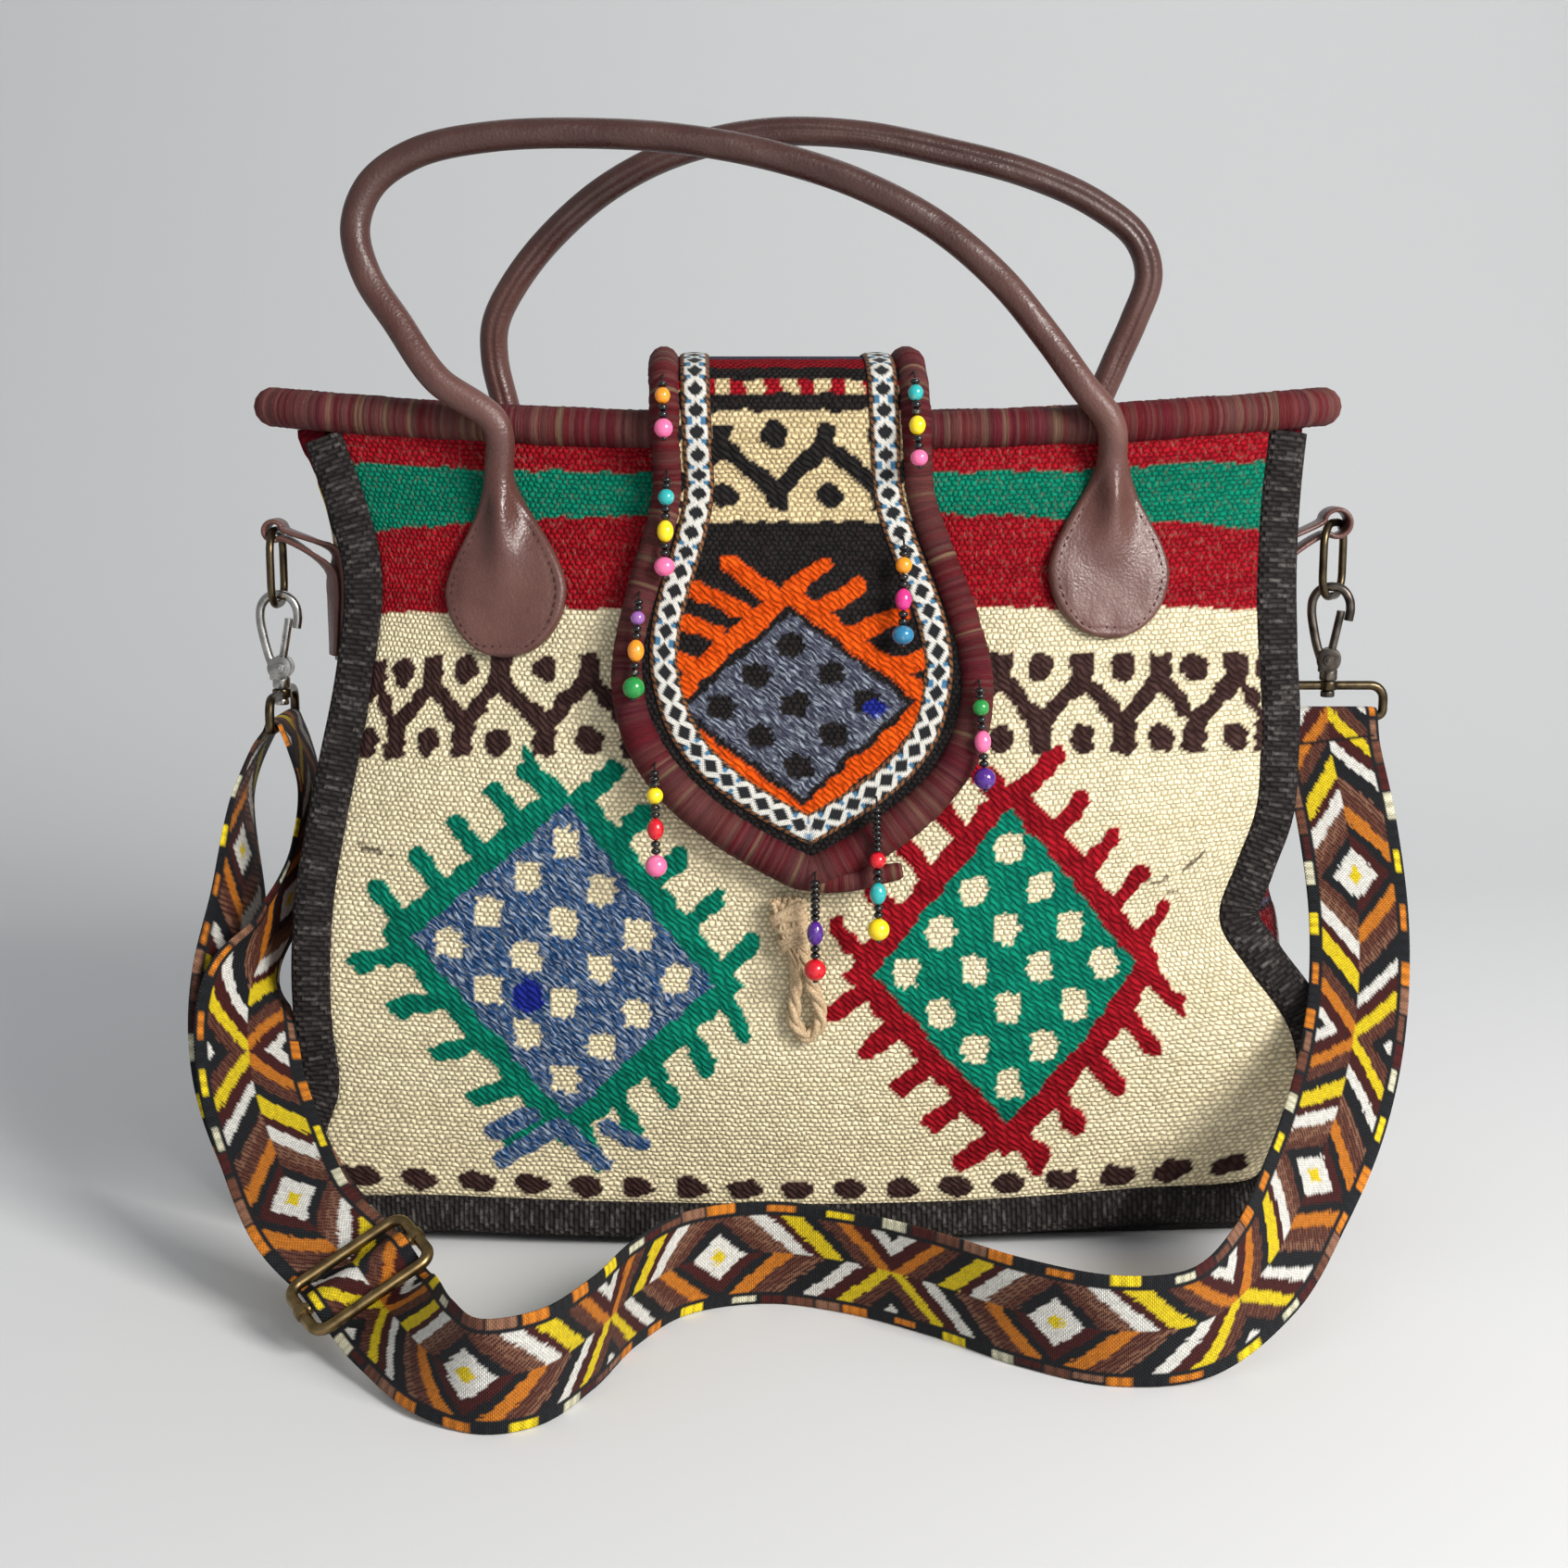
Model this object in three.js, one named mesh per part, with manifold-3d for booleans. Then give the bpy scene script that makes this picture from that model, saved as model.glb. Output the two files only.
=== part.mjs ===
// Kilim tote bag with a tongue flap, rolled leather handles and a webbing shoulder strap.
// Millimetres, +Z up. The front faces -Y, and the origin lies on the floor under the middle of the base.
import * as THREE from 'three';
import { mergeVertices } from 'three/addons/utils/BufferGeometryUtils.js';
import Module from 'manifold-3d';

const wasm = await Module();
wasm.setup();

// Fits
const FIT = 0.3; // gap between pieces that touch
const PLAY = 0.35; // gap round a turning pin

// Sewn body
const PANEL_HALF_WIDTH = 168; // woven panel, from its middle to the side seam
const SEAM_HEIGHT = 19; // lower edge of the panels above the floor
const RIM_HEIGHT = 306; // middle of the mouth roll above the floor, at the middle of the bag
const RIM_RISE = 9; // how much higher the roll is at the ends of the mouth
const RIM_OVERHANG = 15; // how far the ends of the mouth reach past the side tapes
const ROLL_RADIUS = 6.2; // wrapped roll round the mouth
const ROLL_SIDES = 6;
const WRAP_TURN = 25; // length of one bundle of yarn turns on a wrapped cord
const WRAP_GROOVE = 0.7; // groove between two bundles of turns
const CLOTH = 3.4; // thickness of the woven cloth
const CAMBER = 0.2; // dome of a cloth before it is laid
const BODY_ROWS = 7; // rows of faces up the body
const PANEL_ROWS = 2 * BODY_ROWS;
const PANEL_COLUMNS = 8;
const TAPE_HALF_WIDTH = 7; // seam tape
const TAPE_THICKNESS = 4; // seam tape with the seam inside it
const GUSSET_CLOTH = 2.6; // thickness of the side cloth
const BASE_CLOTH = 3; // thickness of the bottom cloth
const BASE_CURL = 14; // radius of the rounded lower edge
const LINING = 1; // thickness of the lining
const LINING_EASE = 1.6; // room between the lining and the cloth
const LINING_DROP = 8; // top edge of the lining below the roll
const RIGHT_LIFT = 8; // how much the lower seam rises towards the right corner
const LEFT_LIFT = 3; // how much the lower seam rises towards the left corner

// Woven pattern on the front
const RELIEF = 0.9; // brocade above the ground weave
const GREEN_TOP = 275; // top of the green stripe above the lower seam
const GREEN_BOTTOM = 255;
const CREAM_TOP = 225;
const ZIGZAG_PEAK = 206;
const ZIGZAG_VALLEY = 175;
const ZIGZAG_PERIOD = 30;
const ZIGZAG_LINE = 11; // height of the zigzag's line
const DOT_WIDTH = 9;
const DOT_HEIGHT = 9;
const BORDER_DOT_PITCH = 20;
const BORDER_DOT_WIDTH = 12;
const BORDER_DOT_HEIGHT = 6;
const BORDER_DOT_LEVEL = 8;
const MEDALLION_BORDER = 10; // width of the comb's back round a medallion
const TOOTH_LENGTH = 19;
const TOOTH_WIDTH = 7.5;
const BROCADE_OVERLAP = 0.02; // share of a medallion by which its comb reaches under its field
const LATTICE_DOT = 9; // width of a dot in a medallion
// A medallion's middle, its upper corner and its right corner from the middle, the teeth on each
// side from the lower right one round by the upper right one, and the rows of dots in its field.
const MEDALLIONS = [
  { middle: [-83, 93], rise: [2.5, 57], reach: [53.5, -8.5], teeth: [5, 5, 5, 5], lattice: 4 },
  { middle: [77, 94], rise: [-1, 57], reach: [46.5, 8.5], teeth: [5, 5, 5, 5], lattice: 4 },
];
const FLAP_MEDALLION = {
  middle: [-3, 68], rise: [-0.5, 33], reach: [40.5, 1], teeth: [0, 3, 3, 0], lattice: 3,
};
const FLAP_BAND_BOTTOM = 135; // light band across the flap, above its tip
const FLAP_BAND_TOP = 175;
const FLAP_ZIGZAG_SPAN = 50;
const FLAP_ZIGZAG_TURNS = 6;

// Flap
const FLAP_MIDDLE = 5; // sideways place of the flap's tip
const FLAP_LEAN = 14; // how far the flap has moved to the left at its hem
const FLAP_NECK = 51; // half width of the tongue where it crosses the mouth, binding included
const FLAP_WIDEST = 69; // half width at the belly of the tongue
const FLAP_TIP_HEIGHT = 141; // lowest point of the binding
const FLAP_BELLY = 78; // belly of the tongue above the tip
const FLAP_SHOULDER = 150; // end of the straight neck above the tip
const FLAP_HEM_HEIGHT = 262; // sewn end on the back
const FLAP_RISE = 26; // crest of the flap above the roll's middle
const FLAP_LAID = 0.955; // share of the panels' height up to which the flap lies on them
const FLAP_CREST_SPREAD = 0.78; // place of the crest's rounded shoulders between the mouth rolls
const FLAP_CREST_ROUND = 0.72; // height of those shoulders below the crest
const FLAP_FLARE = 22; // length of the curve from the neck to the belly
const FLAP_ROUND = 44; // length of the curve from the belly to the tip
const FLAP_TIP_REACH = 30;
const FLAP_TIP_SLOPE = 0.5;
const FLAP_CLOTH = 3.4;
const FLAP_ROWS = 23; // rows of faces along the flap
const FLAP_COLUMNS = 4;
const BINDING_RADIUS = 5.6;
const BINDING_SIDES = 6;
const BINDING_NECK_STEPS = 14; // points of the binding along each straight side of the neck
const RIBBON_WIDTH = 11;
const RIBBON_THICKNESS = 1.1;
const RIBBON_LIFT = 0.45; // room under the ribbon
const RIBBON_STEPS = 18; // sections of the ribbon from the neck to the tip

// Bead strands
const THREAD_RADIUS = 0.8; // sewn end of a strand
const SEED_RADIUS = 1.5;
const SEED_LENGTH = 5; // run of seed beads between two painted beads
// Each strand's side of the flap, the trim it is sewn to, its upper end as a share of the height from the
// flap's tip to its crest, the run of seed beads above its first painted bead, how far its thread sinks
// into the bend of the trim, and the radius and length of its painted beads from the top.
const STRANDS = [
  { side: -1, sewn: 'binding', top: 0.7801, fall: 4, beads: [[3, 6], [3, 8], [3.8, 7]], colour: 0xe2c52a },
  { side: -1, sewn: 'binding', top: 0.555, fall: 4, beads: [[2.6, 5], [3, 8], [4, 8]], colour: 0xd9732a },
  { side: -1, sewn: 'binding', top: 0.2408, fall: 6, beads: [[3, 6], [3, 8], [4, 8]], colour: 0xc9304a },
  { side: 1, sewn: 'binding', top: 0.0366, fall: 15, beads: [[3, 9], [4, 8]], colour: 0xb02a35 },
  { side: 1, sewn: 'ribbon', top: 0.1728, fall: 16, beads: [[3, 6], [3, 8], [4, 8]], colour: 0x2a8f9a },
  { side: 1, sewn: 'binding', top: 0.3927, fall: 4, beads: [[3, 6], [3, 8], [4, 8]], colour: 0x5a3b8f },
  { side: 1, sewn: 'ribbon', top: 0.6545, fall: 4, beads: [[3, 6], [3, 8], [4, 7]], colour: 0xd4408a },
  { side: -1, sewn: 'binding', top: 0.9581, fall: 2, sunk: 1.3, beads: [[2.8, 6], [3.4, 7]], colour: 0xd98a3a },
  {
    side: 1, sewn: 'binding', top: 0.9634, fall: 2, sunk: 1.3,
    beads: [[2.8, 6], [3, 7], [3.2, 6]], colour: 0x3aa0a0,
  },
];

// Twine loop
const TWINE_RADIUS = 1.9;
const LOOP_LENGTH = 52; // part of the loop that shows under the flap
const LOOP_HALF_WIDTH = 2.9;
const LOOP_NECK = 0.3; // whipped share of the loop

// Leather handles
const HANDLE_RADIUS = 5.4;
const HANDLE_END_HALF_WIDTH = 21.5; // teardrop end
const HANDLE_END_THICKNESS = 3.6;
const HANDLE_END_LENGTH = 64;
const HANDLE_SECTIONS = 24; // sections of the roll between the ends
// Shares of an end's length from its lowest point, with how far the leather has spread and flattened there.
const HANDLE_SPREAD = { places: [0, 0.1, 0.25, 0.4, 0.6, 0.8, 1], values: [0.15, 0.6, 0.9, 1, 0.8, 0.35, 0] };
const HANDLE_FLATNESS = { places: [0, 0.55, 0.75, 1], values: [1, 1, 0.6, 0] };
const HANDLE_END_SECTIONS = [0.02, 0.1, 0.22, 0.4, 0.6, 0.8, 1];
// Sideways place of each teardrop and the height of its lowest point above the lower seam.
const FRONT_FEET = [[-110, 203], [114, 209]];
const BACK_FEET = [[-113, 206], [116, 206]];
// Free arch of each handle above the mouth.
const FRONT_ARCH = [
  [-131, -33, 325], [-145, -30, 345], [-156, -28, 362], [-160, -26, 379], [-154, -25, 394], [-138, -24, 405],
  [-110, -23, 411], [-66, -22, 412], [-33, -22, 409], [-4, -22, 403], [23, -23, 394], [50, -24, 380],
  [73, -26, 361], [90, -28, 341], [104, -31, 322],
];
const BACK_ARCH = [
  [-118, 32, 333], [-117, 29, 347], [-109, 27, 362], [-94, 26, 380], [-72, 25, 398], [-45, 24, 411],
  [-11, 24, 418], [24, 24, 417], [56, 24, 411], [88, 25, 403], [114, 26, 392], [131, 27, 379],
  [136, 28, 365], [131, 30, 348], [124, 32, 331],
];

// Strap metal
const LEFT_EYE_REACH = 31; // from the panel's side seam out to the swivel post
const RIGHT_EYE_REACH = 37;
const LEFT_EYE = [-PANEL_HALF_WIDTH - LEFT_EYE_REACH, 0, 206]; // middle of the eye's upper bar
const RIGHT_EYE = [PANEL_HALF_WIDTH + RIGHT_EYE_REACH, 0, 209];
const LEFT_HOOK_TURN = 0; // of the hook on its post
const RIGHT_HOOK_TURN = -0.26;
const TAB_WIDTH = 12;
const TAB_LEATHER = 2;
const TAB_LENGTH = 44; // sewn part of the leather tab
const TAB_SLACK = 0.6; // room round the ring's wire in the loop
const RING_HALF_WIDTH = 11; // to the middle of the wire
const RING_HALF_HEIGHT = 14;
const RING_CORNER = 8;
const RING_WIRE = 1.5; // radius
const HOOK_WIRE = 1.7; // radius
const HOOK_HALF_WIDTH = 7.2; // to the middle of the wire
const HOOK_HEIGHT = 38; // from the eye's bar to the middle of the wire at the top
const HOOK_NOSE = 5; // straight end of the bow that the gate closes on
const HOOK_BOSS_RADIUS = 4.6;
const HOOK_BOSS_HEIGHT = 10; // middle of the rivet above the eye's bar
const HOOK_BOSS_THICKNESS = 7.6;
const GATE_THICKNESS = 2.8;
const GATE_HALF_WIDTH = 1.7;
const GATE_OVERLAP = 3; // how far the gate's tip reaches up behind the nose
const PIN_RADIUS = 1.3;
const PIN_HEAD_RADIUS = 2.2;
const PIN_HEAD = 0.8;
const POST_RADIUS = 1.5;
const POST_HEAD_RADIUS = 2.7;
const POST_HEAD = 2.4;
const EYE_HALF_WIDTH = 21.6; // to the middle of the wire
const EYE_DROP = 12; // from the upper bar to the lower one
const EYE_WIRE = 1.8;
const EYE_CORNER = 2.6;
const EYE_BOSS_RADIUS = 3.6;
const SLIDER_HALF_WIDTH = 22.5;
const SLIDER_HALF_LENGTH = 12.5;
const SLIDER_WIRE = 2.1;
const SLIDER_CORNER = 5;
const SLIDER_BAR_RADIUS = 1.5;
const SLIDER_PLACE = [-149, -136, 25];
const SLIDER_RUN = [0.57, -0.77, -0.28]; // direction of the webbing through the slider
const SLIDER_WIDTH = [0.79, 0.43, 0.44]; // direction of the webbing's width there

// Webbing
const STRAP_WIDTH = 38;
const STRAP_THICKNESS = 1.4;
const ROUTE_HALF_WIDTH = 168; // half width of the panel that the route below is laid round
// Route of the webbing: its middle, and the direction of its width.
const STRAP_DOUBLED = [
  [-172, -107, 35, 0.79, 0.43, 0.44], [-188, -86, 50, 0.75, 0.5, 0.43], [-203, -63, 71, 0.65, 0.65, 0.4],
  [-212, -37, 100, 0.45, 0.85, 0.25], [-214, -18, 130, 0.25, 0.95, 0.12], [-214, -4, 168, 0, 1, 0],
  [-207, 0, 187, 0, 1, 0],
];
const STRAP_HANGING = [
  [-193, 0, 186, 0, 1, 0], [-189, -3, 170, 0, 1, 0], [-190, -10, 147, 0.1, 1, 0.05],
  [-198, -24, 122, 0.25, 0.95, 0.12], [-206, -41, 101, 0.45, 0.85, 0.25], [-201, -66, 75, 0.65, 0.65, 0.4],
  [-188, -89, 53, 0.75, 0.5, 0.43], [-173, -111, 36, 0.79, 0.43, 0.44],
];
const STRAP_ON_FLOOR = [
  [-131, -163, 19, 0.6, 0.33, 0.72], [-115, -191, 20, 0.3, 0.15, 0.95], [-99, -204, 19.4, 0, 0, 1],
  [-82, -198, 19.4, 0, 0, 1], [-67, -172, 19.4, 0, 0, 1], [-55, -138, 19.4, 0, 0, 1],
  [-38, -112, 19.4, 0, 0, 1], [-11, -103, 19.4, 0, 0, 1], [16, -111, 19.4, 0, 0, 1],
  [46, -131, 19.4, 0, 0, 1], [75, -156, 19.4, 0, 0, 1], [103, -170, 19.4, 0, 0, 1],
  [131, -167, 21, -0.2, 0, 0.98], [156, -146, 31, -0.6, -0.1, 0.79], [176, -115, 46, -0.8, -0.1, 0.6],
  [195, -82, 67, -0.93, -0.05, 0.35], [208, -52, 93, -0.98, 0, 0.2], [213, -30, 124, -1, 0, 0.05],
  [211, -14, 158, -1, 0, 0], [206, -4.5, 186, -1, 0, 0],
];
const STRAP_TAIL = [[205, 3.4, 188, -1, 0, 0], [206, 2.6, 178, -1, 0, 0]];

// Shape of the body, as values along the height of a panel from its lower seam, 0, to the mouth, 1.
function along(places, values) {
  const curve = new THREE.CubicInterpolant(places, values, 1);
  return (place) => curve.evaluate(THREE.MathUtils.clamp(place, 0, 1))[0];
}

const leftBulge = along(
  [0, 0.06, 0.13, 0.25, 0.37, 0.5, 0.62, 0.74, 0.83, 0.91, 1],
  [8, 11, 5, 7, 6, 0, -7, -12, -13, -7, 2],
);
const rightBulge = along(
  [0, 0.06, 0.13, 0.19, 0.24, 0.29, 0.35, 0.42, 0.5, 0.62, 0.8, 0.91, 1],
  [5, 14, 20, 19, 10, 0, -10, -5, 3, 4.5, 3.5, 5, 8],
);
const cornerDepth = along([0, 0.25, 0.5, 0.75, 1], [44, 43, 35, 24, 12]);
const crown = along([0, 0.25, 0.5, 0.75, 1], [8, 15, 20, 19, 14]);
const leftGussetBulge = along([0, 0.25, 0.5, 0.75, 0.9, 1], [13, 14, 9, 7, 10, 20]);
const rightGussetBulge = along([0, 0.25, 0.5, 0.75, 0.9, 1], [18, 20, 12, 10, 14, 22]);
const EDGE_POWER = 4; // how far a side bulge reaches into the panel
const CROWN_POWER = 2.2;

const panelHeight = RIM_HEIGHT - ROLL_RADIUS - FIT - SEAM_HEIGHT;
const tapeMiddle = TAPE_HALF_WIDTH + 2 * FIT;
const mouthHalfSpan = PANEL_HALF_WIDTH + 2 * tapeMiddle + RIM_OVERHANG;
const crestHeight = RIM_HEIGHT + FLAP_RISE;

// Solids

function toGeometry(points, faces) {
  const geometry = new THREE.BufferGeometry();
  const places = new Float32Array(points.flatMap((point) => [point.x, point.y, point.z]));
  geometry.setAttribute('position', new THREE.BufferAttribute(places, 3));
  geometry.setIndex(faces);
  return geometry;
}

// Skin between rings of equal count. Open ends get a fan round their middle.
function loft(rings, closed = false) {
  const count = rings[0].length;
  const points = rings.flat();
  const faces = [];
  const bands = closed ? rings.length : rings.length - 1;
  for (let band = 0; band < bands; band += 1) {
    const low = band * count;
    const high = ((band + 1) % rings.length) * count;
    for (let side = 0; side < count; side += 1) {
      const next = (side + 1) % count;
      faces.push(low + side, low + next, high + next, low + side, high + next, high + side);
    }
  }
  if (!closed) {
    const ends = [[0, true], [(rings.length - 1) * count, false]];
    for (const [start, first] of ends) {
      const middle = new THREE.Vector3();
      for (let side = 0; side < count; side += 1) middle.add(points[start + side]);
      points.push(middle.divideScalar(count));
      for (let side = 0; side < count; side += 1) {
        const next = (side + 1) % count;
        const hub = points.length - 1;
        faces.push(...(first ? [hub, start + next, start + side] : [hub, start + side, start + next]));
      }
    }
  }
  return facingOut(toGeometry(points, faces));
}

// Closed sheet between an outer and an inner face, each a function of the shares across and up.
function sheet(columns, rows, outer, inner) {
  const wide = columns + 1;
  const points = [];
  for (const face of [outer, inner]) {
    for (let row = 0; row <= rows; row += 1) {
      for (let column = 0; column <= columns; column += 1) points.push(face(column / columns, row / rows));
    }
  }
  const layer = wide * (rows + 1);
  const faces = [];
  const quad = (a, b, c, d) => faces.push(a, b, c, a, c, d);
  for (let row = 0; row < rows; row += 1) {
    for (let column = 0; column < columns; column += 1) {
      const spot = row * wide + column;
      quad(spot, spot + 1, spot + wide + 1, spot + wide);
      quad(layer + spot, layer + spot + wide, layer + spot + wide + 1, layer + spot + 1);
    }
    const left = row * wide;
    const right = left + columns;
    quad(left, left + wide, layer + left + wide, layer + left);
    quad(right, layer + right, layer + right + wide, right + wide);
  }
  for (let column = 0; column < columns; column += 1) {
    const high = rows * wide + column;
    quad(column, layer + column, layer + column + 1, column + 1);
    quad(high, high + 1, layer + high + 1, layer + high);
  }
  return facingOut(toGeometry(points, faces));
}

// Closed sack between an outer and an inner skin of equal rings, from its floor up to its open rim.
function shell(outer, inner) {
  const count = outer[0].length;
  const layer = count * outer.length;
  const points = [...outer.flat(), ...inner.flat()];
  const faces = [];
  const quad = (a, b, c, d) => faces.push(a, b, c, a, c, d);
  for (let side = 0; side < count; side += 1) {
    const next = (side + 1) % count;
    for (let low = 0; low < layer - count; low += count) {
      const high = low + count;
      quad(low + side, low + next, high + next, high + side);
      quad(layer + low + side, layer + high + side, layer + high + next, layer + low + next);
    }
    const rim = layer - count;
    quad(rim + side, rim + next, layer + rim + next, layer + rim + side);
    const hub = 2 * layer;
    faces.push(hub, next, side, hub + 1, layer + side, layer + next);
  }
  for (const floor of [outer[0], inner[0]]) {
    const middle = new THREE.Vector3();
    floor.forEach((point) => middle.addScaledVector(point, 1 / count));
    points.push(middle);
  }
  return facingOut(toGeometry(points, faces));
}

// Turns the faces round if the solid is inside out.
function facingOut(geometry) {
  const place = geometry.attributes.position;
  const index = geometry.index;
  const corner = [new THREE.Vector3(), new THREE.Vector3(), new THREE.Vector3()];
  let volume = 0;
  for (let face = 0; face < index.count; face += 3) {
    corner.forEach((point, turn) => point.fromBufferAttribute(place, index.getX(face + turn)));
    volume += corner[0].dot(corner[1].clone().cross(corner[2]));
  }
  if (volume < 0) index.array.reverse();
  return geometry;
}

// Round or oval section across a path.
function ovalRing(middle, across, out, halfWidth, halfThickness, sides) {
  const ring = [];
  for (let side = 0; side < sides; side += 1) {
    const turn = (2 * Math.PI * side) / sides;
    ring.push(middle.clone()
      .addScaledVector(across, halfWidth * Math.cos(turn))
      .addScaledVector(out, halfThickness * Math.sin(turn)));
  }
  return ring;
}

// Closed wire bent along a flat outline in the XZ plane.
function wireLoop(outline, divisions, radius, sides) {
  const points = outline.getPoints(divisions);
  if (points[0].distanceTo(points.at(-1)) < 1e-6) points.pop();
  const front = new THREE.Vector3(0, -1, 0);
  const rings = points.map((point, place) => {
    const before = points.at(place - 1);
    const after = points[(place + 1) % points.length];
    const run = new THREE.Vector3(after.x - before.x, 0, after.y - before.y).normalize();
    const side = run.clone().cross(front);
    return ovalRing(new THREE.Vector3(point.x, 0, point.y), side, front, radius, radius, sides);
  });
  return loft(rings, true);
}

function roundedOutline(halfWidth, halfHeight, corner, lift) {
  const outline = new THREE.Shape();
  const right = halfWidth - corner;
  const top = halfHeight - corner;
  outline.absarc(right, lift + top, corner, 0, Math.PI / 2);
  outline.absarc(-right, lift + top, corner, Math.PI / 2, Math.PI);
  outline.absarc(-right, lift - top, corner, Math.PI, 1.5 * Math.PI);
  outline.absarc(right, lift - top, corner, 1.5 * Math.PI, 2 * Math.PI);
  outline.closePath();
  return outline;
}

function toSolid(geometry) {
  const bare = geometry.clone();
  bare.deleteAttribute('normal');
  bare.deleteAttribute('uv');
  const merged = mergeVertices(bare, 1e-4);
  return new wasm.Manifold(new wasm.Mesh({
    numProp: 3,
    vertProperties: new Float32Array(merged.attributes.position.array),
    triVerts: new Uint32Array(merged.index.array),
  }));
}

function fromSolid(solid) {
  const mesh = solid.getMesh();
  const geometry = new THREE.BufferGeometry();
  geometry.setAttribute('position', new THREE.BufferAttribute(Float32Array.from(mesh.vertProperties), 3));
  geometry.setIndex(Array.from(mesh.triVerts));
  return geometry;
}

const joined = (...geometries) => geometries.map(toSolid).reduce((whole, next) => whole.add(next));

function cylinder(radius, from, to, sides) {
  const geometry = new THREE.CylinderGeometry(radius, radius, to - from, sides);
  return geometry.rotateX(Math.PI / 2).translate(0, 0, (from + to) / 2);
}

// Flat cloth: across in x, along in y and out of the cloth in z, until it is laid on its surface.
// A trace of camber keeps its grid from melting into one flat face.
function flatCloth(left, right, bottom, top, low, high, columns, rows) {
  const box = new THREE.BoxGeometry(right - left, top - bottom, high - low, columns, rows, 1);
  const place = box.attributes.position;
  for (let spot = 0; spot < place.count; spot += 1) {
    const across = place.getX(spot) / (right - left);
    const up = place.getY(spot) / (top - bottom);
    place.setZ(spot, place.getZ(spot) + CAMBER * (across * across + up * up));
  }
  return toSolid(box.translate((left + right) / 2, (bottom + top) / 2, (low + high) / 2));
}

function prism(outline, low, high) {
  return toSolid(new THREE.ExtrudeGeometry(outline, {
    depth: high - low, bevelEnabled: false, steps: 1, curveSegments: 6,
  }).translate(0, 0, low));
}

// Lays a flat cloth on a surface and colours each face by its place in the weave.
function laid(solid, surface, colourAt) {
  const flat = fromSolid(solid);
  const place = flat.attributes.position;
  const shared = new THREE.BufferGeometry();
  const spots = [];
  const colours = [];
  const point = new THREE.Vector3();
  const middle = new THREE.Vector3();
  for (let face = 0; face < flat.index.count; face += 3) {
    middle.set(0, 0, 0);
    for (let turn = 0; turn < 3; turn += 1) {
      point.fromBufferAttribute(place, flat.index.getX(face + turn));
      middle.addScaledVector(point, 1 / 3);
      surface(point.x, point.y, point.z).toArray(spots, spots.length);
    }
    const colour = new THREE.Color(colourAt(middle.x, middle.y, middle.z));
    for (let turn = 0; turn < 3; turn += 1) colours.push(colour.r, colour.g, colour.b);
  }
  shared.setAttribute('position', new THREE.BufferAttribute(new Float32Array(spots), 3));
  shared.setAttribute('color', new THREE.BufferAttribute(new Float32Array(colours), 3));
  return shared;
}

// Body surfaces

// Height of the middle of the mouth roll at a sideways place.
function rollHeight(x) {
  return RIM_HEIGHT + RIM_RISE * (x / mouthHalfSpan) ** 2;
}

function seamHeight(share) {
  return SEAM_HEIGHT + (share > 0 ? RIGHT_LIFT : LEFT_LIFT) * share * share;
}

// Outer face of a panel. share runs from -1 at the left seam to 1 at the right one, and height from 0 to 1.
function panelFace(facing, share, height) {
  const bulge = share > 0 ? rightBulge(height) : -leftBulge(height);
  const x = share * PANEL_HALF_WIDTH + bulge * Math.abs(share) ** EDGE_POWER;
  const depth = cornerDepth(height) + crown(height) * (1 - Math.abs(share) ** CROWN_POWER);
  const top = rollHeight(x) - ROLL_RADIUS - FIT;
  return new THREE.Vector3(x, facing * depth, THREE.MathUtils.lerp(seamHeight(share), top, height));
}

// Panel surface in flat cloth sizes, with out as the distance in front of the face.
function onPanel(facing) {
  return (across, up, out) => {
    const point = panelFace(facing, (-facing * across) / PANEL_HALF_WIDTH, up / panelHeight);
    point.y += facing * out;
    return point;
  };
}

// Direction straight out of a panel at a place in flat cloth sizes.
function panelNormal(facing, across, up) {
  const onFace = onPanel(facing);
  const side = onFace(across + 1, up, 0).sub(onFace(across - 1, up, 0));
  const rise = onFace(across, up + 1, 0).sub(onFace(across, up - 1, 0));
  return side.cross(rise).normalize();
}

// Middle line of a side tape, and of the gusset's edge behind it.
function tapeLine(facing, side, height, inset) {
  const step = 0.5 / PANEL_ROWS;
  const edge = panelFace(facing, side, height);
  const above = panelFace(facing, side, Math.min(height + step, 1));
  const run = above.sub(panelFace(facing, side, Math.max(height - step, 0))).setY(0).normalize();
  edge.x += side * run.z * tapeMiddle;
  edge.y -= facing * inset;
  edge.z -= side * run.x * tapeMiddle;
  return edge;
}

// Face of a side gusset. turn runs from -1 at the front tape to 1 at the back one.
function gussetPoint(side, turn, height, inset) {
  const front = tapeLine(-1, side, height, TAPE_THICKNESS + FIT + inset);
  const back = tapeLine(1, side, height, TAPE_THICKNESS + FIT + inset);
  const bulge = side > 0 ? rightGussetBulge(height) : leftGussetBulge(height);
  const point = front.lerp(back, (turn + 1) / 2);
  point.x = THREE.MathUtils.lerp(side * (PANEL_HALF_WIDTH + bulge), point.x, turn * turn) - side * inset;
  return point;
}

// Level section of the body inside the tapes, from the left front corner round by the right.
function bodySection(height, inset) {
  const columns = 4;
  const points = [];
  for (const facing of [-1, 1]) {
    const side = -facing;
    points.push(gussetPoint(-side, facing, height, inset));
    for (let column = 1; column < columns; column += 1) {
      const face = panelFace(facing, side * ((2 * column) / columns - 1), height);
      face.y -= facing * (TAPE_THICKNESS + FIT + inset);
      points.push(face);
    }
    for (const turn of [-1, -0.5, 0, 0.5]) points.push(gussetPoint(side, turn * side, height, inset));
  }
  return points;
}

// Outlines of the woven pattern, in flat cloth sizes
function polygon(points) {
  return new THREE.Shape(points.map(([across, up]) => new THREE.Vector2(across, up)));
}

const zigzagHalfSpan = PANEL_HALF_WIDTH - ZIGZAG_PERIOD / 2;

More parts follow.
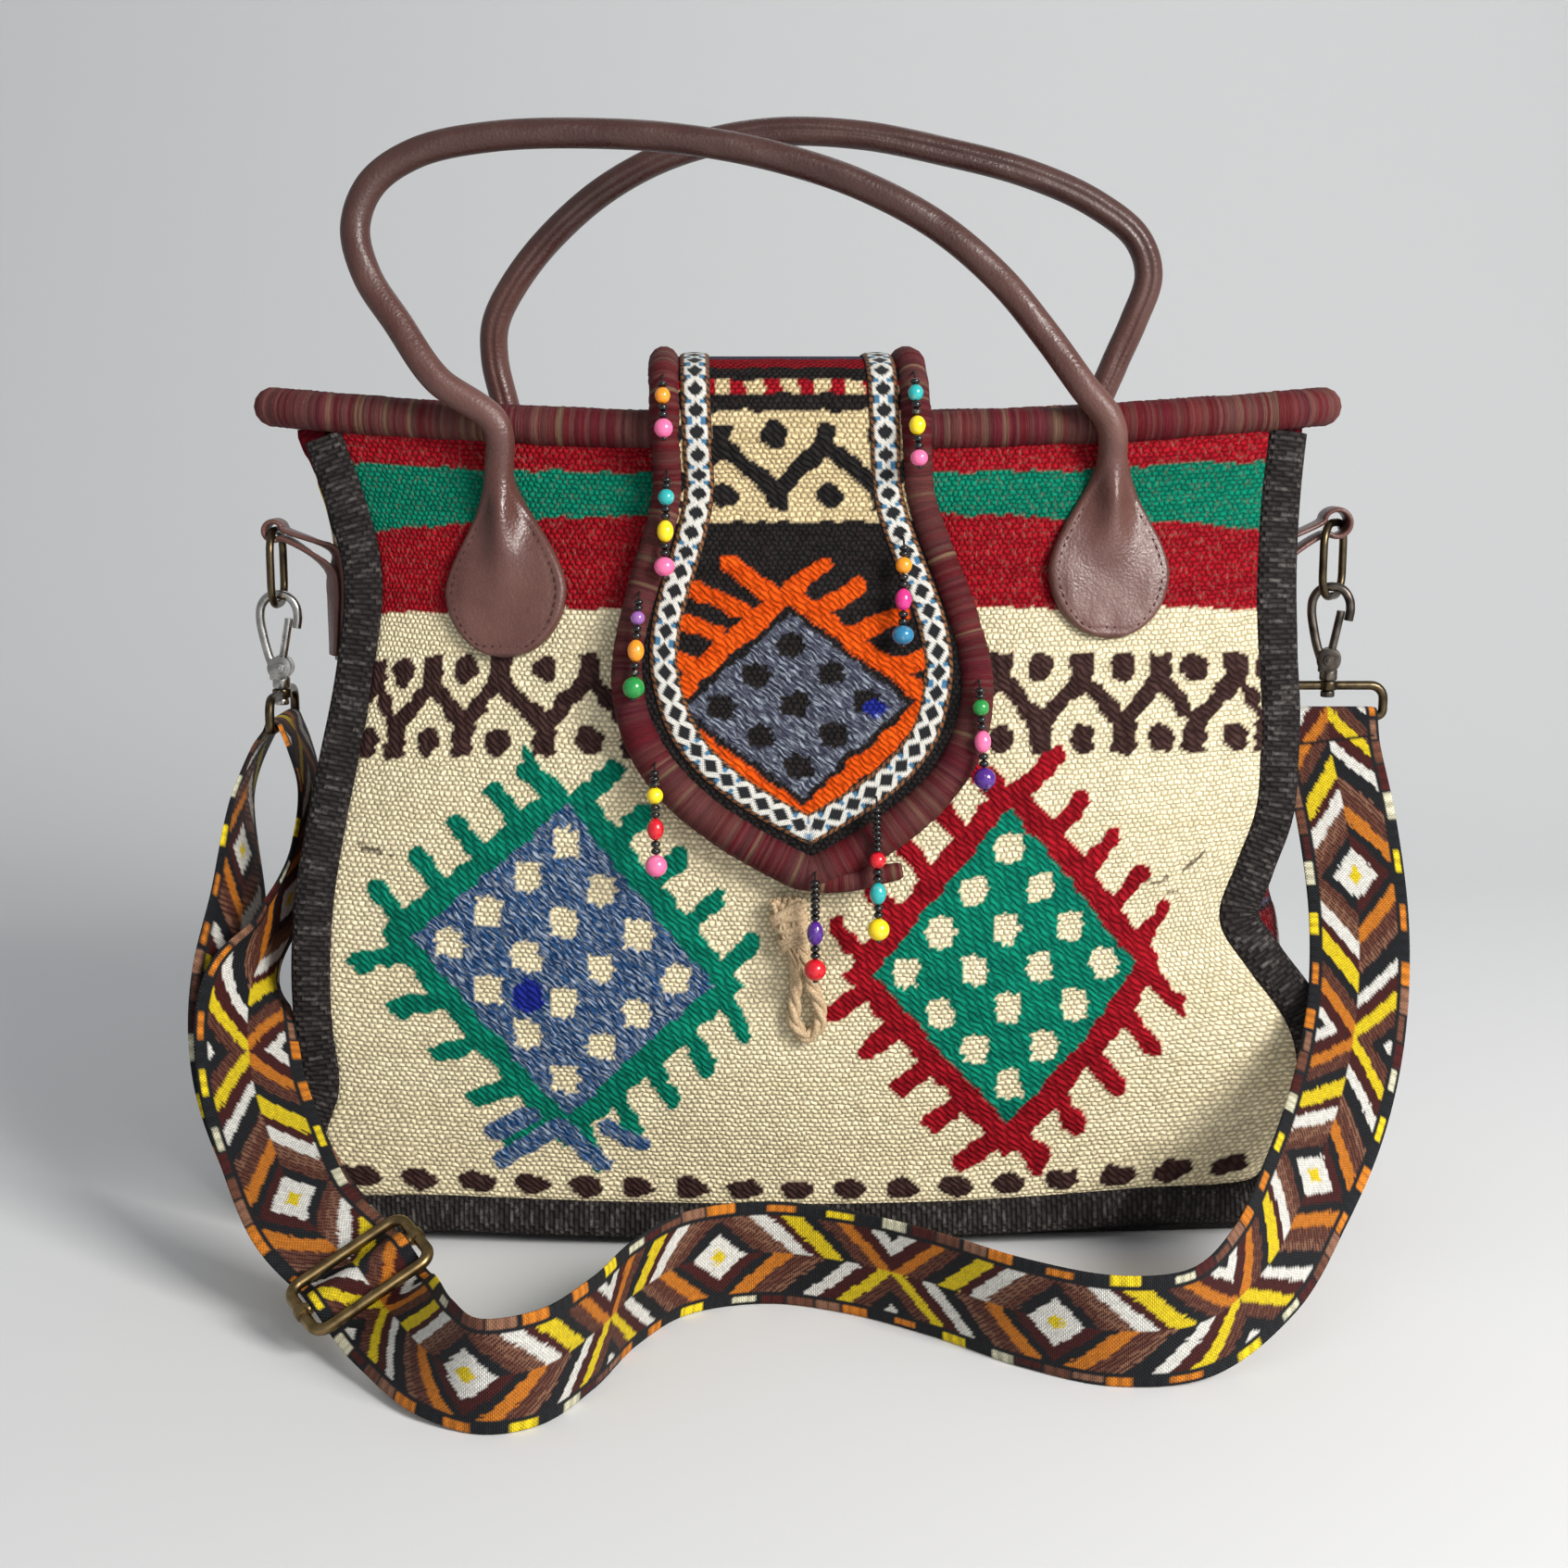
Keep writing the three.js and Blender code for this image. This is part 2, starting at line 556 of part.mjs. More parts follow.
function zigzag() {
  const upper = [];
  const lower = [];
  const steps = Math.round((2 * zigzagHalfSpan) / (ZIGZAG_PERIOD / 2));
  for (let step = 0; step <= steps; step += 1) {
    const across = -zigzagHalfSpan + (step * ZIGZAG_PERIOD) / 2;
    const level = step % 2 ? ZIGZAG_VALLEY : ZIGZAG_PEAK - ZIGZAG_LINE;
    upper.push([across, level + ZIGZAG_LINE]);
    lower.unshift([across, level]);
  }
  return polygon([...lower.reverse(), ...upper.reverse()]);
}

function dot(across, up, width, height) {
  const outline = new THREE.Shape();
  outline.moveTo(across + width / 2, up);
  for (let turn = 1; turn < 4; turn += 1) {
    const angle = (turn * Math.PI) / 2;
    outline.lineTo(across + (width / 2) * Math.cos(angle), up + (height / 2) * Math.sin(angle));
  }
  outline.closePath();
  return outline;
}

function zigzagDots() {
  const dots = [];
  const clear = ZIGZAG_LINE / 2;
  for (let across = -zigzagHalfSpan; across + ZIGZAG_PERIOD < zigzagHalfSpan; across += ZIGZAG_PERIOD) {
    dots.push(dot(across + ZIGZAG_PERIOD / 2, ZIGZAG_PEAK - clear, DOT_WIDTH, DOT_HEIGHT));
    dots.push(dot(across + ZIGZAG_PERIOD, ZIGZAG_VALLEY + clear, DOT_WIDTH, DOT_HEIGHT));
  }
  return dots;
}

function borderDots() {
  const dots = [];
  const count = Math.floor(PANEL_HALF_WIDTH / BORDER_DOT_PITCH);
  for (let place = -count + 0.5; place < count; place += 1) {
    dots.push(dot(place * BORDER_DOT_PITCH, BORDER_DOT_LEVEL, BORDER_DOT_WIDTH, BORDER_DOT_HEIGHT));
  }
  return dots;
}

function flapZigzag() {
  const points = [];
  const upper = [];
  const middle = (FLAP_BAND_BOTTOM + FLAP_BAND_TOP) / 2;
  for (let step = 0; step <= FLAP_ZIGZAG_TURNS; step += 1) {
    const across = (step / FLAP_ZIGZAG_TURNS - 0.5) * FLAP_ZIGZAG_SPAN;
    const level = middle + (step % 2 ? -ZIGZAG_LINE : 0);
    points.push([across, level]);
    upper.unshift([across, level + ZIGZAG_LINE / 2]);
  }
  return polygon([...points, ...upper]);
}

// Slanted diamond frame: one runs along the upper right side, and the other along the upper left one.
function diamondFrame({ middle, rise, reach }) {
  const one = new THREE.Vector2(rise[0] + reach[0], rise[1] + reach[1]).divideScalar(2);
  const other = new THREE.Vector2(rise[0] - reach[0], rise[1] - reach[1]).divideScalar(2);
  const place = (first, second) => new THREE.Vector2(...middle)
    .addScaledVector(one, first).addScaledVector(other, second);
  return { place, oneLength: one.length(), otherLength: other.length() };
}

// Field with a lattice of light dots, and the toothed comb round it.
function medallion(frame) {
  const { place, oneLength, otherLength } = diamondFrame(frame);
  const { teeth, lattice } = frame;
  const field = new THREE.Shape([place(1, 1), place(-1, 1), place(-1, -1), place(1, -1)]);
  const halfOne = LATTICE_DOT / 2 / oneLength;
  const halfOther = LATTICE_DOT / 2 / otherLength;
  for (let row = 0; row < lattice; row += 1) {
    for (let column = 0; column < lattice; column += 1) {
      const first = (2 * row + 1) / lattice - 1;
      const second = (2 * column + 1) / lattice - 1;
      field.holes.push(new THREE.Path([
        place(first + halfOne, second), place(first, second + halfOther),
        place(first - halfOne, second), place(first, second - halfOther),
      ]));
    }
  }
  const edgeOne = 1 + MEDALLION_BORDER / oneLength;
  const edgeOther = 1 + MEDALLION_BORDER / otherLength;
  const comb = [];
  for (let side = 0; side < 4; side += 1) {
    const lengthAlong = side % 2 ? otherLength : oneLength;
    const lengthOut = side % 2 ? oneLength : otherLength;
    const reachAlong = side % 2 ? edgeOther : edgeOne;
    const reachOut = side % 2 ? edgeOne : edgeOther;
    const turned = (run, out) => [[run, -out], [out, run], [-run, out], [-out, -run]][side];
    const pitch = (2 * reachAlong) / teeth[side];
    const half = TOOTH_WIDTH / 2 / lengthAlong;
    const tip = reachOut + TOOTH_LENGTH / lengthOut;
    comb.push(place(...turned(-reachAlong, reachOut)));
    for (let tooth = 0; tooth < teeth[side]; tooth += 1) {
      const run = -reachAlong + (tooth + 0.5) * pitch;
      comb.push(place(...turned(run - half, reachOut)), place(...turned(run - half, tip)));
      comb.push(place(...turned(run + half, tip)), place(...turned(run + half, reachOut)));
    }
  }
  const border = new THREE.Shape(comb);
  const rim = 1 - BROCADE_OVERLAP;
  border.holes.push(new THREE.Path([place(rim, rim), place(-rim, rim), place(-rim, -rim), place(rim, -rim)]));
  return [border, field];
}

const CREAM = 0xd8c9a6;
const RED = 0x8a1f2d;
const GREEN = 0x1f7d63;
const BROWN = 0x3a2622;
const BLUE = 0x46639b;
const ORANGE = 0xd8672a;
const SLATE = 0x6d7288;
const BLACK = 0x211d1f;

function inDiamond(frame, across, up, limit) {
  const [dx, dy] = [across - frame.middle[0], up - frame.middle[1]];
  const area = frame.reach[0] * frame.rise[1] - frame.reach[1] * frame.rise[0];
  const sideways = (dx * frame.rise[1] - dy * frame.rise[0]) / area;
  const upwards = (dy * frame.reach[0] - dx * frame.reach[1]) / area;
  return Math.abs(sideways) + Math.abs(upwards) < limit;
}

function stripeColour(up) {
  if (up > GREEN_TOP) return RED;
  if (up > GREEN_BOTTOM) return GREEN;
  return up > CREAM_TOP ? RED : CREAM;
}

function flapColour(across, up, out) {
  const raised = out > FLAP_CLOTH / 2 + RELIEF / 2;
  if (up > FLAP_BAND_BOTTOM && up < FLAP_BAND_TOP) return raised ? BLACK : CREAM;
  if (!raised) return BLACK;
  return inDiamond(FLAP_MEDALLION, across, up, 1) ? SLATE : ORANGE;
}

function frontColour(across, up, out) {
  if (out < RELIEF / 2) return stripeColour(up);
  const left = across < 0;
  const frame = MEDALLIONS[left ? 0 : 1];
  if (inDiamond(frame, across, up, 1)) return left ? BLUE : GREEN;
  if (inDiamond(frame, across, up, 2)) return left ? GREEN : RED;
  return BROWN;
}

function panelCloth() {
  const half = PANEL_HALF_WIDTH;
  return flatCloth(-half, half, 0, panelHeight, -CLOTH, 0, PANEL_COLUMNS, PANEL_ROWS);
}

function frontPanel() {
  const brocade = [zigzag(), ...zigzagDots(), ...borderDots(), ...MEDALLIONS.flatMap(medallion)];
  const whole = brocade.reduce(
    (sum, outline) => sum.add(prism(outline, -CLOTH / 2, RELIEF)),
    panelCloth(),
  );
  return laid(whole, onPanel(-1), frontColour);
}

function backPanel() {
  return laid(panelCloth(), onPanel(1), (across, up) => stripeColour(up));
}

function gusset(side) {
  const face = (inset) => (column, row) => gussetPoint(side, 2 * column - 1, row, inset);
  return sheet(4, BODY_ROWS, face(0), face(GUSSET_CLOTH));
}

// Rings of the rounded lower edge of a tray, from its floor up to its wall.
function trayCurl(radius, floor, inset) {
  const steps = 3;
  const rings = [];
  for (let step = 0; step <= steps; step += 1) {
    const turn = (step / steps) * (Math.PI / 2);
    const level = floor + radius * (1 - Math.cos(turn));
    const ring = bodySection(0, inset + radius * (1 - Math.sin(turn)));
    rings.push(ring.map((point) => point.setZ(level)));
  }
  return rings;
}

function basePanel() {
  const edge = (inset) => bodySection(0, inset).map((point) => point.setZ(point.z - 2 * FIT));
  const outer = trayCurl(BASE_CURL, 0, 0);
  const inner = trayCurl(BASE_CURL - BASE_CLOTH, BASE_CLOTH, BASE_CLOTH).reverse();
  return loft([...outer, edge(0), edge(BASE_CLOTH), ...inner]);
}

function lining() {
  const outerInset = BASE_CLOTH + FIT + LINING_EASE;
  const top = 1 - LINING_DROP / panelHeight;
  const wall = (inset) => Array.from(
    { length: BODY_ROWS + 1 },
    (unused, row) => bodySection(Math.min(row / BODY_ROWS, top), inset),
  );
  const outerRadius = BASE_CURL - outerInset;
  const outer = [...trayCurl(outerRadius, outerInset, outerInset), ...wall(outerInset)];
  const innerInset = outerInset + LINING;
  const inner = [...trayCurl(outerRadius - LINING, innerInset, innerInset), ...wall(innerInset)];
  return shell(outer, inner);
}

// Wrapped cord along a curve: bundles of turns with a groove between them.
function wrappedCord(curve, radius, sides, outAt, closed) {
  const bundles = Math.round(curve.getLength() / WRAP_TURN);
  const rings = [];
  const count = 2 * bundles;
  for (let step = 0; step < (closed ? count : count + 1); step += 1) {
    const share = step / count;
    const middle = curve.getPointAt(share);
    const run = curve.getTangentAt(share);
    const across = run.clone().cross(outAt(middle)).normalize();
    const out = across.clone().cross(run);
    const size = step % 2 ? radius : radius - WRAP_GROOVE;
    rings.push(ovalRing(middle, across, out, size, size, sides));
  }
  return loft(rings, closed);
}

function mouthLine() {
  const columns = 8;
  const points = [];
  for (const facing of [-1, 1]) {
    points.push(new THREE.Vector3(facing * mouthHalfSpan, 0, 0));
    points.push(tapeLine(facing, facing, 1, TAPE_THICKNESS / 2));
    for (let column = 0; column <= columns; column += 1) {
      const point = panelFace(facing, facing * (1 - (2 * column) / columns), 1);
      point.y -= (facing * CLOTH) / 2;
      points.push(point);
    }
    points.push(tapeLine(facing, -facing, 1, TAPE_THICKNESS / 2));
  }
  points.forEach((point) => point.setZ(rollHeight(point.x)));
  return new THREE.CatmullRomCurve3(points, true);
}

function rimRoll() {
  const up = new THREE.Vector3(0, 0, 1);
  return wrappedCord(mouthLine(), ROLL_RADIUS, ROLL_SIDES, () => up, true);
}

// Seam tape down one side of a panel, along its lower edge and up the other side.
function seamTape(facing) {
  const half = TAPE_THICKNESS / 2;
  const side = (which) => Array.from(
    { length: PANEL_ROWS },
    (unused, row) => tapeLine(facing, which, 1 - row / PANEL_ROWS, half),
  );
  const lowerEdge = (share, x, z) => panelFace(facing, share, 0).add(new THREE.Vector3(x, -facing * half, z));
  const corner = (which) => lowerEdge(which, which * TAPE_HALF_WIDTH, -TAPE_HALF_WIDTH);
  const lower = [];
  for (let column = 1; column < PANEL_COLUMNS; column += 1) {
    lower.push(lowerEdge((2 * column) / PANEL_COLUMNS - 1, 0, -tapeMiddle));
  }
  const points = [...side(-1), corner(-1), ...lower, corner(1), ...side(1).reverse()];
  const out = new THREE.Vector3(0, facing, 0);
  const rings = points.map((point, place) => {
    const run = points[Math.min(place + 1, points.length - 1)].clone().sub(points[Math.max(place - 1, 0)]);
    const across = run.cross(out).normalize();
    return ovalRing(point, across, out, TAPE_HALF_WIDTH, half, 6);
  });
  for (const end of [rings[0], rings.at(-1)]) {
    end.forEach((point) => point.setZ(rollHeight(point.x) - ROLL_RADIUS - FIT));
  }
  return loft(rings);
}

// Flap

const flapStandOff = BINDING_RADIUS + RELIEF + FIT;

// Middle line of the flap from its tip up the front, over the mouth and down the back to its hem.
function flapMiddleLine() {
  const points = [];
  const share = FLAP_MIDDLE / PANEL_HALF_WIDTH;
  const up = (facing, low, steps) => {
    for (let step = 0; step <= steps; step += 1) {
      const point = panelFace(facing, share, THREE.MathUtils.lerp(low, FLAP_LAID, step / steps));
      points.push(new THREE.Vector3(0, point.y + facing * flapStandOff, point.z));
    }
  };
  const roll = panelFace(1, share, 1).y - CLOTH / 2;
  const clear = roll + ROLL_RADIUS + BINDING_RADIUS + FIT;
  up(-1, (FLAP_TIP_HEIGHT - SEAM_HEIGHT) / panelHeight, 7);
  points.push(new THREE.Vector3(0, -clear, RIM_HEIGHT));
  points.push(new THREE.Vector3(0, -clear * FLAP_CREST_SPREAD, RIM_HEIGHT + FLAP_RISE * FLAP_CREST_ROUND));
  points.push(new THREE.Vector3(0, 0, crestHeight));
  const backPoints = points.length;
  up(1, (FLAP_HEM_HEIGHT - SEAM_HEIGHT) / panelHeight, 2);
  const back = points.splice(backPoints).reverse();
  points.push(new THREE.Vector3(0, clear * FLAP_CREST_SPREAD, RIM_HEIGHT + FLAP_RISE * FLAP_CREST_ROUND));
  points.push(new THREE.Vector3(0, clear, RIM_HEIGHT), ...back);
  return new THREE.CatmullRomCurve3(points);
}

const flapLine = flapMiddleLine();
const flapLength = flapLine.getLength();
const sideways = new THREE.Vector3(1, 0, 0);

// Flap surface in flat sizes: across from its middle, up along it from the tip, and out of its middle layer.
function onFlap(across, up, out) {
  const share = THREE.MathUtils.clamp(up / flapLength, 0, 1);
  const point = flapLine.getPointAt(share);
  const normal = sideways.clone().cross(flapLine.getTangentAt(share)).normalize();
  point.addScaledVector(normal, out);
  point.x = FLAP_MIDDLE - FLAP_LEAN * share + across;
  return point;
}

// Edge of the tongue from the right end of its hem round the tip to the left end, moved inwards by inset.
function tongueEdge(inset, neckSteps = 1) {
  const side = new THREE.Path();
  side.moveTo(FLAP_NECK, flapLength);
  side.lineTo(FLAP_NECK, FLAP_SHOULDER);
  side.bezierCurveTo(
    FLAP_NECK, (FLAP_SHOULDER + FLAP_BELLY) / 2 + FLAP_FLARE,
    FLAP_WIDEST, FLAP_BELLY + FLAP_FLARE, FLAP_WIDEST, FLAP_BELLY,
  );
  side.bezierCurveTo(
    FLAP_WIDEST, FLAP_BELLY - FLAP_ROUND, FLAP_TIP_REACH, FLAP_TIP_SLOPE * FLAP_TIP_REACH, 0, 0,
  );
  const right = side.getPoints(6);
  const neck = Array.from({ length: neckSteps }, (unused, step) => new THREE.Vector2(
    FLAP_NECK, THREE.MathUtils.lerp(flapLength, FLAP_SHOULDER, step / neckSteps),
  ));
  const half = [...neck, ...right.slice(1)];
  const mirrored = half.slice(0, -1).reverse().map((point) => new THREE.Vector2(-point.x, point.y));
  const edge = [...half, ...mirrored];
  return edge.map((point, place) => {
    const before = edge[Math.max(place - 1, 0)];
    const after = edge[Math.min(place + 1, edge.length - 1)];
    const first = inward(before, point) ?? inward(point, after);
    const second = inward(point, after) ?? first;
    const middle = first.clone().add(second).normalize();
    return point.clone().addScaledVector(middle, inset / middle.dot(first));
  }).filter((point, place) => edge[place].x === 0 || Math.sign(edge[place].x) * point.x > FIT);
}

// Inward side of a stretch of the tongue's edge.
function inward(from, to) {
  const run = to.clone().sub(from);
  return run.length() < 1e-9 ? null : new THREE.Vector2(run.y, -run.x).normalize();
}

const clothInset = 2 * BINDING_RADIUS + FIT;
const neckRows = Math.round((1 - FLAP_SHOULDER / flapLength) * FLAP_ROWS);

function flapCloth() {
  const half = FLAP_CLOTH / 2;
  const flat = flatCloth(-FLAP_WIDEST, FLAP_WIDEST, 0, flapLength, -half, half, FLAP_COLUMNS, FLAP_ROWS);
  const tongue = prism(new THREE.Shape(tongueEdge(clothInset)), -FLAP_CLOTH, FLAP_CLOTH);
  const field = prism(new THREE.Shape(tongueEdge(clothInset + RIBBON_WIDTH + FIT)), 0, FLAP_CLOTH);
  const whole = [flapZigzag(), ...medallion(FLAP_MEDALLION)].reduce(
    (sum, outline) => sum.add(prism(outline, 0, half + RELIEF).intersect(field)),
    flat.intersect(tongue),
  );
  return laid(whole, onFlap, flapColour);
}

// Edge of the ribbon round the tongue, with level rungs up the neck.
function ribbonLine(inset) {
  const edge = tongueEdge(inset, neckRows);
  const right = edge.slice(0, (edge.length + 1) / 2);
  const round = new THREE.Path(right.slice(neckRows)).getSpacedPoints(RIBBON_STEPS);
  const half = [...right.slice(0, neckRows), ...round];
  const mirrored = half.slice(0, -1).reverse().map((point) => new THREE.Vector2(-point.x, point.y));
  return [...half, ...mirrored];
}

function flapRibbon() {
  const low = FLAP_CLOTH / 2 + RIBBON_LIFT;
  const high = low + RIBBON_THICKNESS;
  const outer = ribbonLine(clothInset + FIT);
  const inner = ribbonLine(clothInset + RIBBON_WIDTH - FIT);
  const rings = outer.map((point, place) => [
    onFlap(point.x, point.y, low), onFlap(inner[place].x, inner[place].y, low),
    onFlap(inner[place].x, inner[place].y, high), onFlap(point.x, point.y, high),
  ]);
  return loft(rings);
}

function flapBinding() {
  const points = tongueEdge(BINDING_RADIUS, BINDING_NECK_STEPS).map((point) => onFlap(point.x, point.y, 0));
  const curve = new THREE.CatmullRomCurve3(points);
  const heart = new THREE.Vector3(FLAP_MIDDLE, 0, FLAP_TIP_HEIGHT);
  const outAt = (point) => point.clone().sub(heart).setX(0);
  return wrappedCord(curve, BINDING_RADIUS, BINDING_SIDES, outAt, false);
}

// Thread of seed beads with painted beads on it, and the stub that reaches back to the trim behind it.
function beadStrand({ beads, fall }, reach) {
  const outline = [new THREE.Vector2(0, 0), new THREE.Vector2(SEED_RADIUS, 0)];
  let level = -fall;
  for (const [radius, length] of beads) {
    outline.push(new THREE.Vector2(SEED_RADIUS, level));
    outline.push(new THREE.Vector2(radius, level - length * 0.3));
    outline.push(new THREE.Vector2(radius, level - length * 0.7));
    level -= length;
    outline.push(new THREE.Vector2(SEED_RADIUS, level));
    level -= SEED_LENGTH;
  }
  outline.push(new THREE.Vector2(0, level + SEED_LENGTH));
  const strand = new THREE.LatheGeometry(outline.reverse(), 5).rotateX(Math.PI / 2);
  const stub = new THREE.CylinderGeometry(THREAD_RADIUS, THREAD_RADIUS, reach, 5);
  return fromSolid(joined(strand, stub.translate(0, reach / 2, -THREAD_RADIUS)));
}

// Depth of the flap's middle layer on the front at a height above the floor.
function flapFront(level) {
  for (let share = 0; share < 1; share += 0.01) {
    const point = flapLine.getPointAt(share);
    if (point.z >= level) return point.y;
  }
  return 0;
}

// Distance of a point beside the flap from its middle layer.
function flapDistance(point) {
  return Math.min(...flapLine.getSpacedPoints(200).map((spot) => spot.distanceTo(point)));
}

// Sideways place of a trim on one side of the flap's front, at a height above the floor.
function trimPlace(side, inset, level) {
  const right = tongueEdge(inset, BINDING_NECK_STEPS).filter((point) => point.x * side >= 0);
  const line = right.map((point) => onFlap(point.x, point.y, 0)).filter((point) => point.y < 0);
  line.sort((one, other) => one.z - other.z);
  const above = line.findIndex((point) => point.z >= level);
  if (above < 1) return line.at(above).x;
  const [low, high] = [line[above - 1], line[above]];
  return THREE.MathUtils.mapLinear(level, low.z, high.z, low.x, high.x);
}

// Sews a strand to its trim, in front of the binding and leaning as the flap leans behind it.
function sewStrand(name, strand) {
  const { side, sewn, beads, fall, sunk = 0, colour } = strand;
  const top = THREE.MathUtils.lerp(FLAP_TIP_HEIGHT, crestHeight, strand.top);
  const onBinding = sewn === 'binding';
  const inset = onBinding ? BINDING_RADIUS : clothInset + RIBBON_WIDTH / 2;
  const bindingHeight = BINDING_RADIUS * Math.cos(Math.PI / BINDING_SIDES);
  const trimHeight = onBinding ? bindingHeight : FLAP_CLOTH / 2 + RIBBON_LIFT + RIBBON_THICKNESS;
  const widest = Math.max(...beads.map(([radius]) => radius));
  const length = beads.reduce((sum, bead) => sum + bead[1] + SEED_LENGTH, fall - SEED_LENGTH);
  const upper = flapFront(top);
  const slope = (flapFront(top - length) - upper) / length;
  let bulge = 0;
  for (let down = 0; down <= length; down += 2) {
    bulge = Math.max(bulge, upper + slope * down - flapFront(top - down));
  }
  const standOff = BINDING_RADIUS + widest + FIT + bulge;
  const hung = new THREE.Object3D();
  hung.position.set(0, upper - standOff * Math.hypot(1, slope), top);
  hung.rotation.x = Math.atan(slope);
  hung.updateMatrix();
  const clear = (down, back) => {
    const end = new THREE.Vector3(0, back, -down).applyMatrix4(hung.matrix);
    return flapDistance(end) > trimHeight + 1.5 * FIT - sunk;
  };
  let reach = standOff;
  while (!clear(0, reach) || !clear(2 * THREAD_RADIUS, reach)) reach -= FIT / 2;
  const mesh = add(name, beadStrand(strand, reach), painted(colour));
  mesh.position.copy(hung.position).setX(trimPlace(side, inset, top));
  mesh.rotation.copy(hung.rotation);
}

// Twine loop with its whipped neck, hanging from the tip of the flap.
function jute() {
  const half = LOOP_LENGTH / 2;
  const loop = wireLoop(roundedOutline(LOOP_HALF_WIDTH, half, LOOP_HALF_WIDTH, -half), 2, TWINE_RADIUS, 5);
  const whip = cylinder(LOOP_HALF_WIDTH + TWINE_RADIUS, -LOOP_LENGTH * LOOP_NECK, TWINE_RADIUS, 7);
  return fromSolid(joined(loop, whip));
}

// Leather handle: a round roll that spreads into a flat teardrop at both ends.
const endWidth = along(HANDLE_SPREAD.places, HANDLE_SPREAD.values);
const endFlatness = along(HANDLE_FLATNESS.places, HANDLE_FLATNESS.values);

function handle(facing, feet, arch) {
  const flat = HANDLE_END_THICKNESS / 2;
  const onFace = onPanel(facing);
  const seat = RELIEF + FIT;
  const foot = ([x, up]) => [0, 0.3, 0.6, 1].map((share) => {
    const out = THREE.MathUtils.lerp(HANDLE_RADIUS, flat, endFlatness(share));
    return onFace(-facing * x, up + share * HANDLE_END_LENGTH, seat + out);
  });
  const crossing = ([x]) => {
    const share = x / PANEL_HALF_WIDTH;
    const depth = Math.abs(panelFace(facing, share, 1).y) + ROLL_RADIUS + HANDLE_RADIUS;
    return new THREE.Vector3(x, facing * depth, rollHeight(x));
  };
  const free = arch.map((point) => new THREE.Vector3(...point));
  const first = [...foot(feet[0]), crossing(feet[0])];
  const last = [crossing(feet[1]), ...foot(feet[1]).reverse()];
  const points = [...first, ...free, ...last];
  const curve = new THREE.CatmullRomCurve3(points);
  const length = curve.getLength();
  const ends = HANDLE_END_SECTIONS.map((share) => share * HANDLE_END_LENGTH);
  const places = [...ends];
  for (let step = 1; step < HANDLE_SECTIONS; step += 1) {
    const share = step / HANDLE_SECTIONS;
    places.push(THREE.MathUtils.lerp(HANDLE_END_LENGTH, length - HANDLE_END_LENGTH, share));
  }
  places.push(...ends.map((end) => length - end).reverse());
  const outward = new THREE.Vector3(0, facing, 0);
  const tilts = feet.map(([x, up]) => panelNormal(facing, -facing * x, up + HANDLE_END_LENGTH / 3));
  const rings = places.map((spot) => {
    const share = Math.min(spot, length - spot) / HANDLE_END_LENGTH;
    const out = outward.clone().lerp(tilts[spot < length / 2 ? 0 : 1], endFlatness(share));
    const wide = THREE.MathUtils.lerp(HANDLE_RADIUS, HANDLE_END_HALF_WIDTH, endWidth(share));
    const narrow = share < 0.25 ? wide * endWidth(share) : wide;
    const thick = THREE.MathUtils.lerp(HANDLE_RADIUS, flat, endFlatness(share));
    const run = curve.getTangentAt(spot / length);
    const across = run.clone().cross(out).normalize();
    return ovalRing(curve.getPointAt(spot / length), across, across.clone().cross(run), narrow, thick, 8);
  });
  return loft(rings);
}

// Strap metal

const ringMiddle = HOOK_HEIGHT - HOOK_WIRE - RING_WIRE - FIT + RING_HALF_HEIGHT;
const ringTop = ringMiddle + RING_HALF_HEIGHT;

function ring() {
  const outline = roundedOutline(RING_HALF_WIDTH, RING_HALF_HEIGHT, RING_CORNER, ringMiddle);
  return wireLoop(outline, 2, RING_WIRE, 6);
}

function strapEye() {
  const half = EYE_DROP / 2;
  const loop = wireLoop(roundedOutline(EYE_HALF_WIDTH, half, EYE_CORNER, -half), 2, EYE_WIRE, 6);
  const boss = cylinder(EYE_BOSS_RADIUS, -EYE_WIRE, EYE_WIRE, 12);
  const hole = toSolid(cylinder(POST_RADIUS + PLAY, -2 * EYE_WIRE, 2 * EYE_WIRE, 12));
  return fromSolid(joined(loop, boss).subtract(hole));
}

const noseLevel = HOOK_HEIGHT - HOOK_HALF_WIDTH - HOOK_NOSE;
const gateReach = HOOK_HALF_WIDTH - HOOK_WIRE - FIT - GATE_HALF_WIDTH;
const gateTip = noseLevel + GATE_OVERLAP - HOOK_BOSS_HEIGHT;
const gateLean = Math.atan2(gateReach, gateTip);

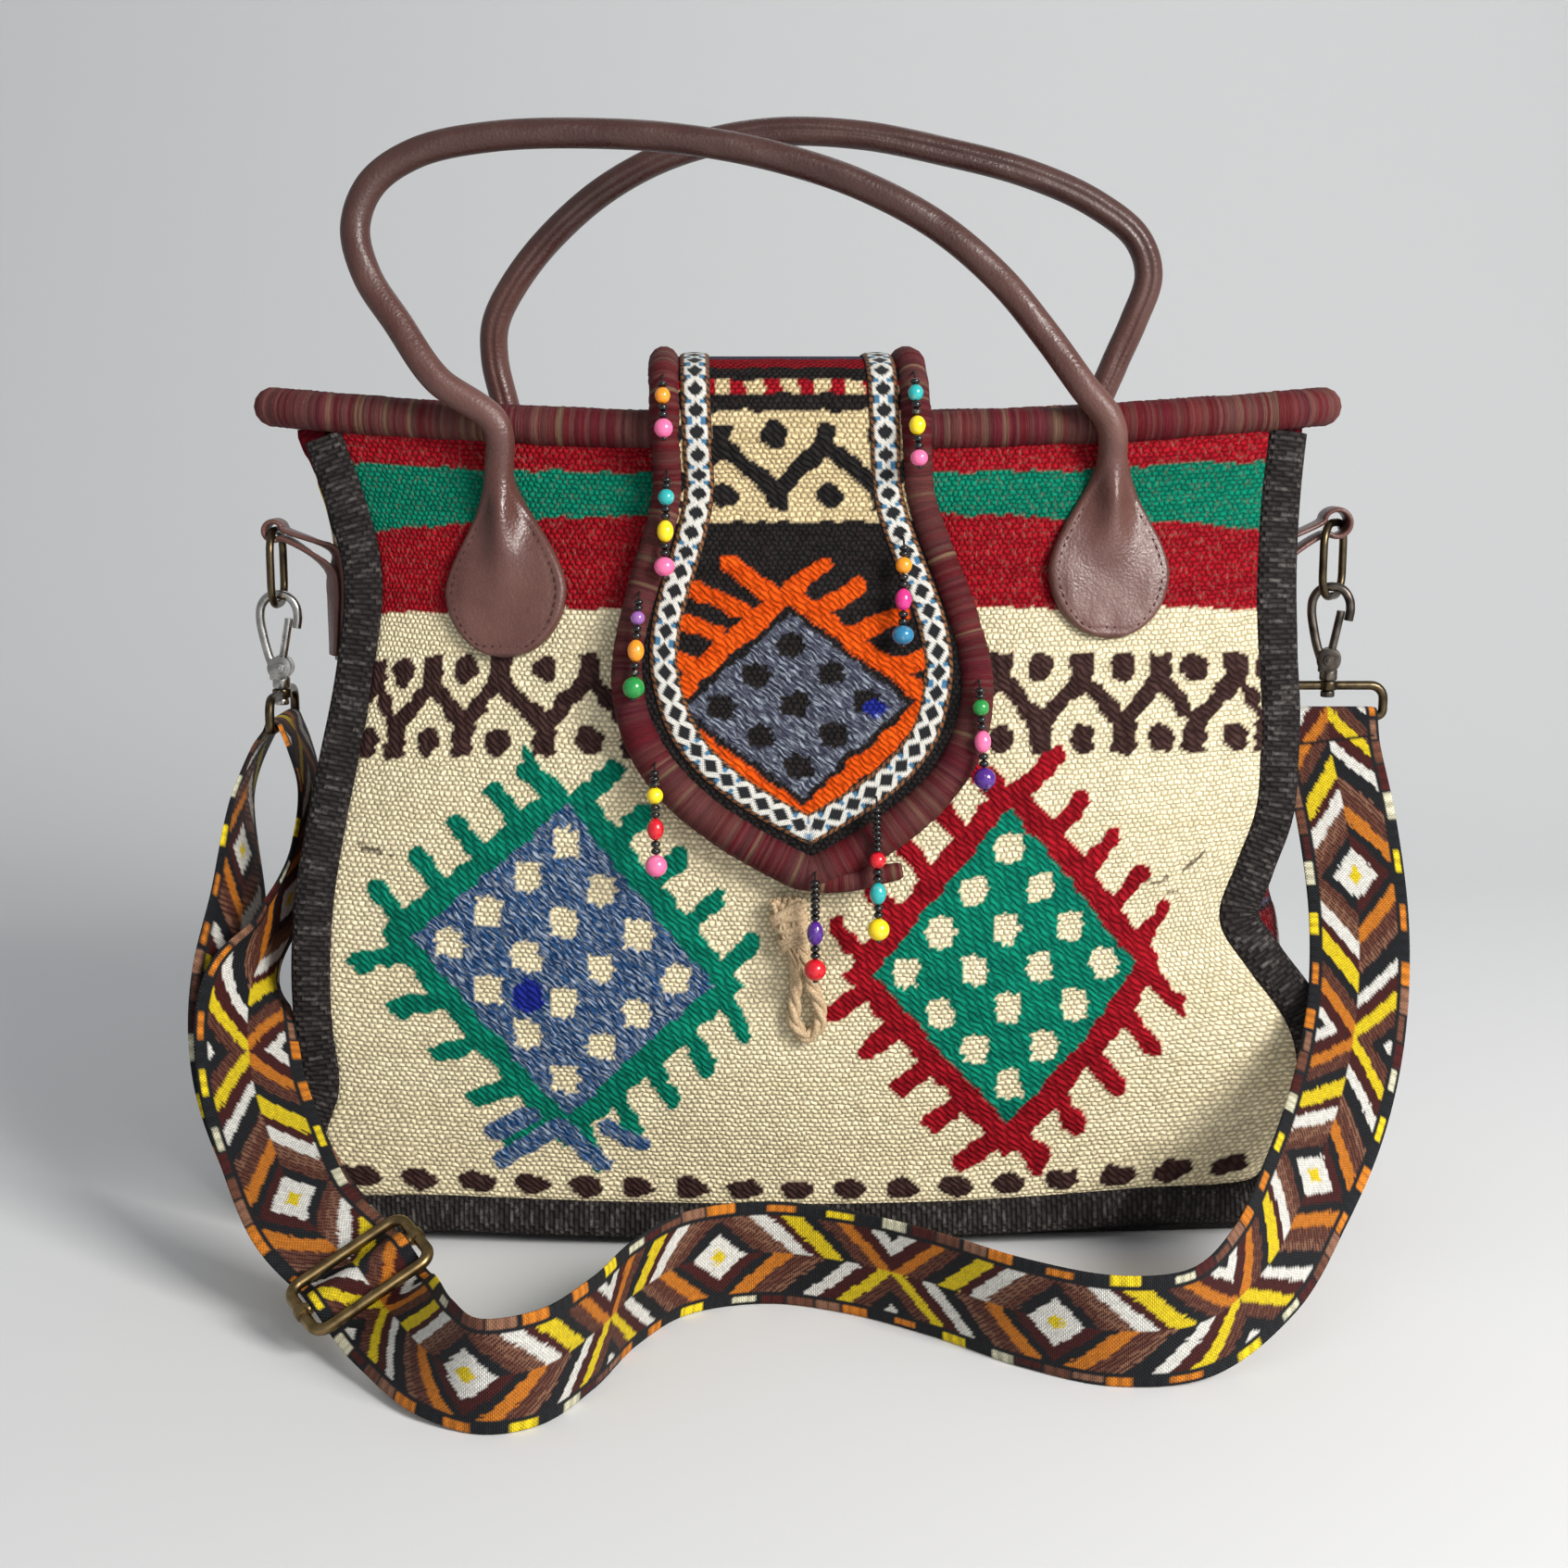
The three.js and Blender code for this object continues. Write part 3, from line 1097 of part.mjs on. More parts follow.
// Bow of bent wire with a slotted boss for the gate and a headed post for the strap eye.
function hook() {
  const shoulder = HOOK_HEIGHT - HOOK_HALF_WIDTH;
  const outline = new THREE.CatmullRomCurve3([
    [-HOOK_WIRE, HOOK_BOSS_HEIGHT], [-HOOK_HALF_WIDTH * 0.8, HOOK_BOSS_HEIGHT + HOOK_BOSS_RADIUS],
    [-HOOK_HALF_WIDTH, (HOOK_BOSS_HEIGHT + shoulder) / 2], [-HOOK_HALF_WIDTH, shoulder],
    [-HOOK_HALF_WIDTH * Math.SQRT1_2, shoulder + HOOK_HALF_WIDTH * Math.SQRT1_2], [0, HOOK_HEIGHT],
    [HOOK_HALF_WIDTH * Math.SQRT1_2, shoulder + HOOK_HALF_WIDTH * Math.SQRT1_2],
    [HOOK_HALF_WIDTH, shoulder], [HOOK_HALF_WIDTH, noseLevel],
  ].map(([x, z]) => new THREE.Vector3(x, 0, z)));
  const front = new THREE.Vector3(0, -1, 0);
  const steps = 14;
  const rings = [];
  for (let step = 0; step <= steps; step += 1) {
    const middle = outline.getPointAt(step / steps);
    const side = outline.getTangentAt(step / steps).cross(front);
    rings.push(ovalRing(middle, side, front, HOOK_WIRE, HOOK_WIRE, 6));
  }
  const bossFrom = HOOK_BOSS_HEIGHT - HOOK_BOSS_RADIUS;
  const boss = new THREE.CylinderGeometry(HOOK_BOSS_RADIUS, HOOK_BOSS_RADIUS, HOOK_BOSS_THICKNESS, 10)
    .translate(0, 0, HOOK_BOSS_HEIGHT);
  const headTop = -EYE_WIRE - FIT;
  const post = cylinder(POST_RADIUS, headTop - POST_HEAD / 2, bossFrom + HOOK_BOSS_RADIUS / 2, 10);
  const neck = cylinder(EYE_BOSS_RADIUS, EYE_WIRE + FIT, bossFrom + POST_RADIUS, 10);
  const head = cylinder(POST_HEAD_RADIUS, headTop - POST_HEAD, headTop, 10);
  const slotDepth = HOOK_BOSS_RADIUS + GATE_HALF_WIDTH + PLAY;
  const slotWidth = GATE_THICKNESS + 2 * PLAY;
  const slot = new THREE.BoxGeometry(3 * HOOK_BOSS_RADIUS, slotWidth, slotDepth + HOOK_BOSS_RADIUS)
    .translate(HOOK_BOSS_RADIUS - GATE_HALF_WIDTH, 0, HOOK_BOSS_HEIGHT + HOOK_BOSS_RADIUS / 2);
  const bore = new THREE.CylinderGeometry(PIN_RADIUS + PLAY, PIN_RADIUS + PLAY, 2 * HOOK_BOSS_THICKNESS, 12)
    .translate(0, 0, HOOK_BOSS_HEIGHT);
  const body = joined(loft(rings), boss, neck, post, head);
  return fromSolid(body.subtract(toSolid(slot)).subtract(toSolid(bore)));
}

// Sprung gate, drawn upright on its rivet and leaned against the nose of the hook.
function gate() {
  const length = Math.hypot(gateReach, gateTip);
  const bar = new THREE.Shape();
  bar.absarc(0, 0, GATE_HALF_WIDTH + PIN_RADIUS, Math.PI, 2 * Math.PI);
  bar.lineTo(GATE_HALF_WIDTH, length - GATE_HALF_WIDTH);
  bar.absarc(0, length - GATE_HALF_WIDTH, GATE_HALF_WIDTH, 0, Math.PI);
  bar.closePath();
  const hole = new THREE.Path();
  hole.absarc(0, 0, PIN_RADIUS + PLAY, 0, 2 * Math.PI, true);
  bar.holes.push(hole);
  const geometry = new THREE.ExtrudeGeometry(bar, {
    depth: GATE_THICKNESS, bevelEnabled: false, curveSegments: 5,
  });
  return geometry.translate(0, 0, -GATE_THICKNESS / 2).rotateX(Math.PI / 2).rotateY(gateLean);
}

function gatePin() {
  const half = HOOK_BOSS_THICKNESS / 2 + FIT;
  const profile = [
    [0, -half - PIN_HEAD], [PIN_HEAD_RADIUS, -half - PIN_HEAD], [PIN_HEAD_RADIUS, -half], [PIN_RADIUS, -half],
    [PIN_RADIUS, half], [PIN_HEAD_RADIUS, half], [PIN_HEAD_RADIUS, half + PIN_HEAD], [0, half + PIN_HEAD],
  ].map(([x, y]) => new THREE.Vector2(x, y));
  return new THREE.LatheGeometry(profile, 10);
}

// Sideways place of the gusset's middle at a height above the floor.
function gussetMiddle(side, level) {
  for (let row = 0; row < BODY_ROWS; row += 1) {
    const low = gussetPoint(side, 0, row / BODY_ROWS, 0);
    const high = gussetPoint(side, 0, (row + 1) / BODY_ROWS, 0);
    if (level <= high.z) return THREE.MathUtils.mapLinear(level, low.z, high.z, low.x, high.x);
  }
  return gussetPoint(side, 0, 1, 0).x;
}

// Folded leather tab: a strip sewn on the gusset, and a loop at its upper end that holds the ring.
function ringTab(side, x, z, skew) {
  const wire = RING_WIRE + FIT + (TAB_WIDTH / 2) * Math.abs(Math.sin(skew)) + TAB_SLACK;
  const outer = wire + TAB_LEATHER;
  const hoop = new THREE.Shape().absarc(x, z, outer, 0, 2 * Math.PI);
  const face = (level, out) => gussetMiddle(side, level) + side * out;
  const strip = [];
  const steps = 5;
  for (const out of [FIT, FIT + TAB_LEATHER]) {
    const run = [];
    for (let step = 0; step <= steps; step += 1) {
      const level = z - outer - (TAB_LENGTH * step) / steps;
      run.push(new THREE.Vector2(face(level, out), level));
    }
    strip.push(...(out > FIT ? run.reverse() : run));
  }
  const root = z - outer;
  const web = new THREE.Shape([
    new THREE.Vector2(face(root, FIT), root),
    new THREE.Vector2(face(root - 2 * TAB_LEATHER, FIT), root - 2 * TAB_LEATHER),
    new THREE.Vector2(x, z - outer + TAB_LEATHER / 4),
    new THREE.Vector2(x - side * wire, z),
  ]);
  const extruded = (outline) => new THREE.ExtrudeGeometry(outline, {
    depth: TAB_WIDTH, bevelEnabled: false, curveSegments: 8,
  }).translate(0, 0, -TAB_WIDTH / 2).rotateX(Math.PI / 2);
  const bore = new THREE.CylinderGeometry(wire, wire, 2 * TAB_WIDTH, 16).translate(x, 0, z);
  const leatherStrip = extruded(new THREE.Shape(strip));
  return fromSolid(joined(extruded(hoop), extruded(web), leatherStrip).subtract(toSolid(bore)));
}

function sliderFrame() {
  const outline = roundedOutline(SLIDER_HALF_WIDTH, SLIDER_HALF_LENGTH, SLIDER_CORNER, 0);
  return wireLoop(outline, 2, SLIDER_WIRE, 6);
}

function sliderBar() {
  const inside = SLIDER_HALF_WIDTH - SLIDER_WIRE - FIT;
  return new THREE.CylinderGeometry(SLIDER_BAR_RADIUS, SLIDER_BAR_RADIUS, 2 * inside, 8).rotateZ(Math.PI / 2);
}

// Webbing: a flat section carried along stations that give its middle and the direction of its width.
function webbing(stations) {
  const middles = new THREE.CatmullRomCurve3(stations.map(({ middle }) => middle));
  const widths = new THREE.CatmullRomCurve3(stations.map(({ width }) => width));
  const steps = 2 * (stations.length - 1);
  const skin = (out) => (across, share) => {
    const run = middles.getTangent(share);
    const width = widths.getPoint(share);
    width.addScaledVector(run, -width.dot(run)).normalize();
    return middles.getPoint(share)
      .addScaledVector(width, (across - 0.5) * STRAP_WIDTH)
      .addScaledVector(run.cross(width), (out * STRAP_THICKNESS) / 2);
  };
  return sheet(1, steps, skin(1), skin(-1));
}

const vector = (values) => new THREE.Vector3(...values);
const onRoute = ([x, y, z]) => new THREE.Vector3((x * PANEL_HALF_WIDTH) / ROUTE_HALF_WIDTH, y, z);
const sliderRun = vector(SLIDER_RUN).normalize();
const sliderFace = sliderRun.clone().cross(vector(SLIDER_WIDTH)).normalize();
const sliderWidth = sliderFace.clone().cross(sliderRun);
const barClear = SLIDER_BAR_RADIUS + FIT + STRAP_THICKNESS / 2;
const frameClear = SLIDER_WIRE + 4 * FIT + STRAP_THICKNESS / 2;

function atSlider(run, out) {
  const middle = onRoute(SLIDER_PLACE).addScaledVector(sliderRun, run).addScaledVector(sliderFace, out);
  return { middle, width: sliderWidth };
}

// Half turn of webbing round the lower bar of a strap eye.
function foldOverEye(eye, towards, width) {
  const radius = EYE_WIRE + 2 * FIT + STRAP_THICKNESS / 2;
  const stations = [];
  for (let step = 0; step <= 4; step += 1) {
    const turn = (Math.PI * step) / 4;
    const middle = vector(eye).add(new THREE.Vector3(0, 0, -EYE_DROP + radius * Math.sin(turn)));
    stations.push({ middle: middle.addScaledVector(towards, radius * Math.cos(turn)), width });
  }
  return stations;
}

function shoulderStrap() {
  const routed = (points) => points.map(([x, y, z, ...width]) => ({
    middle: onRoute([x, y, z]), width: vector(width),
  }));
  const layers = STRAP_THICKNESS + FIT;
  return webbing([
    atSlider(0, -barClear),
    atSlider(-SLIDER_HALF_LENGTH, -frameClear - layers),
    ...routed(STRAP_DOUBLED),
    ...foldOverEye(LEFT_EYE, sideways.clone().negate(), new THREE.Vector3(0, 1, 0)),
    ...routed(STRAP_HANGING),
    atSlider(-SLIDER_HALF_LENGTH, -frameClear),
    atSlider(0, barClear),
    atSlider(SLIDER_HALF_LENGTH, -frameClear),
    ...routed(STRAP_ON_FLOOR),
    ...foldOverEye(RIGHT_EYE, new THREE.Vector3(0, -1, 0), new THREE.Vector3(-1, 0, 0)),
    ...routed(STRAP_TAIL),
  ]);
}

// Assembly

const bag = new THREE.Group();
const cloth = (color) => new THREE.MeshStandardMaterial({ color, roughness: 0.95, metalness: 0 });
const woven = () => new THREE.MeshStandardMaterial({ vertexColors: true, roughness: 0.95, metalness: 0 });
const leather = () => new THREE.MeshStandardMaterial({ color: 0x6a453f, roughness: 0.5, metalness: 0 });
const painted = (color) => new THREE.MeshStandardMaterial({ color, roughness: 0.35, metalness: 0 });
const metal = (color) => new THREE.MeshStandardMaterial({ color, roughness: 0.35, metalness: 0.9 });

function add(name, geometry, material, parent = bag) {
  const mesh = new THREE.Mesh(geometry, material);
  mesh.name = name;
  parent.add(mesh);
  return mesh;
}

add('front_panel', frontPanel(), woven());
add('back_panel', backPanel(), woven());
add('left_gusset', gusset(-1), cloth(0x7a2030));
add('right_gusset', gusset(1), cloth(0x7a2030));
add('base_panel', basePanel(), cloth(0x34323a));
add('lining', lining(), cloth(0x2c2a2c));
add('front_tape', seamTape(-1), cloth(0x3b3940));
add('back_tape', seamTape(1), cloth(0x3b3940));
add('rim_roll', rimRoll(), cloth(0x5c2a30));
add('flap', flapCloth(), woven());
add('flap_binding', flapBinding(), cloth(0x6a2a34));
add('flap_ribbon', flapRibbon(), cloth(0xd9d5cc));
STRANDS.forEach((strand, place) => sewStrand(`bead_strand_${place + 1}`, strand));
const loopFace = onPanel(-1)(FLAP_MIDDLE, FLAP_TIP_HEIGHT - SEAM_HEIGHT - LOOP_LENGTH / 2, RELIEF + FIT);
add('jute_loop', jute(), cloth(0xa98b62)).position.set(
  FLAP_MIDDLE, loopFace.y - LOOP_HALF_WIDTH - TWINE_RADIUS, FLAP_TIP_HEIGHT + WRAP_GROOVE - FIT - TWINE_RADIUS,
);
add('front_handle', handle(-1, FRONT_FEET, FRONT_ARCH), leather());
add('back_handle', handle(1, BACK_FEET, BACK_ARCH), leather());

for (const [side, name, eye, turn, hue] of [
  [-1, 'left', LEFT_EYE, LEFT_HOOK_TURN, 0xb8b8b4],
  [1, 'right', RIGHT_EYE, RIGHT_HOOK_TURN, 0x5d5348],
]) {
  const hung = new THREE.Group();
  hung.position.set(...eye);
  bag.add(hung);
  const eyeTurn = side < 0 ? Math.PI / 2 : 0;
  add(`${name}_eye`, strapEye().rotateZ(eyeTurn), metal(0x6b5a3c), hung);
  const turned = new THREE.Group();
  turned.rotation.z = turn;
  hung.add(turned);
  add(`${name}_hook`, hook(), metal(hue), turned);
  add(`${name}_gate`, gate(), metal(hue), turned).position.z = HOOK_BOSS_HEIGHT;
  add(`${name}_gate_pin`, gatePin(), metal(hue), turned).position.z = HOOK_BOSS_HEIGHT;
  const ringTurn = turn + Math.PI / 2;
  add(`${name}_ring`, ring().rotateZ(ringTurn), metal(0x6b5a3c), hung);
  add(`${name}_tab`, ringTab(side, eye[0], eye[2] + ringTop, turn), leather());
}

add('shoulder_strap', shoulderStrap(), cloth(0x6b4a2c));
const slider = new THREE.Group();
slider.matrix.makeBasis(sliderWidth, sliderFace.clone().negate(), sliderRun.clone().negate());
slider.matrix.setPosition(onRoute(SLIDER_PLACE));
slider.matrixAutoUpdate = false;
bag.add(slider);
add('slider_frame', sliderFrame(), metal(0x6b5a3c), slider);
add('slider_bar', sliderBar(), metal(0x6b5a3c), slider);

export default bag;
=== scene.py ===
# Kilim tote bag: woven panels, tongue flap, leather handles, beads, snap hooks and webbing strap.
# Sizes are in millimetres and turn into metres when a mesh is made. +Z is up and the front faces -Y.
import math

import bpy
import numpy as np
from mathutils import Matrix, Vector


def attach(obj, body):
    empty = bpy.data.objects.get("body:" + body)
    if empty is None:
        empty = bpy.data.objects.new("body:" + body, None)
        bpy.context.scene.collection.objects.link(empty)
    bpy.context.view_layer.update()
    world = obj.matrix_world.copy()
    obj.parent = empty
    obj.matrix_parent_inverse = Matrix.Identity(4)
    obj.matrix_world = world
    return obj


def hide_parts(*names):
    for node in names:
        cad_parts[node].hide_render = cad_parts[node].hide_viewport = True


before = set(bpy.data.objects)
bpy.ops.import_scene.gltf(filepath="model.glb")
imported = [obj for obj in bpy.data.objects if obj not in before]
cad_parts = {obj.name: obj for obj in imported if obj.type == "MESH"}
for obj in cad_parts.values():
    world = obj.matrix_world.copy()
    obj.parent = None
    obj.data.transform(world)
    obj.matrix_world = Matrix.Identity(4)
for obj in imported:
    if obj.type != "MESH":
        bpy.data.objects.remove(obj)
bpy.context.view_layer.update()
bpy.ops.object.select_all(action="DESELECT")

MM = 0.001

# Sewn body
PANEL_HALF_WIDTH = 168
PANEL_HEIGHT = 280.5
TAPE_MIDDLE = 7.6
MOUTH_HALF_SPAN = 198.2
MOUTH_LEVEL, SEAM_LEVEL = 306, 19
CLOTH_DEPTH = 4.3
RELIEF = 0.9
# Cords wound with yarn: width of one turn, and the step between points along them
YARN_PITCH, CORD_STEP = 1.15, 0.62
# Roll: how far its middle lies inside the panels' faces and above their tops, and its radius
ROLL_INSET, ROLL_LIFT, ROLL_RADIUS = 1.7, 6.5, 7.3

# Woven pattern, in flat cloth sizes from the middle and the lower seam
GREEN_TOP, GREEN_BOTTOM, CREAM_TOP = 275, 255, 225
# Sideways places of the zigzag's turns, from a valley at the left by a peak, and so on
ZIGZAG_TURNS = [
    -180, -166, -154, -140, -126, -112, -94, -77, -60, -44, -29, -14, 1, 16, 31, 45, 59, 74, 89, 104, 119, 133, 145,
    160, 171, 184,
]
ZIGZAG_PEAK, ZIGZAG_VALLEY = 197, 180
# Medallions: middle, way up and way to the right; the lean of the teeth on each side; horns and feet
MEDALLION_BORDER, TEETH, TOOTH_LENGTH, TOOTH_WIDTH = 9.0, 5, 16.0, 7.5
LEFT_MEDALLION = ((-85.7, 92.5), (0.7, 59.2), (54.6, -6.3))
RIGHT_MEDALLION = ((77.6, 89.8), (-0.3, 60.2), (49.7, -0.6))
FLAP_MEDALLION = ((-3, 68), (-0.5, 33), (40.5, 1))
LEFT_LEANS, RIGHT_LEANS = (0.42, 0.0, -0.2, 0.0), (0.2, 0.0, -0.2, 0.0)
LEFT_HORNS = (((-84, 151), (-100, 163)), ((-82, 151), (-67, 164)))
RIGHT_HORNS = (((76, 154), (63, 166)), ((79, 154), (94, 167)), ((81, 29), (62, 15)), ((77, 28), (90, 16)))
LEFT_FEET = (((-89, 29), (-109, 15)), ((-89, 29), (-73, 15)), ((-112, 26), (-100, 33)), ((-71, 29), (-59, 24)))
FLAP_ARMS = (
    ((-14, 30), (12, 51)), ((8, 30), (-21, 51)), ((9, 34), (25, 43)), ((21, 25), (40, 33)), ((33, 14), (49, 17)),
    ((-18, 34), (-34, 42)), ((-27, 26), (-43, 32)), ((-38, 15), (-50, 20)),
)

# Flap: half widths, sideways place of its tip and slant, distance from the panel, rise over the mouth, trims
FLAP_NECK, FLAP_WIDEST = 51.0, 69.0
FLAP_TIP, FLAP_SLANT = 5, 14
FLAP_STAND, FLAP_RISE = 6.8, 26
BINDING_RADIUS = 5.6
RIBBON_EDGES, RIBBON_MIDDLE = (11.6, 22.4), 17.0

# Free arch of each handle above the mouth, and its teardrop ends
FRONT_ARCH = [
    (-131, -33, 325), (-145, -30, 345), (-156, -28, 362), (-160, -26, 379), (-154, -25, 394), (-138, -24, 405),
    (-110, -23, 411), (-66, -22, 412), (-33, -22, 409), (-4, -22, 403), (23, -23, 394), (50, -24, 380),
    (73, -26, 361), (90, -28, 341), (104, -31, 322),
]
BACK_ARCH = [
    (-118, 32, 333), (-117, 29, 347), (-109, 27, 362), (-94, 26, 380), (-72, 25, 398), (-45, 24, 411),
    (-11, 24, 418), (24, 24, 417), (56, 24, 411), (88, 25, 403), (114, 26, 392), (131, 27, 379),
    (136, 28, 365), (131, 30, 348), (124, 32, 331),
]
FRONT_FEET = [(-110, 203), (114, 209)]
BACK_FEET = [(-113, 206), (116, 206)]
HANDLE_RADIUS = 5.4
FOOT_LENGTH = 64
LEAF_HALF_WIDTH, LEAF_SPREAD, LEAF_RISE, STITCH_INSET = 23.2, 17.8, 1.8, 3.4

# Strap metal: middle of each eye's upper bar, the turn of its hook, the oval ring above it, and the slider
LEFT_EYE, RIGHT_EYE = (-199, 0, 206), (205, 0, 209)
LEFT_TURN, RIGHT_TURN = 0.0, -0.26
RING_MIDDLE, RING_HALF_HEIGHT = 48.5, 14
SLIDER_HALF_WIDTH, SLIDER_HALF_LENGTH = 22.5, 12.5
SLIDER_PLACE = (-149, -136, 25)
SLIDER_RUN = (0.57, -0.77, -0.28)
SLIDER_WIDTH = (0.79, 0.43, 0.44)

# Route of the webbing: its middle, and the direction of its width
STRAP_DOUBLED = [
    (-172, -107, 35, 0.79, 0.43, 0.44), (-188, -86, 50, 0.75, 0.5, 0.43), (-203, -63, 71, 0.65, 0.65, 0.4),
    (-212, -37, 100, 0.45, 0.85, 0.25), (-214, -18, 130, 0.25, 0.95, 0.12), (-214, -4, 168, 0, 1, 0),
    (-207, 0, 187, 0, 1, 0),
]
STRAP_HANGING = [
    (-193, 0, 186, 0, 1, 0), (-189, -3, 170, 0, 1, 0), (-190, -10, 147, 0.1, 1, 0.05),
    (-198, -24, 122, 0.25, 0.95, 0.12), (-206, -41, 101, 0.45, 0.85, 0.25), (-201, -66, 75, 0.65, 0.65, 0.4),
    (-188, -89, 53, 0.75, 0.5, 0.43), (-173, -111, 36, 0.79, 0.43, 0.44),
]
STRAP_ON_FLOOR = [
    (-131, -163, 19, 0.6, 0.33, 0.72), (-115, -191, 20, 0.3, 0.15, 0.95), (-99, -204, 19.4, 0, 0, 1),
    (-82, -198, 19.4, 0, 0, 1), (-67, -172, 19.4, 0, 0, 1), (-55, -138, 19.4, 0, 0, 1),
    (-38, -112, 19.4, 0, 0, 1), (-11, -103, 19.4, 0, 0, 1), (16, -111, 19.4, 0, 0, 1),
    (46, -131, 19.4, 0, 0, 1), (75, -156, 19.4, 0, 0, 1), (103, -170, 19.4, 0, 0, 1),
    (131, -167, 21, -0.2, 0, 0.98), (156, -146, 31, -0.6, -0.1, 0.79), (176, -115, 46, -0.8, -0.1, 0.6),
    (195, -82, 67, -0.93, -0.05, 0.35), (208, -52, 93, -0.98, 0, 0.2), (213, -30, 124, -1, 0, 0.05),
    (211, -14, 158, -1, 0, 0), (206, -4.5, 186, -1, 0, 0),
]
STRAP_TAIL = [(205, 3.4, 188, -1, 0, 0), (206, 2.6, 178, -1, 0, 0)]
STRAP_HALF_WIDTH, STRAP_HALF_THICKNESS = 19, 0.75


def linear(red, green, blue):
    """Colour as it is seen, from 0 to 255, as the light it stands for."""
    seen = np.array((red, green, blue)) / 255
    return np.where(seen <= 0.04045, seen / 12.92, ((seen + 0.055) / 1.055) ** 2.4)


# Colours of the yarns, the trim and the webbing
CREAM = linear(238, 224, 188)
MADDER = linear(153, 20, 32)
GREEN = linear(9, 120, 94)
TEAL = linear(11, 126, 100)
BROWN = linear(50, 34, 32)
BLUE = linear(42, 76, 119)
ORANGE = linear(226, 86, 20)
SLATE = linear(70, 72, 89)
SOOT = linear(29, 27, 27)
CHARCOAL = linear(44, 40, 40)
WINE = linear(90, 18, 37)
MAUVE = linear(114, 72, 66)
OLIVE = linear(134, 106, 80)
ROYAL = linear(28, 40, 130)
WHITE = linear(236, 234, 226)
GOLD = linear(236, 208, 30)
AMBER = linear(206, 122, 34)
TAN = linear(138, 98, 76)
MAROON = linear(70, 24, 22)
UMBER = linear(106, 66, 50)
INK = linear(24, 26, 30)
SAND = linear(212, 208, 180)


def along(places, values):
    """Smooth value along a height from 0 to 1, through the given values."""
    places, values = np.array(places, float), np.array(values, float)
    last = len(places) - 1

    def at(height):
        t = np.clip(np.asarray(height, float), 0, 1)
        i = np.clip(np.searchsorted(places, t, side="right"), 1, last)
        t0, t1, v0, v1 = places[i - 1], places[i], values[i - 1], values[i]
        first, final = i < 2, i + 1 > last
        before = np.where(first, t1, places[np.maximum(i - 2, 0)])
        value_before = np.where(first, v1, values[np.maximum(i - 2, 0)])
        after = np.where(final, t0, places[np.minimum(i + 1, last)])
        value_after = np.where(final, v0, values[np.minimum(i + 1, last)])
        wp = (t1 - t0) / 2 / (t0 - before)
        wn = (t1 - t0) / 2 / (after - t1)
        p = (t - t0) / (t1 - t0)
        return (
            (-wp * p**3 + 2 * wp * p**2 - wp * p) * value_before
            + ((1 + wp) * p**3 + (-1.5 - 2 * wp) * p**2 + (wp - 0.5) * p + 1) * v0
            + ((-1 - wn) * p**3 + (1.5 + wn) * p**2 + 0.5 * p) * v1
            + (wn * p**3 - wn * p**2) * value_after
        )

    return at


# Sideways bulge of the panels' edges, their depth at the corners and in the middle, and the gussets' bulge
left_bulge = along(
    [0, 0.06, 0.13, 0.25, 0.37, 0.5, 0.62, 0.74, 0.83, 0.91, 1], [8, 11, 5, 7, 6, 0, -7, -12, -13, -7, 2]
)
right_bulge = along(
    [0, 0.06, 0.13, 0.19, 0.24, 0.29, 0.35, 0.42, 0.5, 0.62, 0.8, 0.91, 1],
    [5, 14, 20, 19, 10, 0, -10, -5, 3, 4.5, 3.5, 5, 8],
)
corner_depth = along([0, 0.25, 0.5, 0.75, 1], [44, 43, 35, 24, 12])
crown = along([0, 0.25, 0.5, 0.75, 1], [8, 15, 20, 19, 14])
left_gusset_bulge = along([0, 0.25, 0.5, 0.75, 0.9, 1], [13, 14, 9, 7, 10, 20])
right_gusset_bulge = along([0, 0.25, 0.5, 0.75, 0.9, 1], [18, 20, 12, 10, 14, 22])


def roll_height(x):
    """Level of the roll's middle, which rises to both ends of the mouth."""
    return MOUTH_LEVEL + 9 * (np.asarray(x, float) / MOUTH_HALF_SPAN) ** 2


def seam_height(share):
    """Level of the lower seam, which rises to both corners."""
    return SEAM_LEVEL + np.where(share > 0, 8, 3) * share * share


def panel_face(facing, share, height):
    """Outer face of a panel; share runs from -1 at the left seam to 1 at the right one."""
    share, height = np.broadcast_arrays(np.asarray(share, float), np.asarray(height, float))
    bulge = np.where(share > 0, right_bulge(height), -left_bulge(height))
    x = share * PANEL_HALF_WIDTH + bulge * np.abs(share) ** 4
    depth = corner_depth(height) + crown(height) * (1 - np.abs(share) ** 2.2)
    low = seam_height(share)
    return np.stack([x, facing * depth, low + (roll_height(x) - ROLL_LIFT - low) * height], -1)


def tape_line(facing, side, height, inset):
    """Middle of a side tape."""
    height = np.asarray(height, float)
    step = 0.5 / 14
    edge = panel_face(facing, side, height)
    above, below = np.minimum(height + step, 1), np.maximum(height - step, 0)
    run = panel_face(facing, side, above) - panel_face(facing, side, below)
    run[..., 1] = 0
    run /= np.linalg.norm(run, axis=-1, keepdims=True)
    edge[..., 0] += side * run[..., 2] * TAPE_MIDDLE
    edge[..., 1] -= facing * inset
    edge[..., 2] -= side * run[..., 0] * TAPE_MIDDLE
    return edge


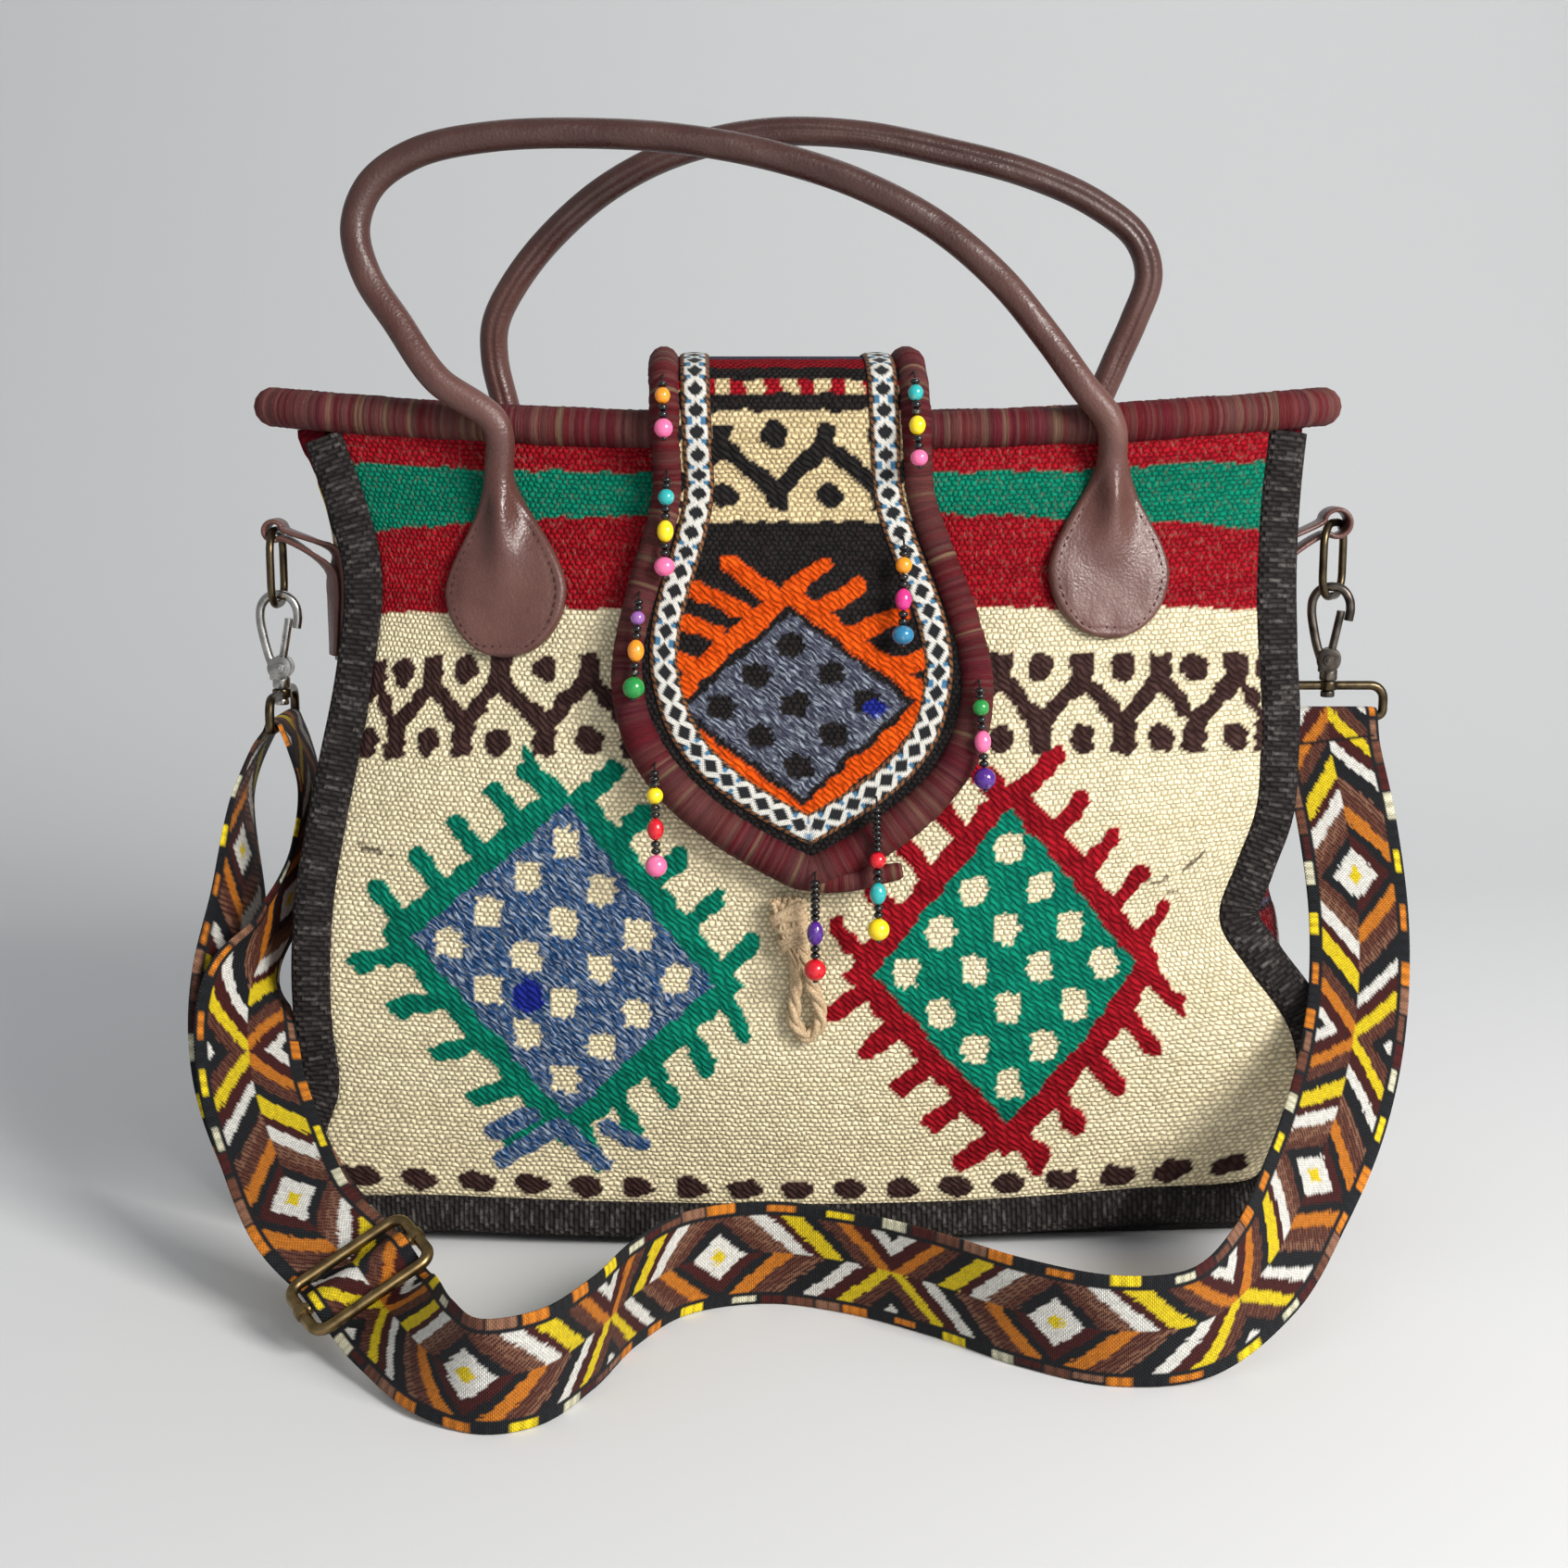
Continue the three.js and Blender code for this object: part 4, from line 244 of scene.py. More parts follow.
def gusset_point(side, turn, height, inset):
    """Face of a side gusset; turn runs from -1 at the front tape to 1 at the back one."""
    turn, height = np.broadcast_arrays(np.asarray(turn, float), np.asarray(height, float))
    front, back = (tape_line(facing, side, height, CLOTH_DEPTH + inset) for facing in (-1, 1))
    bulge = right_gusset_bulge(height) if side > 0 else left_gusset_bulge(height)
    point = front + (back - front) * ((turn + 1) / 2)[..., None]
    middle = side * (PANEL_HALF_WIDTH + bulge)
    point[..., 0] = middle + (point[..., 0] - middle) * turn * turn - side * inset
    return point


def smooth_line(points, closed=False, steps=24):
    """Dense smooth line through points."""
    p = np.array(points, float)
    count = len(p)
    spans = count if closed else count - 1
    out = []
    for span in range(spans):
        p1, p2 = p[span], p[(span + 1) % count]
        p0 = p[(span - 1) % count] if closed or span else 2 * p[0] - p[1]
        p3 = p[(span + 2) % count] if closed or span + 2 < count else 2 * p[-1] - p[-2]
        d0, d1, d2 = (max(np.linalg.norm(b[:3] - a[:3]), 1e-8) ** 0.5 for a, b in ((p0, p1), (p1, p2), (p2, p3)))
        m1 = ((p1 - p0) / d0 - (p2 - p0) / (d0 + d1) + (p2 - p1) / d1) * d1
        m2 = ((p2 - p1) / d1 - (p3 - p1) / (d1 + d2) + (p3 - p2) / d2) * d1
        t = (np.arange(steps) / steps)[:, None]
        out.append(p1 + m1 * t + (-3 * p1 + 3 * p2 - 2 * m1 - m2) * t**2 + (2 * p1 - 2 * p2 + m1 + m2) * t**3)
    if not closed:
        out.append(p[-1:])
    return np.concatenate(out)


def lengths(line):
    """Length along a line up to each of its points."""
    return np.concatenate([[0], np.cumsum(np.linalg.norm(np.diff(line, axis=0), axis=1))])


def evenly(line, spacing, closed=False):
    """Points at equal steps along a dense line, and the place of each along it."""
    path = np.vstack([line, line[:1]]) if closed else line
    run = lengths(path[:, :3])
    count = max(int(round(run[-1] / spacing)), 2)
    places = np.linspace(0, run[-1], count + 1)
    if closed:
        places = places[:-1]
    return np.stack([np.interp(places, run, path[:, k]) for k in range(path.shape[1])], -1), places


def full_turn(count):
    return np.linspace(0, 2 * math.pi, count, endpoint=False)


def squared(value, power):
    """Place on a circle moved towards the corners of a square, by a power below one."""
    return np.sign(value) * np.abs(value) ** power


# Chance, colour and meshes


def speck(i, j, seed=0):
    """Even chance from 0 to 1 for each pair of whole numbers."""
    value = np.sin(np.asarray(i, float) * 12.9898 + np.asarray(j, float) * 78.233 + seed * 37.719) * 43758.5453
    return value - np.floor(value)


def drift(x, y, seed=0):
    """Smooth chance from 0 to 1 over a plane, with one change for each unit."""
    x, y = np.broadcast_arrays(np.asarray(x, float), np.asarray(y, float))
    i, j = np.floor(x), np.floor(y)
    a, b = x - i, y - j
    a, b = a * a * (3 - 2 * a), b * b * (3 - 2 * b)
    low = speck(i, j, seed) * (1 - a) + speck(i + 1, j, seed) * a
    high = speck(i, j + 1, seed) * (1 - a) + speck(i + 1, j + 1, seed) * a
    return low * (1 - b) + high * b


def jolt(i, j, seed):
    """Even chance from -0.5 to 0.5."""
    return speck(i, j, seed) - 0.5


def wander(x, y, seed):
    """Smooth chance from -0.5 to 0.5."""
    return drift(x, y, seed) - 0.5


def step_up(low, high, value):
    """Smooth rise from 0 at low to 1 at high."""
    t = np.clip((np.asarray(value, float) - low) / (high - low), 0, 1)
    return t * t * (3 - 2 * t)


def mixed(one, other, share):
    return one + (other - one) * np.asarray(share, float)[..., None]


def mottled(ink, tint, x, y, seed):
    """Ink that drifts towards a tint of itself over a plane."""
    return mixed(ink, ink * np.asarray(tint), drift(x, y, seed))


def inked(colour, mask, ink):
    return np.where(mask[..., None], ink, colour)


def unit(vectors):
    vectors = np.asarray(vectors, float)
    return vectors / np.maximum(np.linalg.norm(vectors, axis=-1, keepdims=True), 1e-12)


def make_mesh(name, points, quads, ends=(), colour=None, weave=None, uv=None):
    """Smooth mesh from points in millimetres, four-sided faces and end faces of any count."""
    points = np.asarray(points, float).reshape(-1, 3)
    quads = np.asarray(quads, np.int64).reshape(-1, 4)
    corners = np.concatenate([quads.ravel()] + [np.asarray(end) for end in ends]).astype(np.int32)
    sizes = np.array([4] * len(quads) + [len(end) for end in ends])
    mesh = bpy.data.meshes.new(name)
    mesh.vertices.add(len(points))
    mesh.vertices.foreach_set("co", (points * MM).ravel().astype(np.float32))
    mesh.loops.add(len(corners))
    mesh.loops.foreach_set("vertex_index", corners)
    mesh.polygons.add(len(sizes))
    mesh.polygons.foreach_set("loop_start", np.concatenate([[0], np.cumsum(sizes)[:-1]]).astype(np.int32))
    mesh.update(calc_edges=True)
    mesh.polygons.foreach_set("use_smooth", np.ones(len(sizes), bool))
    for layer, values in (("yarn", colour), ("weave", weave)):
        if values is not None:
            rows = np.ones((len(points), 4), np.float32)
            rows[:, : values.shape[-1]] = values.reshape(len(points), -1)
            mesh.color_attributes.new(layer, "FLOAT_COLOR", "POINT").data.foreach_set("color", rows.ravel())
    if uv is not None:
        flat = np.asarray(uv, np.float32).reshape(-1, 2)
        mesh.uv_layers.new(name="cloth").data.foreach_set("uv", flat[corners].ravel())
    mesh.update()
    piece = bpy.data.objects.new(name, mesh)
    bpy.context.collection.objects.link(piece)
    return piece


def grid_faces(rows, columns, around=False, closed=False, start=0):
    """Faces of a grid of points; around joins its last column to its first, closed its last row to its first."""
    r = np.arange(rows if closed else rows - 1)[:, None]
    c = np.arange(columns if around else columns - 1)[None, :]
    r1, c1 = (r + 1) % rows, (c + 1) % columns
    faces = np.stack(np.broadcast_arrays(r * columns + c, r * columns + c1, r1 * columns + c1, r1 * columns + c), -1)
    return faces.reshape(-1, 4) + start


def sides_of(line, out, closed=False):
    """Directions of run, across and out at each point of a line."""
    if closed:
        run = np.roll(line, -1, 0) - np.roll(line, 1, 0)
    else:
        run = np.gradient(line, axis=0)
    run = unit(run)
    across = unit(np.cross(run, np.broadcast_to(out, run.shape)))
    return run, across, np.cross(across, run)


def section(line, across, out, wide, deep):
    """Rows of points round a line, by how far each lies across and out of it."""
    wide, deep = (np.atleast_2d(value)[..., None] for value in (wide, deep))
    return line[:, None] + across[:, None] * wide + out[:, None] * deep


def swept(name, points, colour=None, uv=None, closed=False):
    """Mesh over rows of points round a line; its ends are filled unless the line is closed."""
    rows, columns = points.shape[:2]
    ends = [] if closed else [np.arange(columns)[::-1], (rows - 1) * columns + np.arange(columns)]
    return make_mesh(name, points, grid_faces(rows, columns, True, closed), ends, colour, uv=uv)


def tube(name, line, radius, sides, out, closed=False, colour=None):
    """Round piece along a line, with places along and round it in its uv, both in millimetres."""
    _, across, up = sides_of(line, out, closed)
    turn = full_turn(sides)
    radius = np.broadcast_to(np.reshape(radius, (-1, 1)), (len(line), sides))
    points = section(line, across, up, radius * np.cos(turn), radius * np.sin(turn))
    around = np.abs(turn - math.pi) * float(np.mean(radius))
    uv = np.stack(np.broadcast_arrays(lengths(line)[:, None], around[None, :]), -1)
    if colour is not None:
        colour = np.broadcast_to(colour[:, None], points.shape)
    return swept(name, points, colour, uv, closed)


def settle(piece, finish, nodes=(), slot=None, body="bag"):
    """Gives a piece its finish and its body, and hides the solids it stands for."""
    piece.data.materials.clear()
    piece.data.materials.append(finish)
    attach(piece, body)
    if nodes:
        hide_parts(*nodes)


# Finishes


def new_finish(name, roughness, specular=0.4, metallic=0.0):
    material = bpy.data.materials.new(name)
    material.use_nodes = True
    shader = material.node_tree.nodes["Principled BSDF"]
    shader.inputs["Roughness"].default_value = roughness
    shader.inputs["Specular IOR Level"].default_value = specular
    shader.inputs["Metallic"].default_value = metallic
    return material, material.node_tree, shader


def node(tree, kind, sockets=None, **settings):
    """Shader node with its inputs set or linked."""
    made = tree.nodes.new(kind)
    for key, value in settings.items():
        setattr(made, key, value)
    for key, value in (sockets or {}).items():
        if isinstance(value, bpy.types.NodeSocket):
            tree.links.new(value, made.inputs[key])
        else:
            made.inputs[key].default_value = value
    return made


def maths(tree, operation, one, other=0.0):
    return node(tree, "ShaderNodeMath", {0: one, 1: other}, operation=operation).outputs[0]


def attribute(tree, name):
    return node(tree, "ShaderNodeAttribute", attribute_name=name).outputs["Color"]


def cloth_place(tree):
    return node(tree, "ShaderNodeUVMap", uv_map="cloth").outputs[0]


def own_place(tree):
    return node(tree, "ShaderNodeTexCoord").outputs["Object"]


def ramp(tree, value, low, high):
    return node(tree, "ShaderNodeMapRange", {"Value": value, "From Min": low, "From Max": high}).outputs[0]


def blended(tree, share, one, other, way="MIX"):
    made = node(tree, "ShaderNodeMix", data_type="RGBA", blend_type=way)
    for place, value in ((0, share), (6, one), (7, other)):
        if isinstance(value, bpy.types.NodeSocket):
            tree.links.new(value, made.inputs[place])
        else:
            made.inputs[place].default_value = value if place == 0 else (*value, 1)
    return made.outputs[2]


def placed(tree, vector, scale, turn=0.0):
    sockets = {"Vector": vector, "Scale": scale, "Rotation": (0, 0, turn)}
    return node(tree, "ShaderNodeMapping", sockets).outputs[0]


def noise(tree, vector, scale, detail):
    """Cloudy value; a scale of three numbers stretches it."""
    if isinstance(scale, tuple):
        vector, scale = placed(tree, vector, scale), 1.0
    return node(tree, "ShaderNodeTexNoise", {"Vector": vector, "Scale": scale, "Detail": detail}).outputs[0]


def coloured(tree, shader, colour):
    tree.links.new(colour, shader.inputs["Base Color"])


def bumped(tree, shader, height, strength, distance):
    bump = node(tree, "ShaderNodeBump", {"Height": height, "Strength": strength, "Distance": distance})
    tree.links.new(bump.outputs[0], shader.inputs["Normal"])


def cells(tree, vector, width, height, offset=0.5):
    """Rows of rounded stitches: a chance for each stitch, and its height."""
    place = node(tree, "ShaderNodeSeparateXYZ", {0: vector})
    level = maths(tree, "DIVIDE", place.outputs[1], height)
    row = maths(tree, "FLOOR", level)
    spot = maths(tree, "ADD", maths(tree, "DIVIDE", place.outputs[0], width), maths(tree, "MULTIPLY", row, offset))
    column = maths(tree, "FLOOR", spot)
    sides = []
    for value, low in ((spot, column), (level, row)):
        turn = maths(tree, "MULTIPLY", maths(tree, "SUBTRACT", value, low), math.pi)
        sides.append(maths(tree, "POWER", maths(tree, "SINE", turn), 0.85))
    pair = node(tree, "ShaderNodeCombineXYZ", {0: column, 1: row}).outputs[0]
    chance = node(tree, "ShaderNodeTexWhiteNoise", {"Vector": pair}, noise_dimensions="2D").outputs["Value"]
    return chance, maths(tree, "MULTIPLY", *sides)


def shaded(tree, colour, shade):
    """Colour times a shade."""
    grey = node(tree, "ShaderNodeCombineColor", {0: shade, 1: shade, 2: shade}).outputs[0]
    return blended(tree, 1.0, colour, grey, "MULTIPLY")


def product(tree, value, *factors):
    for factor in factors:
        value = maths(tree, "MULTIPLY", value, factor)
    return value


def scaled(tree, value, factor, base):
    return maths(tree, "ADD", maths(tree, "MULTIPLY", value, factor), base)


def kilim_finish(name):
    """Tapestry weave with raised slanted brocade: colour from yarn, brocade and marl from weave, and painted shade in
    the grooves between stitches.
    """
    material, tree, shader = new_finish(name, 0.92, 0.06)
    uv = cloth_place(tree)
    raised, marl, fleck = node(tree, "ShaderNodeSeparateColor", {0: attribute(tree, "weave")}).outputs
    pull = node(tree, "ShaderNodeTexNoise", {"Vector": uv, "Scale": 0.2, "Detail": 2.0}).outputs["Color"]
    pull = node(tree, "ShaderNodeVectorMath", {0: pull, 1: (0.5, 0.5, 0.5)}, operation="SUBTRACT").outputs[0]
    pull = node(tree, "ShaderNodeVectorMath", {0: pull, "Scale": 2.6}, operation="SCALE").outputs[0]
    loose = node(tree, "ShaderNodeVectorMath", {0: uv, 1: pull}, operation="ADD").outputs[0]
    ground_tint, ground = cells(tree, loose, 2.35, 1.8)
    slanted = placed(tree, loose, (1, 1, 1), 0.72)
    stitch_tint, stitch = cells(tree, slanted, 6.8, 1.85, 0.37)
    fibre = noise(tree, slanted, (0.5, 2.2, 1), 4.0)
    ply = noise(tree, slanted, (0.26, 1.3, 1), 2.0)
    warp = noise(tree, uv, (0.62, 0.3, 1), 1.0)
    tint = node(tree, "ShaderNodeMix", {0: raised, 2: ground_tint, 3: stitch_tint}).outputs[0]
    height = node(tree, "ShaderNodeMix", {0: raised, 2: ground, 3: stitch}).outputs[0]
    # Shade for the colour: a random tone for each stitch and along its fibres, times painted shade that darkens the
    # grooves between stitches by their height.
    shade = product(
        tree, scaled(tree, tint, 0.26, 0.84), scaled(tree, height, 0.62, 0.6), scaled(tree, fibre, 0.6, 0.72)
    )
    dyed = shaded(tree, attribute(tree, "yarn"), shade)
    pale = shaded(tree, linear(170, 180, 192), shade)
    marled = blended(tree, product(tree, ramp(tree, ply, 0.47, 0.62), marl), dyed, pale)
    bare = product(tree, ramp(tree, warp, 0.52, 0.72), fleck, maths(tree, "SUBTRACT", 1.0, height))
    coloured(tree, shader, blended(tree, bare, marled, linear(200, 142, 126)))
    bumped(tree, shader, scaled(tree, fibre, 0.35, height), 0.8, 0.0011)
    return material


def tape_finish(name, colour, light, width, row, fleck=0.5):
    """Fine plain weave in two shades of one yarn, with painted shade in the grooves between stitches."""
    material, tree, shader = new_finish(name, 0.9, 0.12)
    uv = cloth_place(tree)
    tint, height = cells(tree, uv, width, row)
    fuzz = noise(tree, uv, (1.1, 0.5, 1), 4.0)
    worn = noise(tree, uv, (0.05, 0.05, 1), 2.0)
    light_share = product(tree, ramp(tree, tint, 0.45, 1.0), fleck, ramp(tree, fuzz, 0.35, 0.65))
    # Shade for the colour: the slow worn cloud, plus painted shade that darkens the grooves between stitches by their
    # height.
    shade = scaled(tree, worn, 0.7, scaled(tree, height, 0.75, 0.12))
    coloured(tree, shader, shaded(tree, blended(tree, light_share, colour, light), shade))
    bumped(tree, shader, scaled(tree, fuzz, 0.5, height), 0.85, 0.0012)
    return material


def wrapped_finish(name):
    """Yarn wound closely round a cord: turns run across the uv's first direction."""
    material, tree, shader = new_finish(name, 0.7, 0.22)
    uv = cloth_place(tree)
    strands = noise(tree, uv, (2.3, 0.07, 1), 3.0)
    hair = noise(tree, uv, (6.5, 0.3, 1), 3.0)
    shade = scaled(tree, strands, 0.9, scaled(tree, hair, 0.55, 0.3))
    coloured(tree, shader, shaded(tree, attribute(tree, "yarn"), shade))
    bumped(tree, shader, scaled(tree, hair, 0.4, strands), 0.8, 0.0011)
    return material


def braid_finish(name, rib, row, roughness=0.6, specular=0.35):
    """Smooth woven trim with fine ribs across its run; colour from yarn, with painted shade between the ribs."""
    material, tree, shader = new_finish(name, roughness, specular)
    uv = cloth_place(tree)
    tint, height = cells(tree, uv, rib, row)
    fuzz = noise(tree, uv, (1.2, 1.2, 1), 3.0)
    # Shade for the colour: a random tone for each rib and fuzz, plus painted shade that darkens the grooves between
    # ribs by their height.
    shade = scaled(tree, tint, 0.2, scaled(tree, height, 0.38, scaled(tree, fuzz, 0.25, 0.42)))
    coloured(tree, shader, shaded(tree, attribute(tree, "yarn"), shade))
    bumped(tree, shader, scaled(tree, fuzz, 0.35, height), 0.6, 0.0006)
    return material


def leather_finish(name, colour, worn):
    """Soft grained leather: fine pebbles, wider creases, rubbed places, and painted shade that darkens it towards the
    top of the handles.
    """
    material, tree, shader = new_finish(name, 0.42, 0.45)
    place = own_place(tree)
    sockets = {"Vector": place, "Scale": 950.0, "Randomness": 1.0}
    pebbles = node(tree, "ShaderNodeTexVoronoi", sockets, feature="SMOOTH_F1").outputs[0]
    pores = noise(tree, place, 1500.0, 4.0)
    creases = noise(tree, place, (140, 140, 60), 4.0)
    rubbed = noise(tree, place, 34.0, 3.0)
    base = blended(tree, ramp(tree, rubbed, 0.35, 0.75), colour, worn)
    # Painted shade: the colour darkens with height over the handles' arches, to half its value at 0.395 m above the
    # floor.
    painted_top_shade = ramp(tree, node(tree, "ShaderNodeSeparateXYZ", {0: place}).outputs[2], 0.315, 0.395)
    shade = product(tree, scaled(tree, pores, 0.35, 0.82), scaled(tree, painted_top_shade, -0.5, 1.0))
    coloured(tree, shader, shaded(tree, base, shade))
    tree.links.new(ramp(tree, maths(tree, "ADD", pores, rubbed), 0.4, 1.9), shader.inputs["Roughness"])
    grain = scaled(tree, creases, 1.1, scaled(tree, pores, 0.35, product(tree, pebbles, 0.8)))
    bumped(tree, shader, grain, 0.24, 0.0008)
    return material


def metal_finish(name, colour, dark, roughness, patina):
    """Cast and plated metal, darker in its pores and scratches."""
    material, tree, shader = new_finish(name, roughness, 0.5, metallic=1.0)
    place = own_place(tree)
    cloud = noise(tree, place, 210.0, 5.0)
    scratch = noise(tree, place, (400, 400, 2600), 2.0)
    coloured(tree, shader, blended(tree, product(tree, ramp(tree, cloud, 0.42, 0.68), patina), colour, dark))
    wear = scaled(tree, cloud, 0.3, scaled(tree, scratch, 0.12, roughness - 0.2))
    tree.links.new(wear, shader.inputs["Roughness"])
    bumped(tree, shader, cloud, 0.12, 0.0003)
    return material


def lacquer_finish(name):
    """Painted wooden beads: glossy, with rubbed spots; colour from yarn."""
    material, tree, shader = new_finish(name, 0.22, 0.5)
    shader.inputs["Coat Weight"].default_value = 0.4
    shader.inputs["Coat Roughness"].default_value = 0.12
    rubbed = noise(tree, own_place(tree), 420.0, 3.0)
    share = product(tree, ramp(tree, rubbed, 0.62, 0.75), 0.3)
    coloured(tree, shader, blended(tree, share, attribute(tree, "yarn"), linear(226, 208, 176)))
    bumped(tree, shader, rubbed, 0.06, 0.0004)
    return material


def thread_finish(name, colour, light, twist=900.0, roughness=0.85):
    """Twisted thread or twine."""
    material, tree, shader = new_finish(name, roughness, 0.2)
    fibre = noise(tree, own_place(tree), twist, 4.0)
    coloured(tree, shader, blended(tree, ramp(tree, fibre, 0.3, 0.7), colour, light))
    bumped(tree, shader, fibre, 0.5, 0.0006)
    return material


# Woven pattern


def diamond_place(diamond, across, up):
    """Place in a slanted diamond: the shares along its upper right and upper left sides' ways, and their lengths."""
    (middle_x, middle_y), rise, reach = diamond
    one = (np.array(rise) + reach) / 2
    other = (np.array(rise) - reach) / 2
    area = one[0] * other[1] - one[1] * other[0]
    dx, dy = across - middle_x, up - middle_y
    first = (dx * other[1] - dy * other[0]) / area
    second = (one[0] * dy - one[1] * dx) / area
    return first, second, np.linalg.norm(one), np.linalg.norm(other)


def within(place, margin=0.0):
    """Places inside a diamond that is wider by a margin on every side."""
    first, second, one, other = place
    return (np.abs(first) < 1 + margin / one) & (np.abs(second) < 1 + margin / other)


def star_dots(place, rows, points, block):
    """Rows of small pointed stars over a diamond."""
    first, second, one, other = place
    dx = np.abs((first + 1) * rows / 2 % 1 - 0.5) * one * 2 / rows
    dy = np.abs((second + 1) * rows / 2 % 1 - 0.5) * other * 2 / rows
    return within(place) & ((dx + dy < points) | (np.maximum(dx, dy) < block))


def strokes(across, up, lines, half_width):
    """Places within rounded strokes, each between two points."""
    mask = np.zeros(across.shape, bool)
    for start, end in np.array(lines, float):
        way = end - start
        share = np.clip(((across - start[0]) * way[0] + (up - start[1]) * way[1]) / (way @ way), 0, 1)
        mask |= np.hypot(across - start[0] - share * way[0], up - start[1] - share * way[1]) < half_width
    return mask


def medallion_masks(diamond, across, up, leans, horns):
    """Field, its star dots and the toothed comb round it."""
    place = diamond_place(diamond, across, up)
    first, second, one, other = place
    field = within(place)
    stars = star_dots(place, 4, 6.6, 4.2)
    comb = within(place, MEDALLION_BORDER) & ~field
    sides = ((first, second, one, other), (second, first, other, one))
    for turn, (out, run, out_length, run_length) in enumerate(sides):
        reach = (1 + MEDALLION_BORDER / run_length) * run_length
        pitch = 2 * reach / TEETH
        for way in (-1, 1):
            past = (way * out - 1 - MEDALLION_BORDER / out_length) * out_length
            moved = run * run_length - leans[2 * turn + (way > 0)] * past
            spot = (moved + reach) % pitch - pitch / 2
            tip = np.clip(past - (TOOTH_LENGTH - TOOTH_WIDTH / 2), 0, None)
            comb |= (np.abs(moved) < reach) & (past > -1) & (np.hypot(spot, tip) < TOOTH_WIDTH / 2)
    top = diamond[0][1] + diamond[1][1] * 0.6
    comb &= (np.abs(first) < 1) | (np.abs(second) < 1) | (up < top)
    comb |= strokes(across, up, horns, 4)
    return field & ~stars, stars, comb & ~field


def zigzag_mask(across, up):
    """Zigzag with stems at its turns and a dot in each notch."""
    levels = [ZIGZAG_PEAK if turn % 2 else ZIGZAG_VALLEY for turn in range(len(ZIGZAG_TURNS))]
    mask = np.abs(up - np.interp(across, ZIGZAG_TURNS, levels)) < 5
    for turn, place in enumerate(ZIGZAG_TURNS):
        stem, far = ((ZIGZAG_PEAK, 206), 174.5) if turn % 2 else ((169, ZIGZAG_VALLEY), 200.5)
        mask |= (np.abs(across - place) < 4.3) & (up > stem[0]) & (up < stem[1])
        mask |= np.hypot((across - place) / 4.9, (up - far) / 5.3) < 1
    return mask


def soft(mask, times):
    """Mask with its edges rounded over neighbouring points."""
    value = mask.astype(float)
    for _ in range(times):
        padded = np.pad(value, 1, mode="edge")
        value = (
            padded[:-2, 1:-1] + padded[2:, 1:-1] + padded[1:-1, :-2] + padded[1:-1, 2:] + 2 * padded[1:-1, 1:-1]
        ) / 6
    return value


def panel_pattern(across, up, inks):
    """Colour, weave and relief of a panel's cloth at places in flat cloth sizes."""
    row = np.floor(up / 2)
    steps = across + 1.5 * jolt(row, np.floor(across / 14), 1)
    wavy_x = across + 2.2 * wander(across / 4, up / 3.2, 2) + 0.9 * jolt(row, 3, 4)
    wavy_y = up + 2.2 * wander(across / 4, up / 3.2, 5)
    level = up + 1.6 * wander(across / 9, 0.5, 6) + 0.9 * jolt(np.floor(steps / 3.3), 2, 7)
    ground = mixed(CREAM, CREAM * (0.88, 0.86, 0.8), drift(across / 70, up / 6, 8) * 0.6)
    sag = (across / PANEL_HALF_WIDTH) ** 2
    red = level > CREAM_TOP - 1.7 - 8.5 * sag
    stripe = (level > GREEN_BOTTOM + 2.5 - 13 * sag) & (level < GREEN_TOP - 3.5 - 2 * sag)
    colour = inked(ground, red, mottled(MADDER, (0.72, 0.7, 0.75), across / 45, up / 3, 10))
    colour = inked(colour, stripe, mottled(GREEN, (0.78, 0.8, 0.8), across / 45, up / 3, 11))
    fleck = np.where(red, np.where(stripe, 0.16, 0.3), 0.0)
    marks = (np.abs(up - 122 - 0.32 * (across - 143) - 3 * np.sin(across / 6)) < 1.2) & (across > 128) & (across < 158)
    marks |= (np.abs(up - 112 - 0.1 * across % 7) < 0.8) & (across > 132) & (across < 146)
    marks |= (np.abs(up - 128 + 0.15 * (across + 150)) < 1.2) & (across < -138) & (across > -166)
    worn = marks & (speck(np.floor(across / 2.6), row, 12) > 0.45)
    colour = inked(colour, worn, mixed(ground, BROWN, 0.75))
    raised = zigzag_mask(wavy_x, wavy_y + 9 * np.clip(sag - 0.2, 0, 1))
    raised |= np.hypot(((wavy_x + 10) % 19.8 - 9.9) / 6.4, (wavy_y - 5.5) / 4.4) < 1
    colour = inked(colour, raised, mottled(BROWN, 1.7, across / 3, up / 2, 13))
    marl = np.zeros(across.shape)
    for diamond, leans, horns, (field_ink, comb_ink), white in (
        (LEFT_MEDALLION, LEFT_LEANS, LEFT_HORNS, inks[0], inks[2]),
        (RIGHT_MEDALLION, RIGHT_LEANS, RIGHT_HORNS, inks[1], inks[3]),
    ):
        field, stars, comb = medallion_masks(diamond, wavy_x, wavy_y, leans, horns)
        colour = inked(colour, field, mottled(field_ink, (0.62, 0.66, 0.72), across / 6, up / 3, 14))
        colour = inked(colour, comb, mottled(comb_ink, (0.6, 0.64, 0.66), across / 7, up / 3, 15))
        colour = inked(colour, stars, ground)
        marl = np.where(field, white, marl)
        raised |= field | comb
    feet = strokes(wavy_x, wavy_y, LEFT_FEET, 3.6)
    darn = np.hypot((wavy_x + 99) / 5.5, (wavy_y - 79) / 6.5) < 1
    colour = inked(inked(colour, feet, inks[0][0]), darn, ROYAL)
    marl = np.where(darn, 0, np.where(feet, inks[2], marl))
    raised |= feet
    brocade = soft(raised, 1)
    return colour, np.stack([brocade, marl, fleck * (1 - brocade)], -1), soft(raised, 2)


